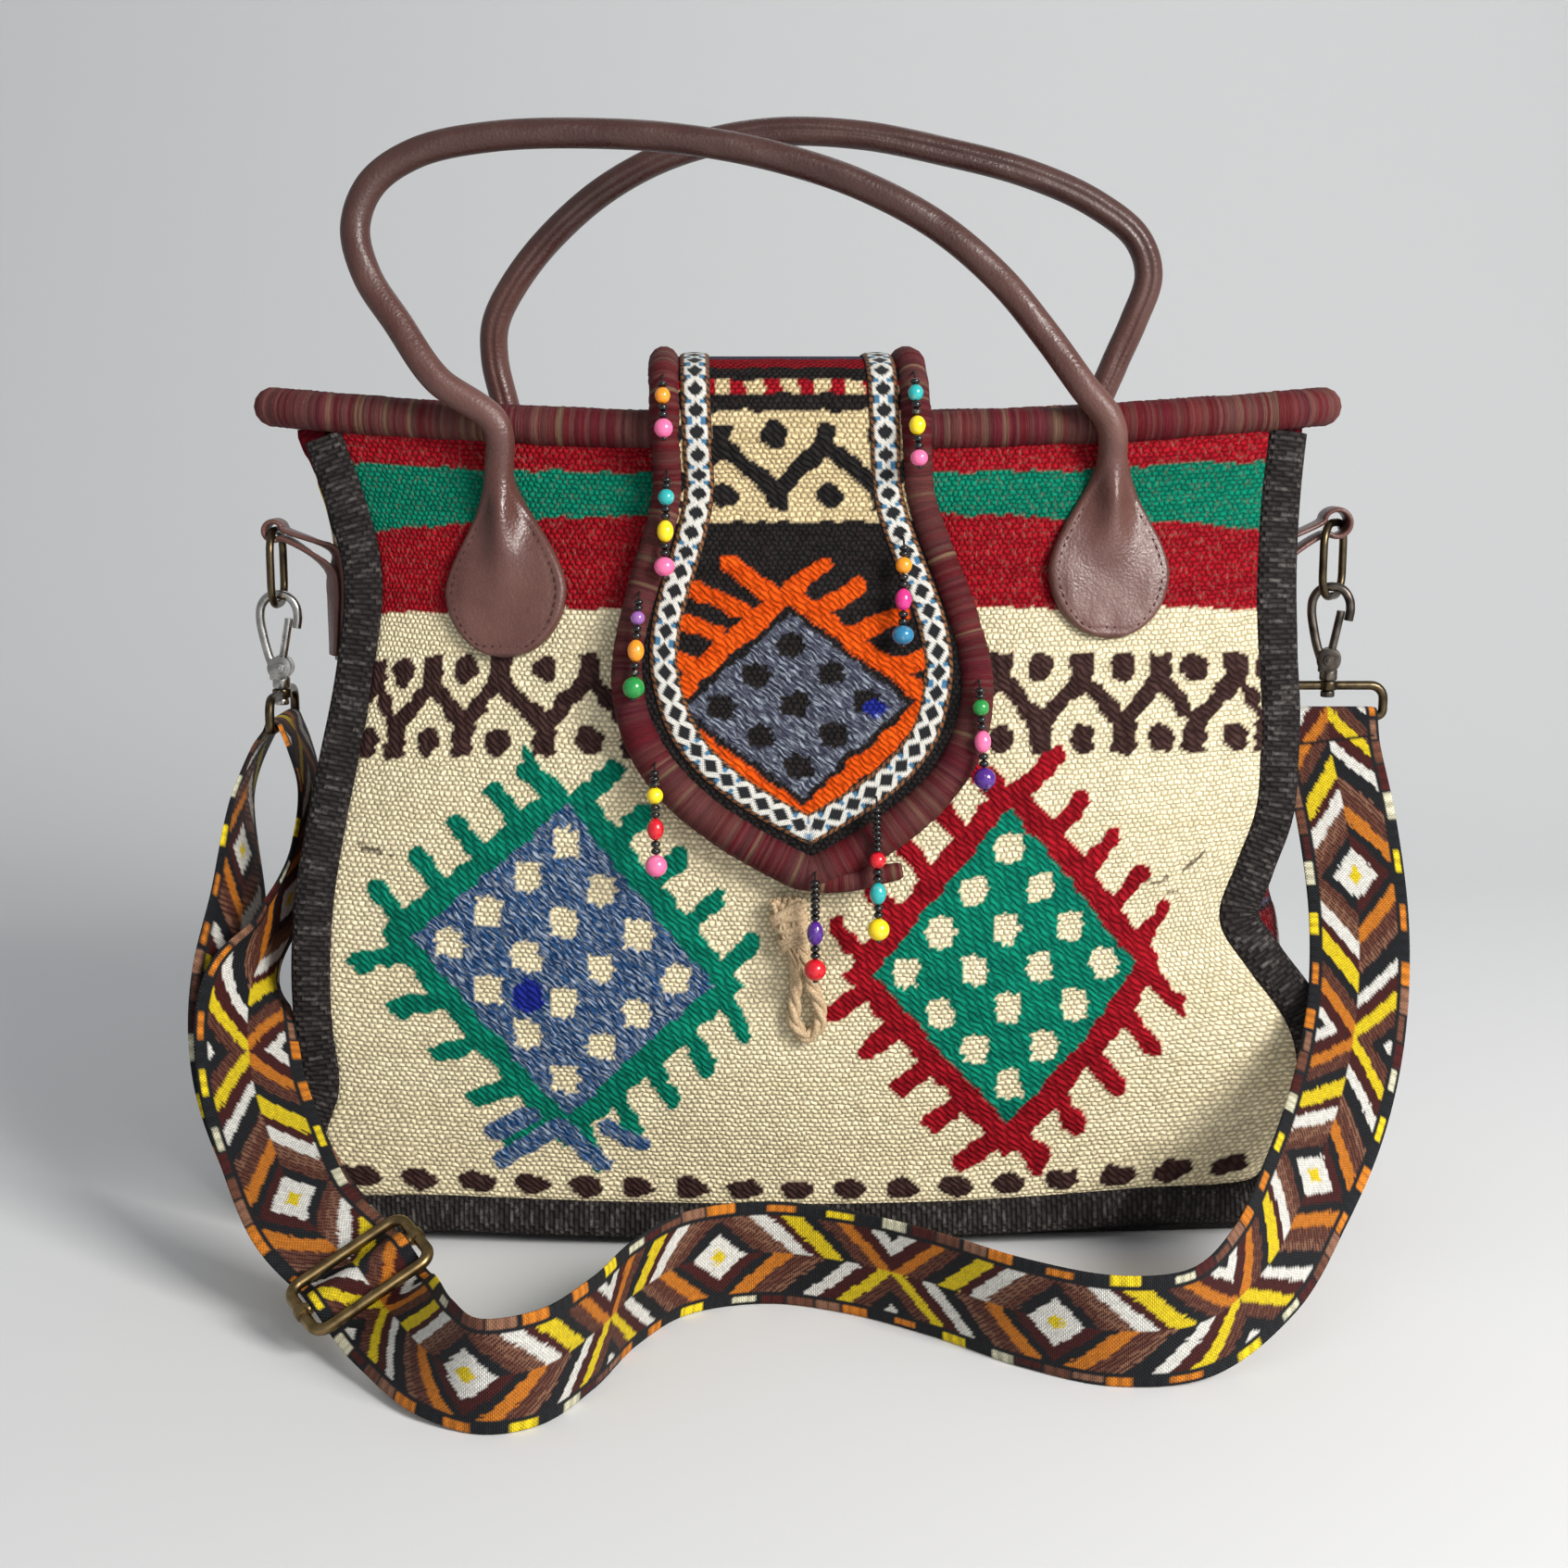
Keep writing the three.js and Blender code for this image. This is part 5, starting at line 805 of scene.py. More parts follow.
def panel(facing, name, node_name, slot, inks):
    """Woven panel, with its edges turned under the tape and into the roll."""
    fine = 1.0 if facing < 0 else 0.75
    edge, low, high = 173.5, -5.5, 284
    a, u = np.meshgrid(np.linspace(-edge, edge, int(330 * fine)), np.linspace(low, high, int(275 * fine)))
    points = panel_face(facing, -facing * a / PANEL_HALF_WIDTH, u / PANEL_HEIGHT)
    colour, weave, relief = panel_pattern(a, u, inks)
    tucked = step_up(167, edge, np.abs(a)) + step_up(0.5, low, u)
    billow = 2.4 * wander(a / 55, u / 48, 20) + 0.7 * wander(a / 17, u / 14, 21)
    calm = step_up(168, 140, np.abs(a)) * step_up(0, 25, u) * step_up(281, 262, u)
    points[..., 1] += facing * (RELIEF * relief + billow * calm - 3.2 * tucked)
    piece = make_mesh(name, points, grid_faces(*a.shape), (), colour, weave, np.stack([a, u], -1))
    settle(piece, kilim, (node_name,), slot)


# Sewn body


def body_ring(height, inset, columns=44, turns=14):
    """Level section of the body inside the tapes, from the left front corner round by the right."""
    shares = np.linspace(-0.93, 0.93, columns)
    round_side = np.linspace(-1, 1, turns)
    parts = []
    for facing in (-1, 1):
        side = -facing
        face = panel_face(facing, side * shares, height)
        face[:, 1] -= facing * (CLOTH_DEPTH + inset)
        parts += [face, gusset_point(side, round_side * side, np.full(turns, height), inset)]
    return np.concatenate(parts)


def gusset_pattern(side, across, up):
    """Side cloth: wine ground with rows of small hooked diamonds."""
    wavy = across + 1.6 * wander(across / 4, up / 3, 30)
    rise = up + 1.6 * wander(across / 4, up / 3, 31)
    ground = mixed(MADDER * 0.5, WINE * 0.7, drift(across / 30, up / 4, 32))
    pitch = 56
    band = np.floor((rise + 12) / pitch).astype(int)
    spot = np.abs((rise + 12) % pitch - pitch / 2)
    size = np.abs(wavy) * 0.95 + spot
    inks = np.stack((GOLD * 0.75, CREAM, INK, ORANGE) if side < 0 else (CREAM, WHITE * 0.9, INK, SLATE))
    colour = ground
    for outer, ink in ((24, 0), (18, 2), (12, 1), (7, 3)):
        colour = inked(colour, size < outer, inks[(ink + band) % 4])
    colour = inked(colour, spot > 25.5, inks[(band + 1) % 4])
    colour = inked(colour, up > 268, ground)
    brocade = soft(size < 24, 1)
    return colour, np.stack([brocade, 0 * brocade, 0.4 * (1 - brocade)], -1), brocade


def gusset(side, name, node_name):
    """Side cloth between the tapes, puckered, with its lower edge turned under."""
    low = -0.015
    t, h = np.meshgrid(np.linspace(-1, 1, 64), np.linspace(low, 1.01, 190))
    points = gusset_point(side, -side * t, h, 0)
    a, u = t * corner_depth(h), h * PANEL_HEIGHT
    colour, weave, relief = gusset_pattern(side, a, u)
    pucker = step_up(1.0, 0.6, np.abs(t)) * (2.2 * wander(a / 26, u / 40, 33))
    points[..., 0] += side * (0.7 * relief + pucker)
    points[..., 2] -= 6 * step_up(0.02, low, h)
    piece = make_mesh(name, points, grid_faces(*t.shape), (), colour, weave, np.stack([a, u], -1))
    settle(piece, kilim, (node_name,), "side_cloth")


def floor_rings(level, curl, shares, turns):
    """Rings of a flat floor at a level, and of the curl up from its edge."""
    rings = []
    for share in shares:
        ring = body_ring(0, level + curl) * share
        ring[:, 2] = level
        rings.append(ring)
    for turn in turns:
        ring = body_ring(0, level + curl * (1 - math.sin(turn)))
        ring[:, 2] = level + curl * (1 - math.cos(turn))
        rings.append(ring)
    return rings


def base_cloth():
    """Bottom cloth: a flat floor with a curled edge up to the lower seam."""
    curl = 14
    rings = floor_rings(0, curl, (0.02, 0.25, 0.5, 0.75, 0.9), np.linspace(0, math.pi / 2, 9))
    edge = body_ring(0, 0)
    for share in (0.5, 1.0):
        ring = edge.copy()
        ring[:, 2] = curl + (edge[:, 2] + 1 - curl) * share
        rings.append(ring)
    points = np.stack(rings)
    rows, columns = points.shape[:2]
    uv = points[..., :2] + np.array([0, 1]) * points[..., 2:] * np.sign(points[..., 1:2])
    faces = grid_faces(rows, columns, True)[:, ::-1]
    piece = make_mesh("bottom_cloth", points, faces, [np.arange(columns)], uv=uv)
    settle(piece, base_weave, ("base_panel",), "base_cloth")


def lining_sack():
    """Thin inner sack, seen only from above."""
    inset = 4.9
    rings = floor_rings(inset, 9, (0.02, 0.35, 0.7, 1.0), np.linspace(0.3, math.pi / 2, 5))
    for height in np.linspace(0, 0.99, 48):
        ring = body_ring(height, inset)
        fold = 1.4 * np.sin(np.arange(len(ring)) * 0.9) * step_up(0.0, 0.2, height) * step_up(1.0, 0.8, height)
        ring[:, 1] *= 1 - 0.02 * step_up(0, 0.3, height)
        ring[:, 0] -= 0.4 * np.sign(ring[:, 0]) * np.abs(fold)
        rings.append(ring)
    points = np.stack(rings)
    rows, columns = points.shape[:2]
    uv = np.stack(np.broadcast_arrays(np.linspace(0, 920, columns)[None, :], points[..., 2]), -1)
    faces = grid_faces(rows, columns, True)
    piece = make_mesh("inner_sack", points, faces, [np.arange(columns)[::-1]], uv=uv)
    settle(piece, lining_weave, ("lining",), "lining_cloth")


def seam_tape(facing, name, node_name):
    """Woven tape folded over the seam down one side, along the lower edge and up the other side."""
    inset = 1.4
    rows = np.linspace(1, 0, 15)[:-1]

    def lower(share, x, z):
        return panel_face(facing, share, 0.0) + (x, -facing * inset, z)

    left, right = (tape_line(facing, side, rows, inset) for side in (-1, 1))
    bottom = [lower(share, 0, -TAPE_MIDDLE) for share in np.linspace(-1, 1, 9)[1:-1]]
    line = smooth_line(np.vstack([left, [lower(-1, -7, -7)], bottom, [lower(1, 7, -7)], right[::-1]]))
    line, places = evenly(line, 1.3)
    line[:, 0] += 0.9 * wander(places / 21, 0.5, 40 + facing)
    _, across, out = sides_of(line, (0, facing, 0))
    turn = full_turn(22)
    half = 7.5 + 0.9 * wander(places / 30, 2.5, 41 + facing)
    thick = 2.6 + 0.5 * wander(places / 12, 4.5, 42 + facing)
    wide, deep = half[:, None] * squared(np.cos(turn), 0.7), thick[:, None] * squared(np.sin(turn), 0.8)
    around = np.abs(turn - math.pi) / math.pi * 17
    uv = np.stack(np.broadcast_arrays(around[None, :], places[:, None]), -1)
    piece = swept(name, section(line, across, out, wide, deep), uv=uv)
    settle(piece, tape_weave, (node_name,), "seam_tape")


def wound_colours(places, seed, dull):
    """Colour of each turn of wound yarn along a cord: clusters of wine, mauve and olive strands."""
    turn = np.floor(places / YARN_PITCH)
    cluster = drift(places / 16, 0.5, seed)
    lot = speck(turn, 1, seed)
    colour = mixed(WINE, MADDER * 0.45, drift(places / 5, 1.5, seed + 1))
    colour = mixed(colour, MAUVE, step_up(0.35, 0.85, lot * 0.5 + cluster * 0.75) * dull)
    colour = inked(colour, (lot > 0.86) & (cluster > 0.45), mixed(MAUVE, OLIVE, speck(turn, 5, seed)))
    return colour * (0.54 + 0.3 * speck(turn, 9, seed))[:, None]


def wound_swell(places, length, swell, notch, seed):
    """Swelling of a wound cord along its length, and the step from each turn of yarn to the next."""
    return swell * wander(places / length, 0.5, seed) + notch * jolt(np.floor(places / YARN_PITCH), 2, seed + 1)


def rim_roll():
    """Yarn-wound roll round the mouth."""
    points = []
    for facing in (-1, 1):
        points.append((facing * MOUTH_HALF_SPAN, 0, 0))
        points.append(tape_line(facing, facing, 1.0, 2))
        for share in facing * np.linspace(1, -1, 9):
            points.append(panel_face(facing, share, 1.0) - (0, facing * ROLL_INSET, 0))
        points.append(tape_line(facing, -facing, 1.0, 2))
    points = np.array(points)
    points[:, 2] = roll_height(points[:, 0])
    line, places = evenly(smooth_line(points, True), CORD_STEP, True)
    radius = ROLL_RADIUS + wound_swell(places, 11, 0.8, 0.34, 50)
    piece = tube("mouth_roll", line, radius, 14, (0, 0, 1), True, wound_colours(places, 52, 0.9))
    settle(piece, wound_yarn, ("rim_roll",), "wrapped_yarn")


# Flap


def flap_line():
    """Middle line of the flap from its tip over the mouth to its hem, dense and even."""
    share = FLAP_TIP / PANEL_HALF_WIDTH

    def beside(facing, heights):
        for height in heights:
            point = panel_face(facing, share, height)
            yield 0, point[1] + facing * FLAP_STAND, point[2]

    clear = panel_face(1, share, 1)[1] - ROLL_INSET + 12.1
    crest = MOUTH_LEVEL + FLAP_RISE * 0.72
    over = [
        (0, -clear, MOUTH_LEVEL), (0, -clear * 0.78, crest), (0, 0, MOUTH_LEVEL + FLAP_RISE), (0, clear * 0.78, crest),
        (0, clear, MOUTH_LEVEL),
    ]
    front = beside(-1, np.linspace(122 / PANEL_HEIGHT, 0.955, 8))
    back = beside(1, np.linspace(0.955, 243 / PANEL_HEIGHT, 3))
    return evenly(smooth_line([*front, *over, *back]), 0.5)


flap_middle, flap_places = flap_line()
flap_out = unit(np.cross((1, 0, 0), unit(np.gradient(flap_middle, axis=0))))
flap_length = flap_places[-1]


def on_flap(across, up, out):
    """Flap surface: across from its middle, up along it from the tip and out of its middle layer."""
    across, up, out = np.broadcast_arrays(*(np.asarray(value, float) for value in (across, up, out)))
    place = np.clip(up, 0, flap_length)
    middle = np.stack([np.interp(place, flap_places, flap_middle[:, k]) for k in range(3)], -1)
    normal = unit(np.stack([np.interp(place, flap_places, flap_out[:, k]) for k in range(3)], -1))
    point = middle + normal * out[..., None]
    point[..., 0] = FLAP_TIP - FLAP_SLANT * place / flap_length + across
    return point


def bezier(a, b, c, d, count):
    """Points along a curve from a to d, drawn towards b and c."""
    t = np.linspace(0, 1, count)[:, None]
    a, b, c, d = (np.array(p, float) for p in (a, b, c, d))
    return a * (1 - t) ** 3 + 3 * b * t * (1 - t) ** 2 + 3 * c * t**2 * (1 - t) + d * t**3


def tongue_half():
    """Right half of the tongue's edge from the end of its hem to its tip, and the way inwards at each point."""
    neck = np.stack([np.full(80, FLAP_NECK), np.linspace(flap_length, 150, 80)], -1)
    flare = bezier((FLAP_NECK, 150), (FLAP_NECK, 136), (FLAP_WIDEST, 100), (FLAP_WIDEST, 78), 60)
    tip = bezier((FLAP_WIDEST, 78), (FLAP_WIDEST, 34), (30, 15), (0, 0), 90)
    edge = np.vstack([neck, flare[1:], tip[1:]])
    run = unit(np.gradient(edge, axis=0))
    return edge, np.stack([run[:, 1], -run[:, 0]], -1)


def tongue_edge(inset):
    """Edge of the tongue from the right end of its hem round the tip to the left end, moved inwards."""
    edge, across = tongue_half()
    moved = edge + across * inset
    moved = moved[moved[:, 0] > 0]
    slope = unit(moved[-1] - moved[-2])
    tip_point = moved[-1] + slope * (-moved[-1, 0] / slope[0])
    half = np.vstack([moved, [(0, tip_point[1])]])
    return np.vstack([half, half[:-1][::-1] * (-1, 1)])


def flap_pattern(across, up):
    """Colour, weave and relief of the flap's cloth."""
    x = across + 2.0 * wander(across / 4, up / 3.2, 60) + 0.8 * jolt(np.floor(up / 2), 3, 61)
    y = up + 2.0 * wander(across / 4, up / 3.2, 62)
    soot = mottled(SOOT, 1.6, across / 3, up / 2, 63)
    cream = mixed(CREAM * (0.86, 0.78, 0.66), CREAM * (0.72, 0.64, 0.52), drift(across / 20, up / 3, 64))
    band = (y > 135) & (y < 175)
    turn = np.abs((x + 25.1) % 38 - 19)
    zigzag = band & (np.abs(y - (155 + 8.5 * (turn / 9.5 - 1))) < 4.6)
    zigzag |= (turn < 3.8) & (np.abs(y - 144) < 4.5) | (turn > 15.2) & (np.abs(y - 166) < 4.5)
    zigzag |= (np.hypot(turn / 5, (y - 167) / 4.4) < 1) | (np.hypot((19 - turn) / 5, (y - 144.5) / 4.8) < 1)
    colour = inked(inked(soot, band, cream), zigzag, soot)
    odd = np.floor((x + 51) / 6) % 2 > 0
    colour = inked(colour, (y > 181.4) & (y < 187), inked(cream, odd, MADDER))
    stripes = np.stack([MADDER * 0.7, SLATE * 0.9, MAROON])
    colour = inked(colour, y > 194, stripes[(np.floor((y - 194) / 11) % 3).astype(int)])
    place = diamond_place(FLAP_MEDALLION, x, y)
    field, gap = within(place), within(place, 2.7)
    border = within(place, np.where(y > 66, 9.5, 10.0)) | strokes(x + 3, y - 68, FLAP_ARMS, 3.2)
    border &= ~gap & (np.abs(x + 1) < 46.5)
    stars = star_dots(place, 3, 6.0, 4.0)
    for mask, ink in (
        (border, mottled(ORANGE, (0.72, 0.6, 0.5), across / 6, up / 3, 65)),
        (field, mottled(SLATE, 0.7, across / 5, up / 2.6, 66)),
        (stars, soot), (field & (np.hypot(x - 26, y - 67) < 3.6), ROYAL),
    ):
        colour = inked(colour, mask, ink)
    raised = zigzag | border | (field & ~stars)
    brocade = soft(raised, 1)
    marl = np.where(field & ~stars, 0.5, 0.0)
    return colour, np.stack([brocade, marl, 0.03 * (1 - brocade)], -1), soft(raised, 2)


def flap_cloth():
    """Woven tongue, cut along the middle of its binding, with its hem turned in."""
    a, u = np.meshgrid(np.linspace(-63, 63, 124), np.linspace(4, flap_length, 306))
    colour, weave, relief = flap_pattern(a, u)
    hem = step_up(flap_length - 5, flap_length, u)
    points = on_flap(a, u, 1.7 + RELIEF * relief - 5.5 * hem)
    edge = tongue_edge(6.5)
    right = edge[: len(edge) // 2 + 1]
    order = np.argsort(right[:, 1])
    keep = np.abs(a) < np.interp(u, right[order, 1], right[order, 0])
    faces = grid_faces(*a.shape)
    inside = keep.ravel()[faces].any(1) & (u.ravel()[faces] > right[-1, 1] - 1).all(1)
    used, index = np.unique(faces[inside], return_inverse=True)
    rows = [values.reshape(a.size, -1)[used] for values in (colour, weave, np.stack([a, u], -1))]
    piece = make_mesh("flap_cloth", points.reshape(-1, 3)[used], index, (), *rows)
    settle(piece, kilim, ("flap",), "kilim_flap")


def flap_binding():
    """Yarn-wound cord round the edge of the flap, and its loose end under the tip."""
    edge, _ = evenly(tongue_edge(BINDING_RADIUS), 2.0)
    for _ in range(6):
        edge[1:-1] = (edge[:-2] + 2 * edge[1:-1] + edge[2:]) / 4
    line, places = evenly(on_flap(edge[:, 0], edge[:, 1], 0), CORD_STEP)
    from_middle = (line - (0, 0, 141)) * (0, 1, 1)
    radius = BINDING_RADIUS + 1.3 * step_up(235, 180, line[:, 2]) + wound_swell(places, 10, 0.6, 0.32, 70)
    piece = tube("flap_edge_cord", line, radius, 14, unit(from_middle), False, wound_colours(places, 72, 0.6) * 0.92)
    settle(piece, wound_yarn, ("flap_binding",), "wrapped_yarn")
    front = line[(line[:, 1] < 0) & (line[:, 0] < 0) & (line[:, 2] < 165)]
    start, tip = front[np.argmin(np.abs(front[:, 0] + 14))], line[np.argmin(line[:, 2])]
    end = [start, tip - (0, 0.4, 1.2), tip + (13, -0.5, -2.4), tip + (25, -0.3, -0.6), tip + (33, 0, 0.8)]
    line, places = evenly(smooth_line(end), CORD_STEP)
    radius = np.interp(places, [0, 16, 30, places[-1] - 1.2, places[-1]], [5.8, 6.2, 5.0, 3.2, 2.4])
    tail = tube("flap_cord_end", line, radius, 12, (0, -1, 0), False, wound_colours(places, 74, 0.8))
    settle(tail, wound_yarn, (), "wrapped_yarn")


def flap_ribbon():
    """Woven trim inside the binding: black lozenges and blue picks on white, with a twisted gold edge."""
    half, across = tongue_half()
    lower = 4 * step_up(112, 60, half[:, 1])
    lines = []
    for inset in (RIBBON_MIDDLE, *RIBBON_EDGES):
        moved = half + across * (inset + lower)[:, None]
        past = moved[:, 0] < 0
        tip = np.argmax(past)
        moved[past] = (0, np.interp(0, moved[[tip, tip - 1], 0], moved[[tip, tip - 1], 1]))
        lines.append(moved)
    run = lengths(lines[0])
    spots = np.linspace(0, run[-1], 420)
    edges = []
    for line in lines[1:]:
        even = np.stack([np.interp(spots, run, line[:, k]) for k in (0, 1)], -1)
        edges.append(np.vstack([even, even[:-1][::-1] * (-1, 1)]))
    outer, inner = edges
    share = np.linspace(0, 1, 19)
    flat = outer[:, None] + (inner - outer)[:, None] * share[None, :, None]
    points = on_flap(flat[..., 0], flat[..., 1], 2.2 + 1.1 * (1 - np.abs(2 * share - 1) ** 4))
    run = lengths((outer + inner) / 2)
    s, y = np.meshgrid(run, (share - 0.5) * 10.4, indexing="ij")
    pitch, v = 7.5, np.abs(y)
    lozenge = np.abs(s % pitch - pitch / 2) * 0.85 + v < 2.75
    beside = np.abs((s + pitch / 2) % pitch - pitch / 2)
    blue = (np.abs(v - 2.3) < 0.6) & (beside < 1.5) & (speck(np.floor(s / pitch), 4, 80) > 0.5)
    twist = (v > 3.9) & (v < 4.7) & ((s + 0.8 * y) % 2.6 < 1.5)
    colour = np.broadcast_to(WHITE * 1.04, (*s.shape, 3))
    for mask, ink in (
        (beside < (v - 2.1) * 1.25, INK), (blue, linear(70, 130, 170)), (lozenge | (v > 3.7), INK),
        (twist, linear(150, 96, 52)),
    ):
        colour = inked(colour, mask, ink)
    faces = grid_faces(*s.shape)[:, ::-1]
    piece = make_mesh("flap_trim", points, faces, (), colour, uv=np.stack([y, s], -1))
    settle(piece, ribbon_weave, ("flap_ribbon",), "ribbon")


# Webbing strap


def slider_ways():
    """Directions of the slider: along the webbing, out of its face and across it."""
    run = unit(SLIDER_RUN)
    face = unit(np.cross(run, SLIDER_WIDTH))
    return run, face, np.cross(face, run)


def strap_route():
    """Middle of the webbing and the direction of its width, from its sewn end at the slider to its tail."""
    run, face, width = slider_ways()

    def at_slider(place, out):
        return (*(np.array(SLIDER_PLACE) + run * place + face * out), *width)

    def fold(eye, towards, way):
        drop, radius = 12, 3.1
        bar, towards = np.array(eye) - (0, 0, drop), np.array(towards)
        turns = np.linspace(0, math.pi, 5)
        return [(*(bar + (0, 0, radius * math.sin(t)) + towards * radius * math.cos(t)), *way) for t in turns]

    end = SLIDER_HALF_LENGTH
    stations = [
        at_slider(0, -2.5), at_slider(-end, -5.7), *STRAP_DOUBLED, *fold(LEFT_EYE, (-1, 0, 0), (0, 1, 0)),
        *STRAP_HANGING, at_slider(-end, -4.0), at_slider(0, 2.5), at_slider(end, -4.0), *STRAP_ON_FLOOR,
        *fold(RIGHT_EYE, (0, -1, 0), (-1, 0, 0)), *STRAP_TAIL,
    ]
    line, places = evenly(smooth_line(stations), 1.05)
    run = unit(np.gradient(line[:, :3], axis=0))
    width = unit(line[:, 3:] - run * (line[:, 3:] * run).sum(1, keepdims=True))
    return line[:, :3], width, np.cross(run, width), places


def strap_pattern(s, y):
    """Slanting saw-edged stripes that meet along the middle, and ribbed blocks along both edges."""
    upper, out = y > 0, np.abs(y)
    tooth = np.abs((s + out) / 1.9 % 1 - 0.5) * 2.2
    slant = 0.85 * np.abs(s % 132 - 66) + out + tooth
    band = np.searchsorted([3.5, 9, 14, 18, 24, 30, 34, 41, 46, 52, 57, 63, 68], slant)
    above = np.stack([GOLD, WHITE, INK, UMBER, TAN, WHITE, MAROON, GOLD, INK, UMBER, AMBER, MAROON, WHITE, INK])
    below = np.stack([GOLD, WHITE, MAROON, INK, AMBER, UMBER, TAN, INK, WHITE, MAROON, GOLD, UMBER, INK, WHITE])
    hatch = (s - out) / 1.9 % 1
    brown = np.isin(band, (3, 4, 9)) & upper | np.isin(band, (5, 6, 11)) & ~upper
    colour = inked(inked(below[band], upper, above[band]), brown & (hatch < 0.4), MAROON)
    colour = colour * (0.74 + 0.24 * hatch)[..., None]
    pitch = 11
    far = np.where(upper, s + 5, s * 1.07)
    block = np.floor(far / pitch).astype(int)
    inks = np.stack([INK, UMBER, INK, GOLD, MAROON, AMBER, INK, SAND, TAN, AMBER])
    framed = (far % pitch < 1.3) | (speck(block, 3, 91) > 0.6) & ((out > 18.2) | (out < 15.9))
    blocks = inked(inks[(block * 7 + upper * 3) % 10], framed, INK) * (0.8 + 0.4 * (far % 1.5 < 0.9))[..., None]
    return inked(inked(colour, out > 15.0, blocks), np.abs(out - 14.9) < 0.5, INK)


def shoulder_strap():
    """Webbing along its route, its middle line and the places along it."""
    middle, width, face, places = strap_route()
    front, back = np.linspace(-1, 1, 53), np.linspace(1, -1, 21)
    wide = np.concatenate([front, back])
    half = STRAP_HALF_THICKNESS * (1 - 0.7 * np.abs(wide) ** 14) * np.repeat([1, -1], (len(front), len(back)))
    s, y = np.meshgrid(places, STRAP_HALF_WIDTH * wide, indexing="ij")
    fold = places[-60:][np.argmax(middle[-60:, 2])]
    sewn = (np.abs(s - fold + 14) < 0.7) & (np.abs(y) < 17.5)
    colour = inked(strap_pattern(s, y), sewn, INK * 0.5)
    points = section(middle, width, face, STRAP_HALF_WIDTH * wide, half)
    piece = swept("webbing_strap", points, colour, np.stack([y, s], -1))
    settle(piece, strap_weave, ("shoulder_strap",), "webbing")
    return piece, middle, places


# Bent wire, turned and cast metal


def metres(place):
    return [value * MM for value in place]


def bent_wire(name, points, radius, closed):
    """Wire along points in millimetres."""
    bpy.ops.curve.primitive_nurbs_path_add(location=(0, 0, 0))
    made = bpy.context.object
    made.name = name
    curve = made.data
    curve.splines.clear()
    spline = curve.splines.new("POLY")
    spline.points.add(len(points) - 1)
    for spot, place in zip(spline.points, points):
        spot.co = (*metres(place), 1)
    spline.use_cyclic_u = closed
    curve.dimensions = "3D"
    curve.bevel_depth = radius * MM
    curve.bevel_resolution = 4
    curve.use_fill_caps = True
    bpy.ops.object.convert(target="MESH")
    bpy.ops.object.shade_smooth()
    return bpy.context.object


def softened(name, width):
    """The piece just added, set in its place and with its edges rounded."""
    made = bpy.context.object
    made.name = name
    bpy.ops.object.transform_apply(location=True, rotation=True, scale=True)
    bevel = made.modifiers.new("soft edge", "BEVEL")
    bevel.width = width * MM
    bevel.segments = 2
    bpy.ops.object.modifier_apply(modifier=bevel.name)
    bpy.ops.object.shade_smooth_by_angle(angle=0.7)
    return made


def turned_pin(name, radius, length, place, axis, soft_edge, sides=28):
    """Short cylinder with softened edges; axis is X, Y or Z."""
    turn = {"X": (0, math.pi / 2, 0), "Y": (math.pi / 2, 0, 0), "Z": (0, 0, 0)}[axis]
    bpy.ops.mesh.primitive_cylinder_add(
        vertices=sides, radius=radius * MM, depth=length * MM, location=metres(place), rotation=turn
    )
    return softened(name, soft_edge)


def cast_block(name, size, place, soft_edge):
    bpy.ops.mesh.primitive_cube_add(size=1, location=metres(place))
    bpy.context.object.scale = metres(size)
    return softened(name, soft_edge)


def fused(pieces, name, place=(0, 0, 0), turn=0.0, matrix=None):
    """Joins pieces into one and moves them to their place in the mesh."""
    bpy.ops.object.select_all(action="DESELECT")
    for piece in pieces:
        piece.select_set(True)
    bpy.context.view_layer.objects.active = pieces[0]
    if len(pieces) > 1:
        bpy.ops.object.join()
    made = bpy.context.object
    made.name = name
    made.data.name = name
    made.matrix_world = matrix or Matrix.Translation(metres(place)) @ Matrix.Rotation(turn, 4, "Z")
    bpy.ops.object.transform_apply(location=True, rotation=True, scale=True)
    bpy.ops.object.select_all(action="DESELECT")
    return made


def rounded_loop(half_width, half_height, upper, lower, lift, steps=7):
    """Rounded rectangle in the XZ plane with its own radius for the upper and the lower corners."""
    points = []
    for quarter, (x, z, radius) in enumerate((
        (1, 1, upper), (-1, 1, upper), (-1, -1, lower), (1, -1, lower),
    )):
        for turn in np.linspace(0, math.pi / 2, steps) + quarter * math.pi / 2:
            points.append((
                x * (half_width - radius) + radius * math.cos(turn), 0,
                lift + z * (half_height - radius) + radius * math.sin(turn),
            ))
    return points


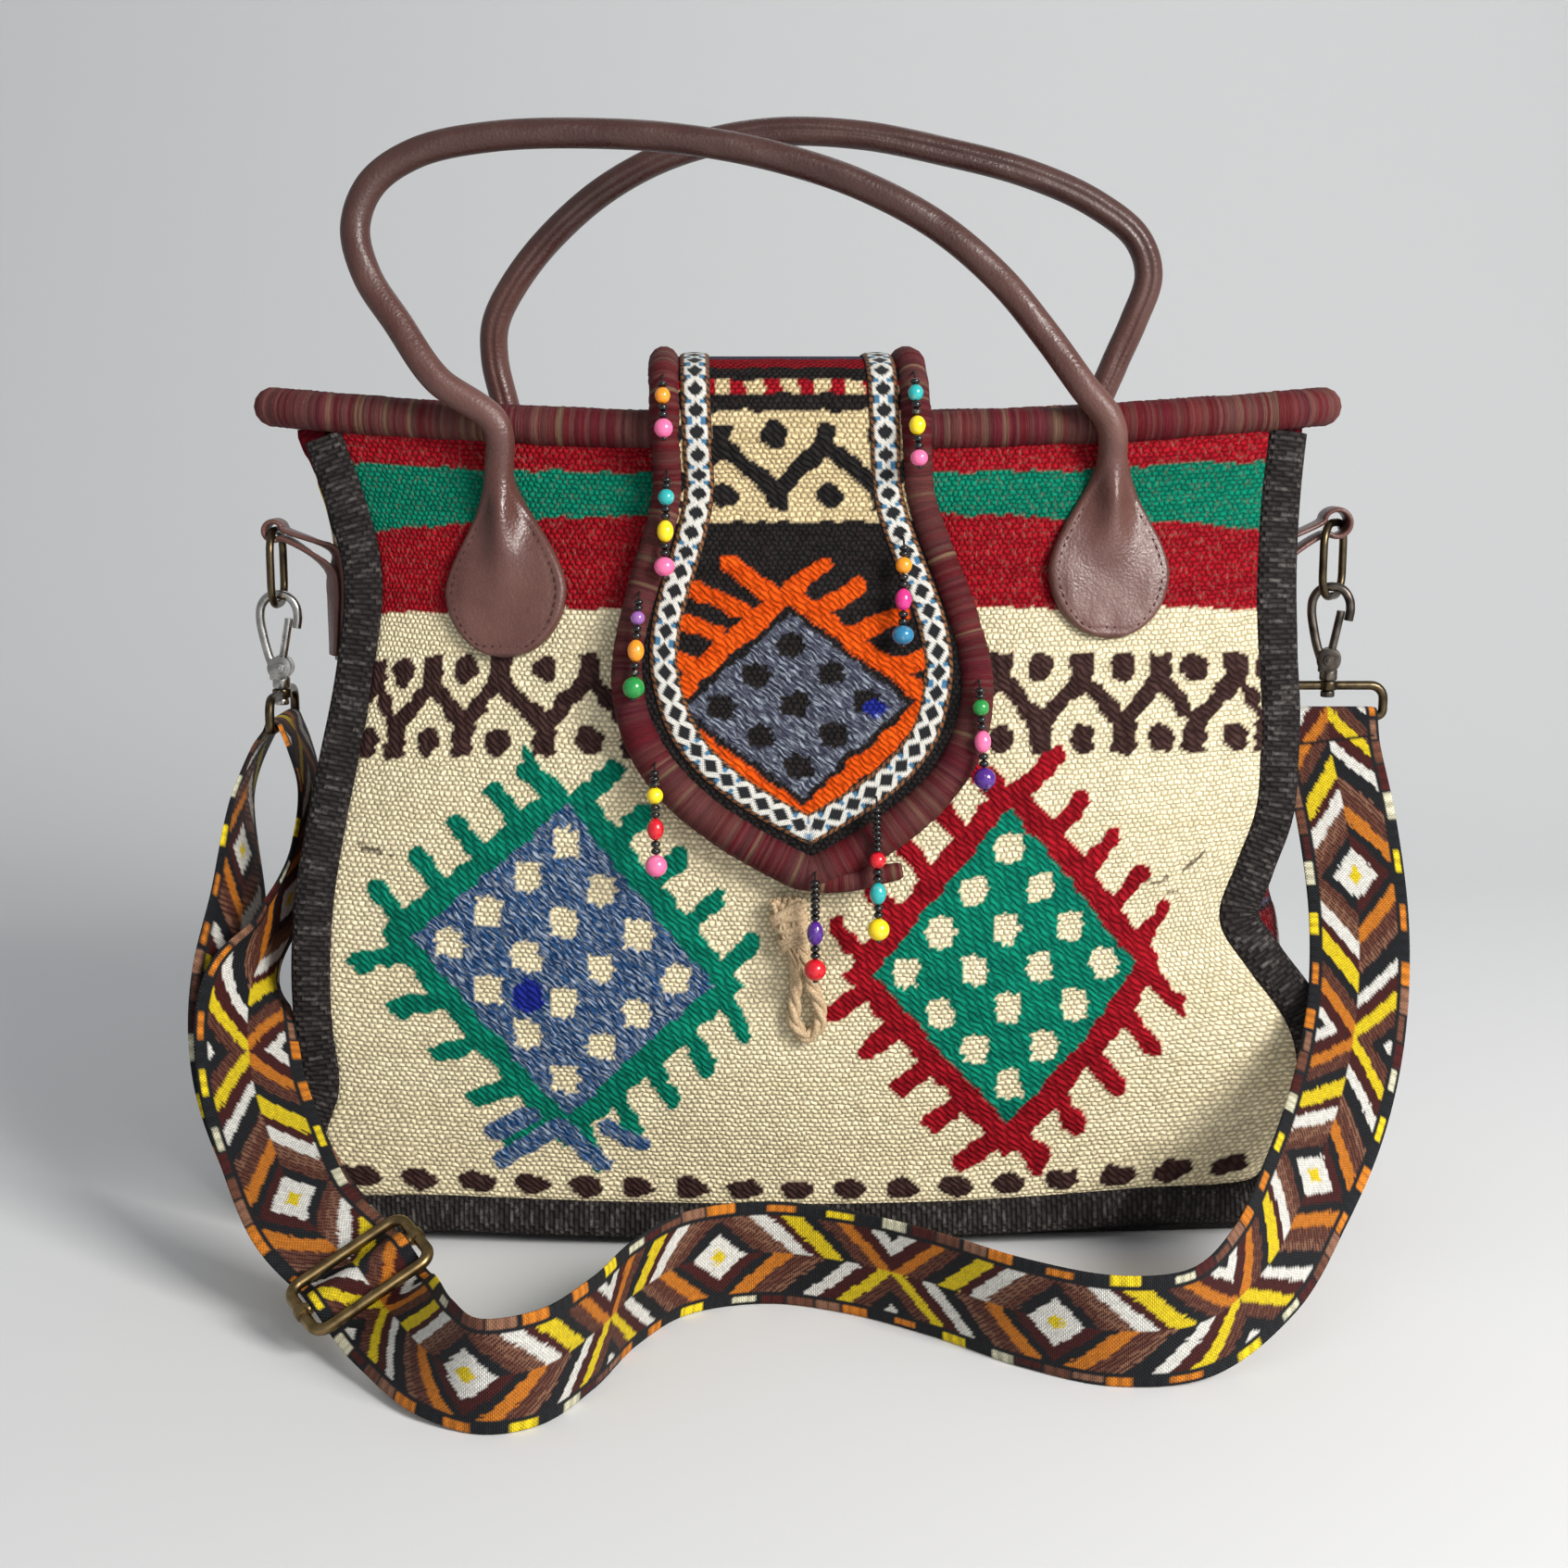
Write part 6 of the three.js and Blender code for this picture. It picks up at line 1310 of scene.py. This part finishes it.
def snap_hook(side, eye, turn, finish, slot):
    """Bow, cheeks, neck and headed post; then the sprung gate and its rivet."""
    pivot = 10
    outline = [
        (-2.4, 0, 8.5), (-4.6, 0, 15), (-6.1, 0, 21.5), (-7.2, 0, 29), (-6.6, 0, 33.6), (-4.2, 0, 36.9), (0, 0, 38.1),
        (4.2, 0, 36.9), (6.6, 0, 33.6), (7.25, 0, 29.6), (6.65, 0, 25.2),
    ]
    bow = bent_wire("bow", smooth_line(outline, False, 8), 1.75, False)
    cheeks = [turned_pin("cheek", 4.6, 2.0, (0, y, pivot), "Y", 0.35) for y in (-2.8, 2.8)]
    heel = cast_block("heel", (3.4, 5.4, 6.6), (-2.3, 0, 8.6), 0.5)
    web = cast_block("web", (5.4, 5.2, 2.4), (0, 0, 6.4), 0.4)
    neck = turned_pin("neck", 3.4, 4.2, (0, 0, 4.2), "Z", 0.5)
    post = turned_pin("post", 1.5, 7.0, (0, 0, 0.4), "Z", 0.1, 20)
    head = turned_pin("head", 2.7, 2.4, (0, 0, -3.3), "Z", 0.5)
    hook = fused([bow, *cheeks, heel, web, neck, post, head], f"{side}_snap_bow", eye, turn)
    settle(hook, finish, (f"{side}_hook",), slot, f"{side}_snap")
    bar = bent_wire("bar", [(0.2, 0, pivot), (1.8, 0, 18), (3.6, 0, 27.6), (3.75, 0, 28.9)], 1.58, False)
    knuckle = turned_pin("knuckle", 2.9, 2.7, (0, 0, pivot), "Y", 0.3)
    gate = fused([bar, knuckle], f"{side}_snap_gate", eye, turn)
    settle(gate, finish, (f"{side}_gate",), slot, f"{side}_lever")
    shank = turned_pin("shank", 1.2, 9.0, (0, 0, pivot), "Y", 0.1, 20)
    caps = [turned_pin("cap", 2.2, 0.9, (0, y, pivot), "Y", 0.38, 24) for y in (-4.4, 4.4)]
    dimples = [turned_pin("dimple", 0.9, 0.5, (0, y, pivot), "Y", 0.2, 16) for y in (-4.95, 4.95)]
    pin = fused([shank, *caps, *dimples], f"{side}_snap_rivet", eye, turn)
    settle(pin, finish, (f"{side}_gate_pin",), slot, f"{side}_snap")


def strap_metal(side, eye, turn):
    """Strap eye with its boss, and the oval ring that hangs in the tab."""
    loop = bent_wire("loop", rounded_loop(21.6, 6, 5.2, 2.6, -6), 1.8, True)
    boss = turned_pin("boss", 3.6, 3.6, (0, 0, 0), "Z", 0.6)
    strap_eye = fused([loop, boss], f"{side}_strap_eye", eye, math.pi / 2 if side == "left" else 0.0)
    settle(strap_eye, bronze, (f"{side}_eye",), "bronze")
    ring = bent_wire("ring", rounded_loop(11, RING_HALF_HEIGHT, 8, 8, RING_MIDDLE), 1.55, True)
    ring = fused([ring], f"{side}_oval_ring", eye, math.pi / 2 + 2.2 * turn)
    settle(ring, bronze, (f"{side}_ring",), "bronze")


def slider():
    """Loop with its collars and knuckles, and the cross bar."""
    run, face, width = slider_ways()
    rows = [(*row, place) for row, place in zip(np.stack([width, -face, -run], 1), metres(SLIDER_PLACE))]
    matrix = Matrix([*rows, (0, 0, 0, 1)])
    loop = bent_wire("loop", rounded_loop(SLIDER_HALF_WIDTH, SLIDER_HALF_LENGTH, 5, 5, 0), 2.1, True)
    ends = (-SLIDER_HALF_WIDTH, SLIDER_HALF_WIDTH)
    collars = [turned_pin("collar", 2.75, 4.6, (x, 0, 0), "Z", 0.7, 24) for x in ends]
    knuckles = [turned_pin("knuckle", 2.2, 2.4, (x, 0, 0), "X", 0.4, 24) for x in (-20.2, 20.2)]
    frame_piece = fused([loop, *collars, *knuckles], "slider_loop", matrix=matrix)
    settle(frame_piece, brass, ("slider_frame",), "bronze")
    bar = fused([turned_pin("bar", 1.5, 40.2, (0, 0, 0), "X", 0.2, 20)], "slider_cross_bar", matrix=matrix)
    settle(bar, brass, ("slider_bar",), "bronze")
    return frame_piece, bar


def ring_tab(side, name, eye, inner):
    """Leather strip folded round the ring and sewn to the side cloth beside the front tape."""
    high = eye[2] + RING_MIDDLE + RING_HALF_HEIGHT
    outer = inner + 1.2
    root = high - outer - 3

    def sewn(level, out, turn):
        heights = np.linspace(0.4, 1, 80)
        height = np.interp(level, gusset_point(side, np.full(80, turn), heights, 0)[:, 2], heights)
        here, ahead = (gusset_point(side, spot, height, 0) for spot in (turn, turn + 0.05))
        way = unit(ahead - here)
        normal = unit(np.cross(way, (0, 0, 1)))
        return (*(here + normal * np.sign(normal[0] * side) * out), *way)

    stations = [sewn(level, 1.3, -0.42) for level in np.linspace(root - 42, root - 8, 6)]
    stations.append(sewn(root - 1, 1.6, -0.34))
    start = math.pi if side > 0 else 0.0
    for turn in np.linspace(0.15, 2 * math.pi - 0.9, 14):
        angle = start - side * turn
        stations.append((eye[0] + outer * math.cos(angle), 0, high + outer * math.sin(angle), 0, 1, 0))
    stations.append(sewn(root - 8, 4.2, -0.34))
    stations += [sewn(level, 3.5, -0.42) for level in np.linspace(root - 16, root - 40, 4)]
    line, places = evenly(smooth_line(stations, False, 8), 0.8)
    line, way = line[:, :3], line[:, 3:]
    run = unit(np.gradient(line, axis=0))
    out = unit(np.cross(run, way))
    way = np.cross(out, run)
    turn = full_turn(16)
    wide, deep = 6 * squared(np.cos(turn), 0.35), 1.05 * squared(np.sin(turn), 0.6)
    piece = swept(name + "_ring_tab", section(line, way, out, wide, deep))
    settle(piece, brown_leather, (name + "_tab",), "brown_leather")


# Leather handles


def leaf_half_width(share):
    """Half width of a handle's teardrop end along its length, from its lowest point."""
    widest = 0.4
    low = LEAF_HALF_WIDTH * np.sqrt(np.clip(1 - ((widest - share) / widest) ** 2, 0, 1))
    high = HANDLE_RADIUS + LEAF_SPREAD * step_up(1.08, 0.36, share)
    return np.maximum(np.where(share < widest, low, high), 0.4)


def handle(facing, feet, arch, name, node_name):
    """Rolled leather that lies as a ridge on a flat stitched leaf at both ends."""
    flatness = along([0, 0.55, 0.75, 1], [1, 1, 0.6, 0])

    def on_panel(x, up, out):
        point = panel_face(facing, x / PANEL_HALF_WIDTH, up / PANEL_HEIGHT)
        return point + (0, facing * out, 0)

    def thickness(flat):
        return HANDLE_RADIUS + (LEAF_RISE - HANDLE_RADIUS) * flat

    def foot(x, up):
        shares = (0, 0.3, 0.6, 1)
        return [on_panel(x, up + share * FOOT_LENGTH, 1.2 + thickness(float(flatness(share)))) for share in shares]

    def crossing(x):
        depth = abs(panel_face(facing, x / PANEL_HALF_WIDTH, 1.0)[1]) + 11.6
        return np.array([x, facing * depth, roll_height(x)])

    (x0, up0), (x1, up1) = feet
    points = [*foot(x0, up0), crossing(x0), *arch, crossing(x1), *foot(x1, up1)[::-1]]
    line, places = evenly(smooth_line(points, False, 30), 1.0)
    length = places[-1]
    share = np.minimum(places, length - places) / FOOT_LENGTH
    flat = flatness(share)
    tilt = []
    step, leaf_middle = 1.5, 21
    for x, up in feet:
        up += leaf_middle
        side = on_panel(x + step, up, 0) - on_panel(x - step, up, 0)
        rise = on_panel(x, up + step, 0) - on_panel(x, up - step, 0)
        normal = unit(np.cross(side, rise))
        tilt.append(normal * np.sign(normal[1] * facing))
    lean = np.where((places < length / 2)[:, None], tilt[0], tilt[1])
    outward = np.array([0, facing, 0]) * (1 - flat)[:, None] + lean * flat[:, None]
    _, across, out = sides_of(line, outward)
    thick = thickness(flat)
    half = np.where(share < 1.06, leaf_half_width(share), HANDLE_RADIUS)
    turn = full_turn(44)
    c, s = np.cos(turn), np.sin(turn)
    x = half[:, None] * c
    rim = np.minimum(half[:, None] - np.abs(x), share[:, None] * FOOT_LENGTH * 1.2)
    pad = 3.2 * np.sqrt(np.clip(1 - (1 - np.clip(rim / 2.4, 0, 1)) ** 2, 0, 1))
    groove = 0.55 * np.exp(-(((rim - STITCH_INSET) / 0.7) ** 2)) * (share < 0.93)[:, None]
    rolled = step_up(0.30, 0.92, share)[:, None]
    ridge = 8.2 * rolled * np.exp(-((x / (5.2 + 2.5 * (1 - rolled))) ** 2))
    crease = 0.35 * wander(x / 5, places[:, None] / 9, 95) * 2 * np.clip(rim / 4, 0, 1)
    leaf_height = np.where(s > 1e-6, pad - groove + ridge + crease, 0.0) - thick[:, None]
    blend = step_up(1.08, 0.78, share)[:, None]
    wide = np.where(share[:, None] < 1.08, x, HANDLE_RADIUS * c)
    lumps = 0.22 * wander(places[:, None] / 14, turn * 0.9, 96)
    seam = 0.9 * np.exp(-(((turn - 1.5 * math.pi) / 0.16) ** 2))
    height = (leaf_height * blend + HANDLE_RADIUS * s * (1 - blend)) * (1 + lumps * (1 - blend)) + seam * (1 - blend)
    piece = swept(name, section(line, across, out, wide, height))
    settle(piece, brown_leather, (node_name,), "brown_leather")
    leaf_stitches(name + "_stitches", line, across, out, share, half, thick)


def leaf_stitches(name, line, across, out, share, half, thick):
    """Rows of small stitches round each leaf, inset from its edge."""
    lift, size, long, step = 2.9, 0.34, 5, 7
    points, faces = [], []
    near = share[: len(share) // 2]
    leaf = np.arange(np.searchsorted(near, 0.055), np.searchsorted(near, 0.9))
    for index in (leaf, len(line) - 1 - leaf):
        aside = np.maximum(half[index] - STITCH_INSET, 0)
        left, right = (
            line[index] + across[index] * (side * aside)[:, None] + out[index] * (lift - thick[index])[:, None]
            for side in (-1, 1)
        )
        path, _ = evenly(np.vstack([left[::-1], right]), 0.45)
        normal = out[index].mean(0)
        for first in range(0, len(path) - 6, step):
            way = unit(np.cross(normal, unit(path[first + long] - path[first])))
            faces.append(grid_faces(3, 4, True, False, len(points)))
            for spot, rise, grow in ((0, -0.35, 0.5), (2, 0.25, 1), (long, -0.35, 0.5)):
                for x, z in ((-size, 0), (0, size), (size, 0), (0, -size)):
                    points.append(path[first + spot] + way * x * grow + normal * (z * grow + rise))
    piece = make_mesh(name, np.array(points), np.concatenate(faces))
    settle(piece, stitch_thread, (), "brown_leather")


# Bead strands and twine loop


def bead(radius, length, place, lean, colour, segments, rings):
    """Round bead that leans with its strand."""
    bpy.ops.mesh.primitive_uv_sphere_add(segments=segments, ring_count=rings, radius=1, location=metres(place))
    made = bpy.context.object
    made.scale = metres((radius, radius, length / 2))
    made.rotation_euler = (lean, 0, 0)
    bpy.ops.object.transform_apply(location=True, rotation=True, scale=True)
    bpy.ops.object.shade_smooth()
    paint = made.data.color_attributes.new("yarn", "FLOAT_COLOR", "POINT")
    paint.data.foreach_set("color", np.tile((*colour, 1), len(made.data.vertices)).astype(np.float32))
    return made


def flap_front(level):
    """Depth of the flap's middle layer on the front at a height above the floor."""
    front = flap_middle[: int(np.argmax(flap_middle[:, 2]))]
    return np.interp(level, front[:, 2], front[:, 1])


def trim_place(side, inset, level):
    """Sideways place of a trim on the flap's front at a height above the floor."""
    edge = tongue_edge(inset)
    points = on_flap(edge[:, 0], edge[:, 1], 0)[(edge[:, 0] * side >= 0)]
    points = points[points[:, 1] < 0]
    order = np.argsort(points[:, 2])
    return np.interp(level, points[order, 2], points[order, 0])


def bead_strand(number, side, sewn, top, fall, beads, inks, sway):
    """Seed beads, painted beads with seeds between them, and the thread that holds them."""
    gap, clear, seed_radius, seed_length, seed_ink = 5, 5.9, 1.8, 2.1, INK * 0.2
    length = sum(size + gap for _, size in beads) + fall - gap
    upper = flap_front(top)
    slope = (flap_front(top - length) - upper) / length
    downs = np.linspace(0, length, 20)
    bulge = max(0, float(np.max(upper + slope * downs - flap_front(top - downs))))
    stand = (clear + max(radius for radius, _ in beads) + bulge) * math.hypot(1, slope)
    x = trim_place(side, BINDING_RADIUS if sewn == "binding" else RIBBON_MIDDLE, top)
    start = np.array([x, upper - stand, top])
    lean = math.atan(slope)
    painted, seeds = [], []

    def at(down):
        return start + (sway * down / length, slope * down, -down)

    def seed_run(first, run):
        count = max(int(round(run / seed_length)), 1)
        for spot in range(count):
            place = at(first + (spot + 0.5) * run / count)
            seeds.append(bead(seed_radius, run / count * 1.08, place, lean, seed_ink, 12, 6))

    seed_run(0, fall)
    level = fall
    for spot, ((radius, size), ink) in enumerate(zip(beads, inks)):
        if spot:
            seed_run(level, gap)
            level += gap
        painted.append(bead(radius, size, at(level + size / 2), lean, ink, 24, 14))
        level += size
    seeds.append(bead(1.0, 1.2, at(level + 0.3), lean, seed_ink, 10, 6))
    beads_piece = fused(painted, f"strand_{number}_beads")
    seeds_piece = fused(seeds, f"strand_{number}_seeds")
    settle(beads_piece, lacquer, (), "painted_beads")
    settle(seeds_piece, lacquer, (), "painted_beads")
    sewn_at = start + (0, stand - 0.5, 2.5)
    path = smooth_line([sewn_at, (sewn_at + start) / 2 + (0, 0, 1.0), start, at(length * 0.5), at(level)], False, 10)
    path, places = evenly(path, 0.8)
    thread = tube(f"strand_{number}_thread", path, 0.4, 6, (1, 0, 0))
    settle(thread, black_thread, (f"bead_strand_{number}",), "painted_beads")
    [tuple(p) for p in path * MM]


def fibres(name, strands):
    """Mesh of round strands, each with its line, the way out of it, its radius along it and its sides."""
    points, faces, start = [], [], 0
    for line, out, radius, sides in strands:
        _, across, up = sides_of(line, out)
        turn = full_turn(sides)
        radius = np.reshape(radius, (-1, 1))
        points.append(section(line, across, up, radius * np.cos(turn), radius * np.sin(turn)).reshape(-1, 3))
        faces.append(grid_faces(len(line), sides, True, False, start))
        start += len(points[-1])
    return make_mesh(name, np.concatenate(points), np.concatenate(faces))


def jute_loop():
    """Loop of jute twine under the flap's tip, with a gathered neck."""
    panel_rise, outward = 281, (0, -1, 0)

    def place(x, out, z):
        return (x, panel_face(-1, x / PANEL_HALF_WIDTH, (z - SEAM_LEVEL) / panel_rise)[1] - out, z)

    points = [place(*spot) for spot in (
        (-4.5, 5.5, 137), (-3.0, 5.0, 128), (-1.2, 4.6, 118), (-0.6, 4.0, 107), (-1.2, 3.6, 98), (-0.9, 3.4, 91.5),
        (3.6, 3.4, 86.4), (8.2, 3.6, 91.5), (8.0, 4.2, 98.5), (5.0, 4.6, 107), (2.2, 5.0, 118), (0.4, 5.6, 128),
        (-0.8, 6.0, 137),
    )]
    line, places = evenly(smooth_line(points, False, 12), 0.7)
    _, across, out = sides_of(line, outward)
    plies = []
    for ply in range(3):
        turn = places / 11 * math.pi + ply * 2 * math.pi / 3
        strand = line + 1.25 * (across * np.cos(turn)[:, None] + out * np.sin(turn)[:, None])
        plies.append((strand, outward, 1.4 + 0.3 * wander(places / 2.5, ply + 0.5, 97), 8))
    piece = fibres("twine_loop", plies)
    settle(piece, jute, ("jute_loop",), "jute")
    [tuple(p) for p in line * MM]
    wisps = []
    for wisp in range(34):
        chance = speck(wisp, np.arange(1, 10), 98).reshape(3, 3)
        ends = np.array([(-9.5, 3.0, 137), (-6.5, 3.5, 127), (-2.4, 4.0, 113)])
        ends += chance * [(12, 5, 2), (8, 5, 3), (4.8, 3.6, 8)]
        strand, _ = evenly(smooth_line([place(*end) for end in ends], False, 10), 1.2)
        wisps.append((strand, outward, 0.95 * np.linspace(1.1, 0.35, len(strand)), 6))
    turn = np.linspace(0, 9 * math.pi, 170)
    fall = turn / turn[-1]
    coil = np.stack([
        -3.9 + 2.6 * fall + (6.0 - 2.0 * fall) * np.cos(turn),
        -4.9 - 3.0 * np.sin(turn),
        135 - 13.5 * fall + 1.1 * np.sin(turn * 1.7) + 1.2 * np.cos(turn),
    ], -1)
    coil[:, 1] += panel_face(-1, 0.01, (coil[:, 2] - SEAM_LEVEL) / panel_rise)[..., 1]
    gathered = fibres("twine_neck", [*wisps, (coil, (0, 0, 1), 1.6, 7)])
    settle(gathered, jute, (), "jute")


# Finishes and pieces of the bag


kilim = kilim_finish("kilim weave")
tape_weave = tape_finish("charcoal tape", CHARCOAL, linear(108, 103, 100), 3.4, 1.9, 0.7)
base_weave = tape_finish("bottom weave", CHARCOAL * 0.8, linear(88, 84, 84), 2.6, 1.5)
lining_weave = tape_finish("lining weave", linear(46, 42, 44), linear(70, 64, 64), 0.9, 0.6, 0.3)
wound_yarn = wrapped_finish("wound yarn")
ribbon_weave = braid_finish("ribbon weave", 0.9, 0.45)

panel(-1, "front_cloth", "front_panel", "kilim_front", ((BLUE, TEAL), (TEAL, MADDER), 0.6, 0.0))
panel(1, "back_cloth", "back_panel", "kilim_back", ((TEAL, MADDER), (BLUE, TEAL), 0.0, 0.6))
gusset(-1, "left_side_cloth", "left_gusset")
gusset(1, "right_side_cloth", "right_gusset")
base_cloth()
lining_sack()
seam_tape(-1, "front_edge_tape", "front_tape")
seam_tape(1, "back_edge_tape", "back_tape")
rim_roll()
flap_cloth()
flap_binding()
flap_ribbon()

strap_weave = braid_finish("strap weave", 1.3, 0.62, 0.6, 0.2)
brown_leather = leather_finish("brown leather", linear(84, 52, 47), linear(104, 70, 63))
stitch_thread = thread_finish("stitch thread", linear(58, 36, 34), linear(88, 58, 54))
black_thread = thread_finish("black thread", linear(20, 18, 18), linear(44, 40, 40))
jute = thread_finish("jute fibre", linear(152, 126, 94), linear(214, 190, 156), 1400.0, 0.9)
lacquer = lacquer_finish("painted wood")
bronze = metal_finish("aged bronze", linear(92, 80, 60), linear(40, 35, 28), 0.32, 0.8)
brass = metal_finish("aged brass", linear(140, 118, 80), linear(70, 58, 40), 0.34, 0.7)
nickel = metal_finish("nickel", linear(178, 176, 172), linear(88, 86, 84), 0.24, 0.6)
gunmetal = metal_finish("gunmetal", linear(108, 100, 92), linear(46, 42, 40), 0.34, 0.8)

slider_pieces = slider()
strap, strap_middle, strap_places = shoulder_strap()
[tuple(p) for p in strap_middle[::-4] * MM]
for side, sign, eye, turn, finish, slot, inner in (
    ("left", -1, LEFT_EYE, LEFT_TURN, nickel, "nickel", 2.4),
    ("right", 1, RIGHT_EYE, RIGHT_TURN, gunmetal, "gunmetal", 3.9),
):
    snap_hook(side, eye, turn, finish, slot)
    strap_metal(side, eye, turn)
    ring_tab(sign, side, eye, inner)
handle(-1, FRONT_FEET, FRONT_ARCH, "front_rolled_handle", "front_handle")
handle(1, BACK_FEET, BACK_ARCH, "back_rolled_handle", "back_handle")

# Colours of the painted beads
PINK, LILAC, PURPLE = linear(240, 110, 160), linear(150, 96, 168), linear(76, 30, 130)
YELLOW, SCARLET, LEAF = linear(250, 216, 20), linear(206, 16, 34), linear(30, 140, 62)
AQUA, TANGERINE, MAGENTA = linear(40, 170, 170), linear(246, 150, 30), linear(214, 44, 130)
SKY = linear(36, 120, 160)
for number, strand in enumerate((
    (-1, "binding", 290, 4, [(3, 6), (3, 8), (3.8, 7)], (AQUA, YELLOW, PINK), -0.8),
    (-1, "binding", 247, 4, [(2.6, 5), (3, 8), (4, 8)], (LILAC, TANGERINE, LEAF), -2.0),
    (-1, "binding", 187, 6, [(3, 6), (3, 8), (4, 8)], (YELLOW, SCARLET, PINK), 0.6),
    (1, "binding", 148, 15, [(3, 9), (4, 8)], (PURPLE, SCARLET), 0.0),
    (1, "ribbon", 174, 16, [(3, 6), (3, 8), (4, 8)], (SCARLET, AQUA, YELLOW), 0.8),
    (1, "binding", 216, 4, [(3, 6), (3, 8), (4, 8)], (LEAF, PINK, PURPLE), 2.0),
    (1, "ribbon", 266, 4, [(3, 6), (3, 8), (4, 7)], (TANGERINE, MAGENTA, SKY), -0.6),
    (-1, "binding", 324, 2, [(2.8, 6), (3.4, 7)], (TANGERINE, PINK), 0.8),
    (1, "binding", 325, 2, [(2.8, 6), (3, 7), (3.2, 6)], (AQUA, YELLOW, PINK), 1.5),
)):
    bead_strand(number + 1, *strand)
jute_loop()


# Camera, floor and light


def camera():
    """Camera at the height and slant of the picture."""
    place, dip = (-0.005, -0.842, 0.315), 9.75
    bpy.ops.object.camera_add(location=place, rotation=(math.radians(90 - dip), 0, 0))
    made = bpy.context.object
    made.data.sensor_width = 36
    made.data.lens = 50.4
    bpy.context.scene.camera = made


def pick_edges(piece, wanted):
    """Selects the edges of a piece whose two ends are wanted, and stays in edit mode."""
    bpy.ops.object.mode_set(mode="EDIT")
    bpy.ops.mesh.select_mode(type="EDGE")
    bpy.ops.mesh.select_all(action="DESELECT")
    bpy.ops.object.mode_set(mode="OBJECT")
    for edge in piece.data.edges:
        edge.select = all(wanted(piece.data.vertices[spot].co) for spot in edge.vertices)
    bpy.ops.object.mode_set(mode="EDIT")


def studio_floor():
    """Pale floor that curves up into a wall."""
    size, middle, wall_height, curve = 8, -2.2, 5, 1.2
    bpy.ops.mesh.primitive_plane_add(size=size, location=(0, middle, 0))
    floor = bpy.context.object
    floor.name = "studio_floor"
    bpy.ops.object.transform_apply(location=True)
    pick_edges(floor, lambda end: end.y > 1)
    bpy.ops.mesh.extrude_region_move(TRANSFORM_OT_translate={"value": (0, 0, wall_height)})
    pick_edges(floor, lambda end: end.y > 1 and end.z < 0.1)
    bpy.ops.mesh.bevel(offset=curve, offset_pct=0, segments=16, affect="EDGES")
    bpy.ops.object.mode_set(mode="OBJECT")
    bpy.ops.object.shade_smooth()
    paper, _, shader = new_finish("studio paper", 0.9, 0.1)
    shader.inputs["Base Color"].default_value = (0.7, 0.71, 0.718, 1)
    floor.data.materials.append(paper)


def lamp(name, place, aim, size, energy, colour):
    """Square lamp turned to what it lights."""
    bpy.ops.object.light_add(type="AREA", location=place)
    made = bpy.context.object
    made.name = name
    made.data.size = size
    made.data.energy = energy
    made.data.color = colour
    made.rotation_euler = (Vector(aim) - Vector(place)).to_track_quat("-Z", "Y").to_euler()


def studio_light():
    """Key from the right, weak fill and rim, and an even sky."""
    lamp("key", (1.2, -1.3, 1.02), (0, 0, 0.15), 0.7, 48, (1, 0.97, 0.93))
    lamp("fill", (0.5, -2.0, 0.7), (0, 0, 0.15), 1.6, 6, (0.93, 0.96, 1))
    lamp("rim", (0.3, 1.6, 1.6), (0, 0, 0.2), 1.4, 5, (1, 1, 1))
    world = bpy.data.worlds.new("studio")
    bpy.context.scene.world = world
    world.use_nodes = True
    background = world.node_tree.nodes["Background"]
    background.inputs["Color"].default_value = (0.95, 0.97, 1, 1)
    background.inputs["Strength"].default_value = 0.39
    bpy.context.scene.view_settings.view_transform = "Standard"


camera()
studio_floor()
studio_light()
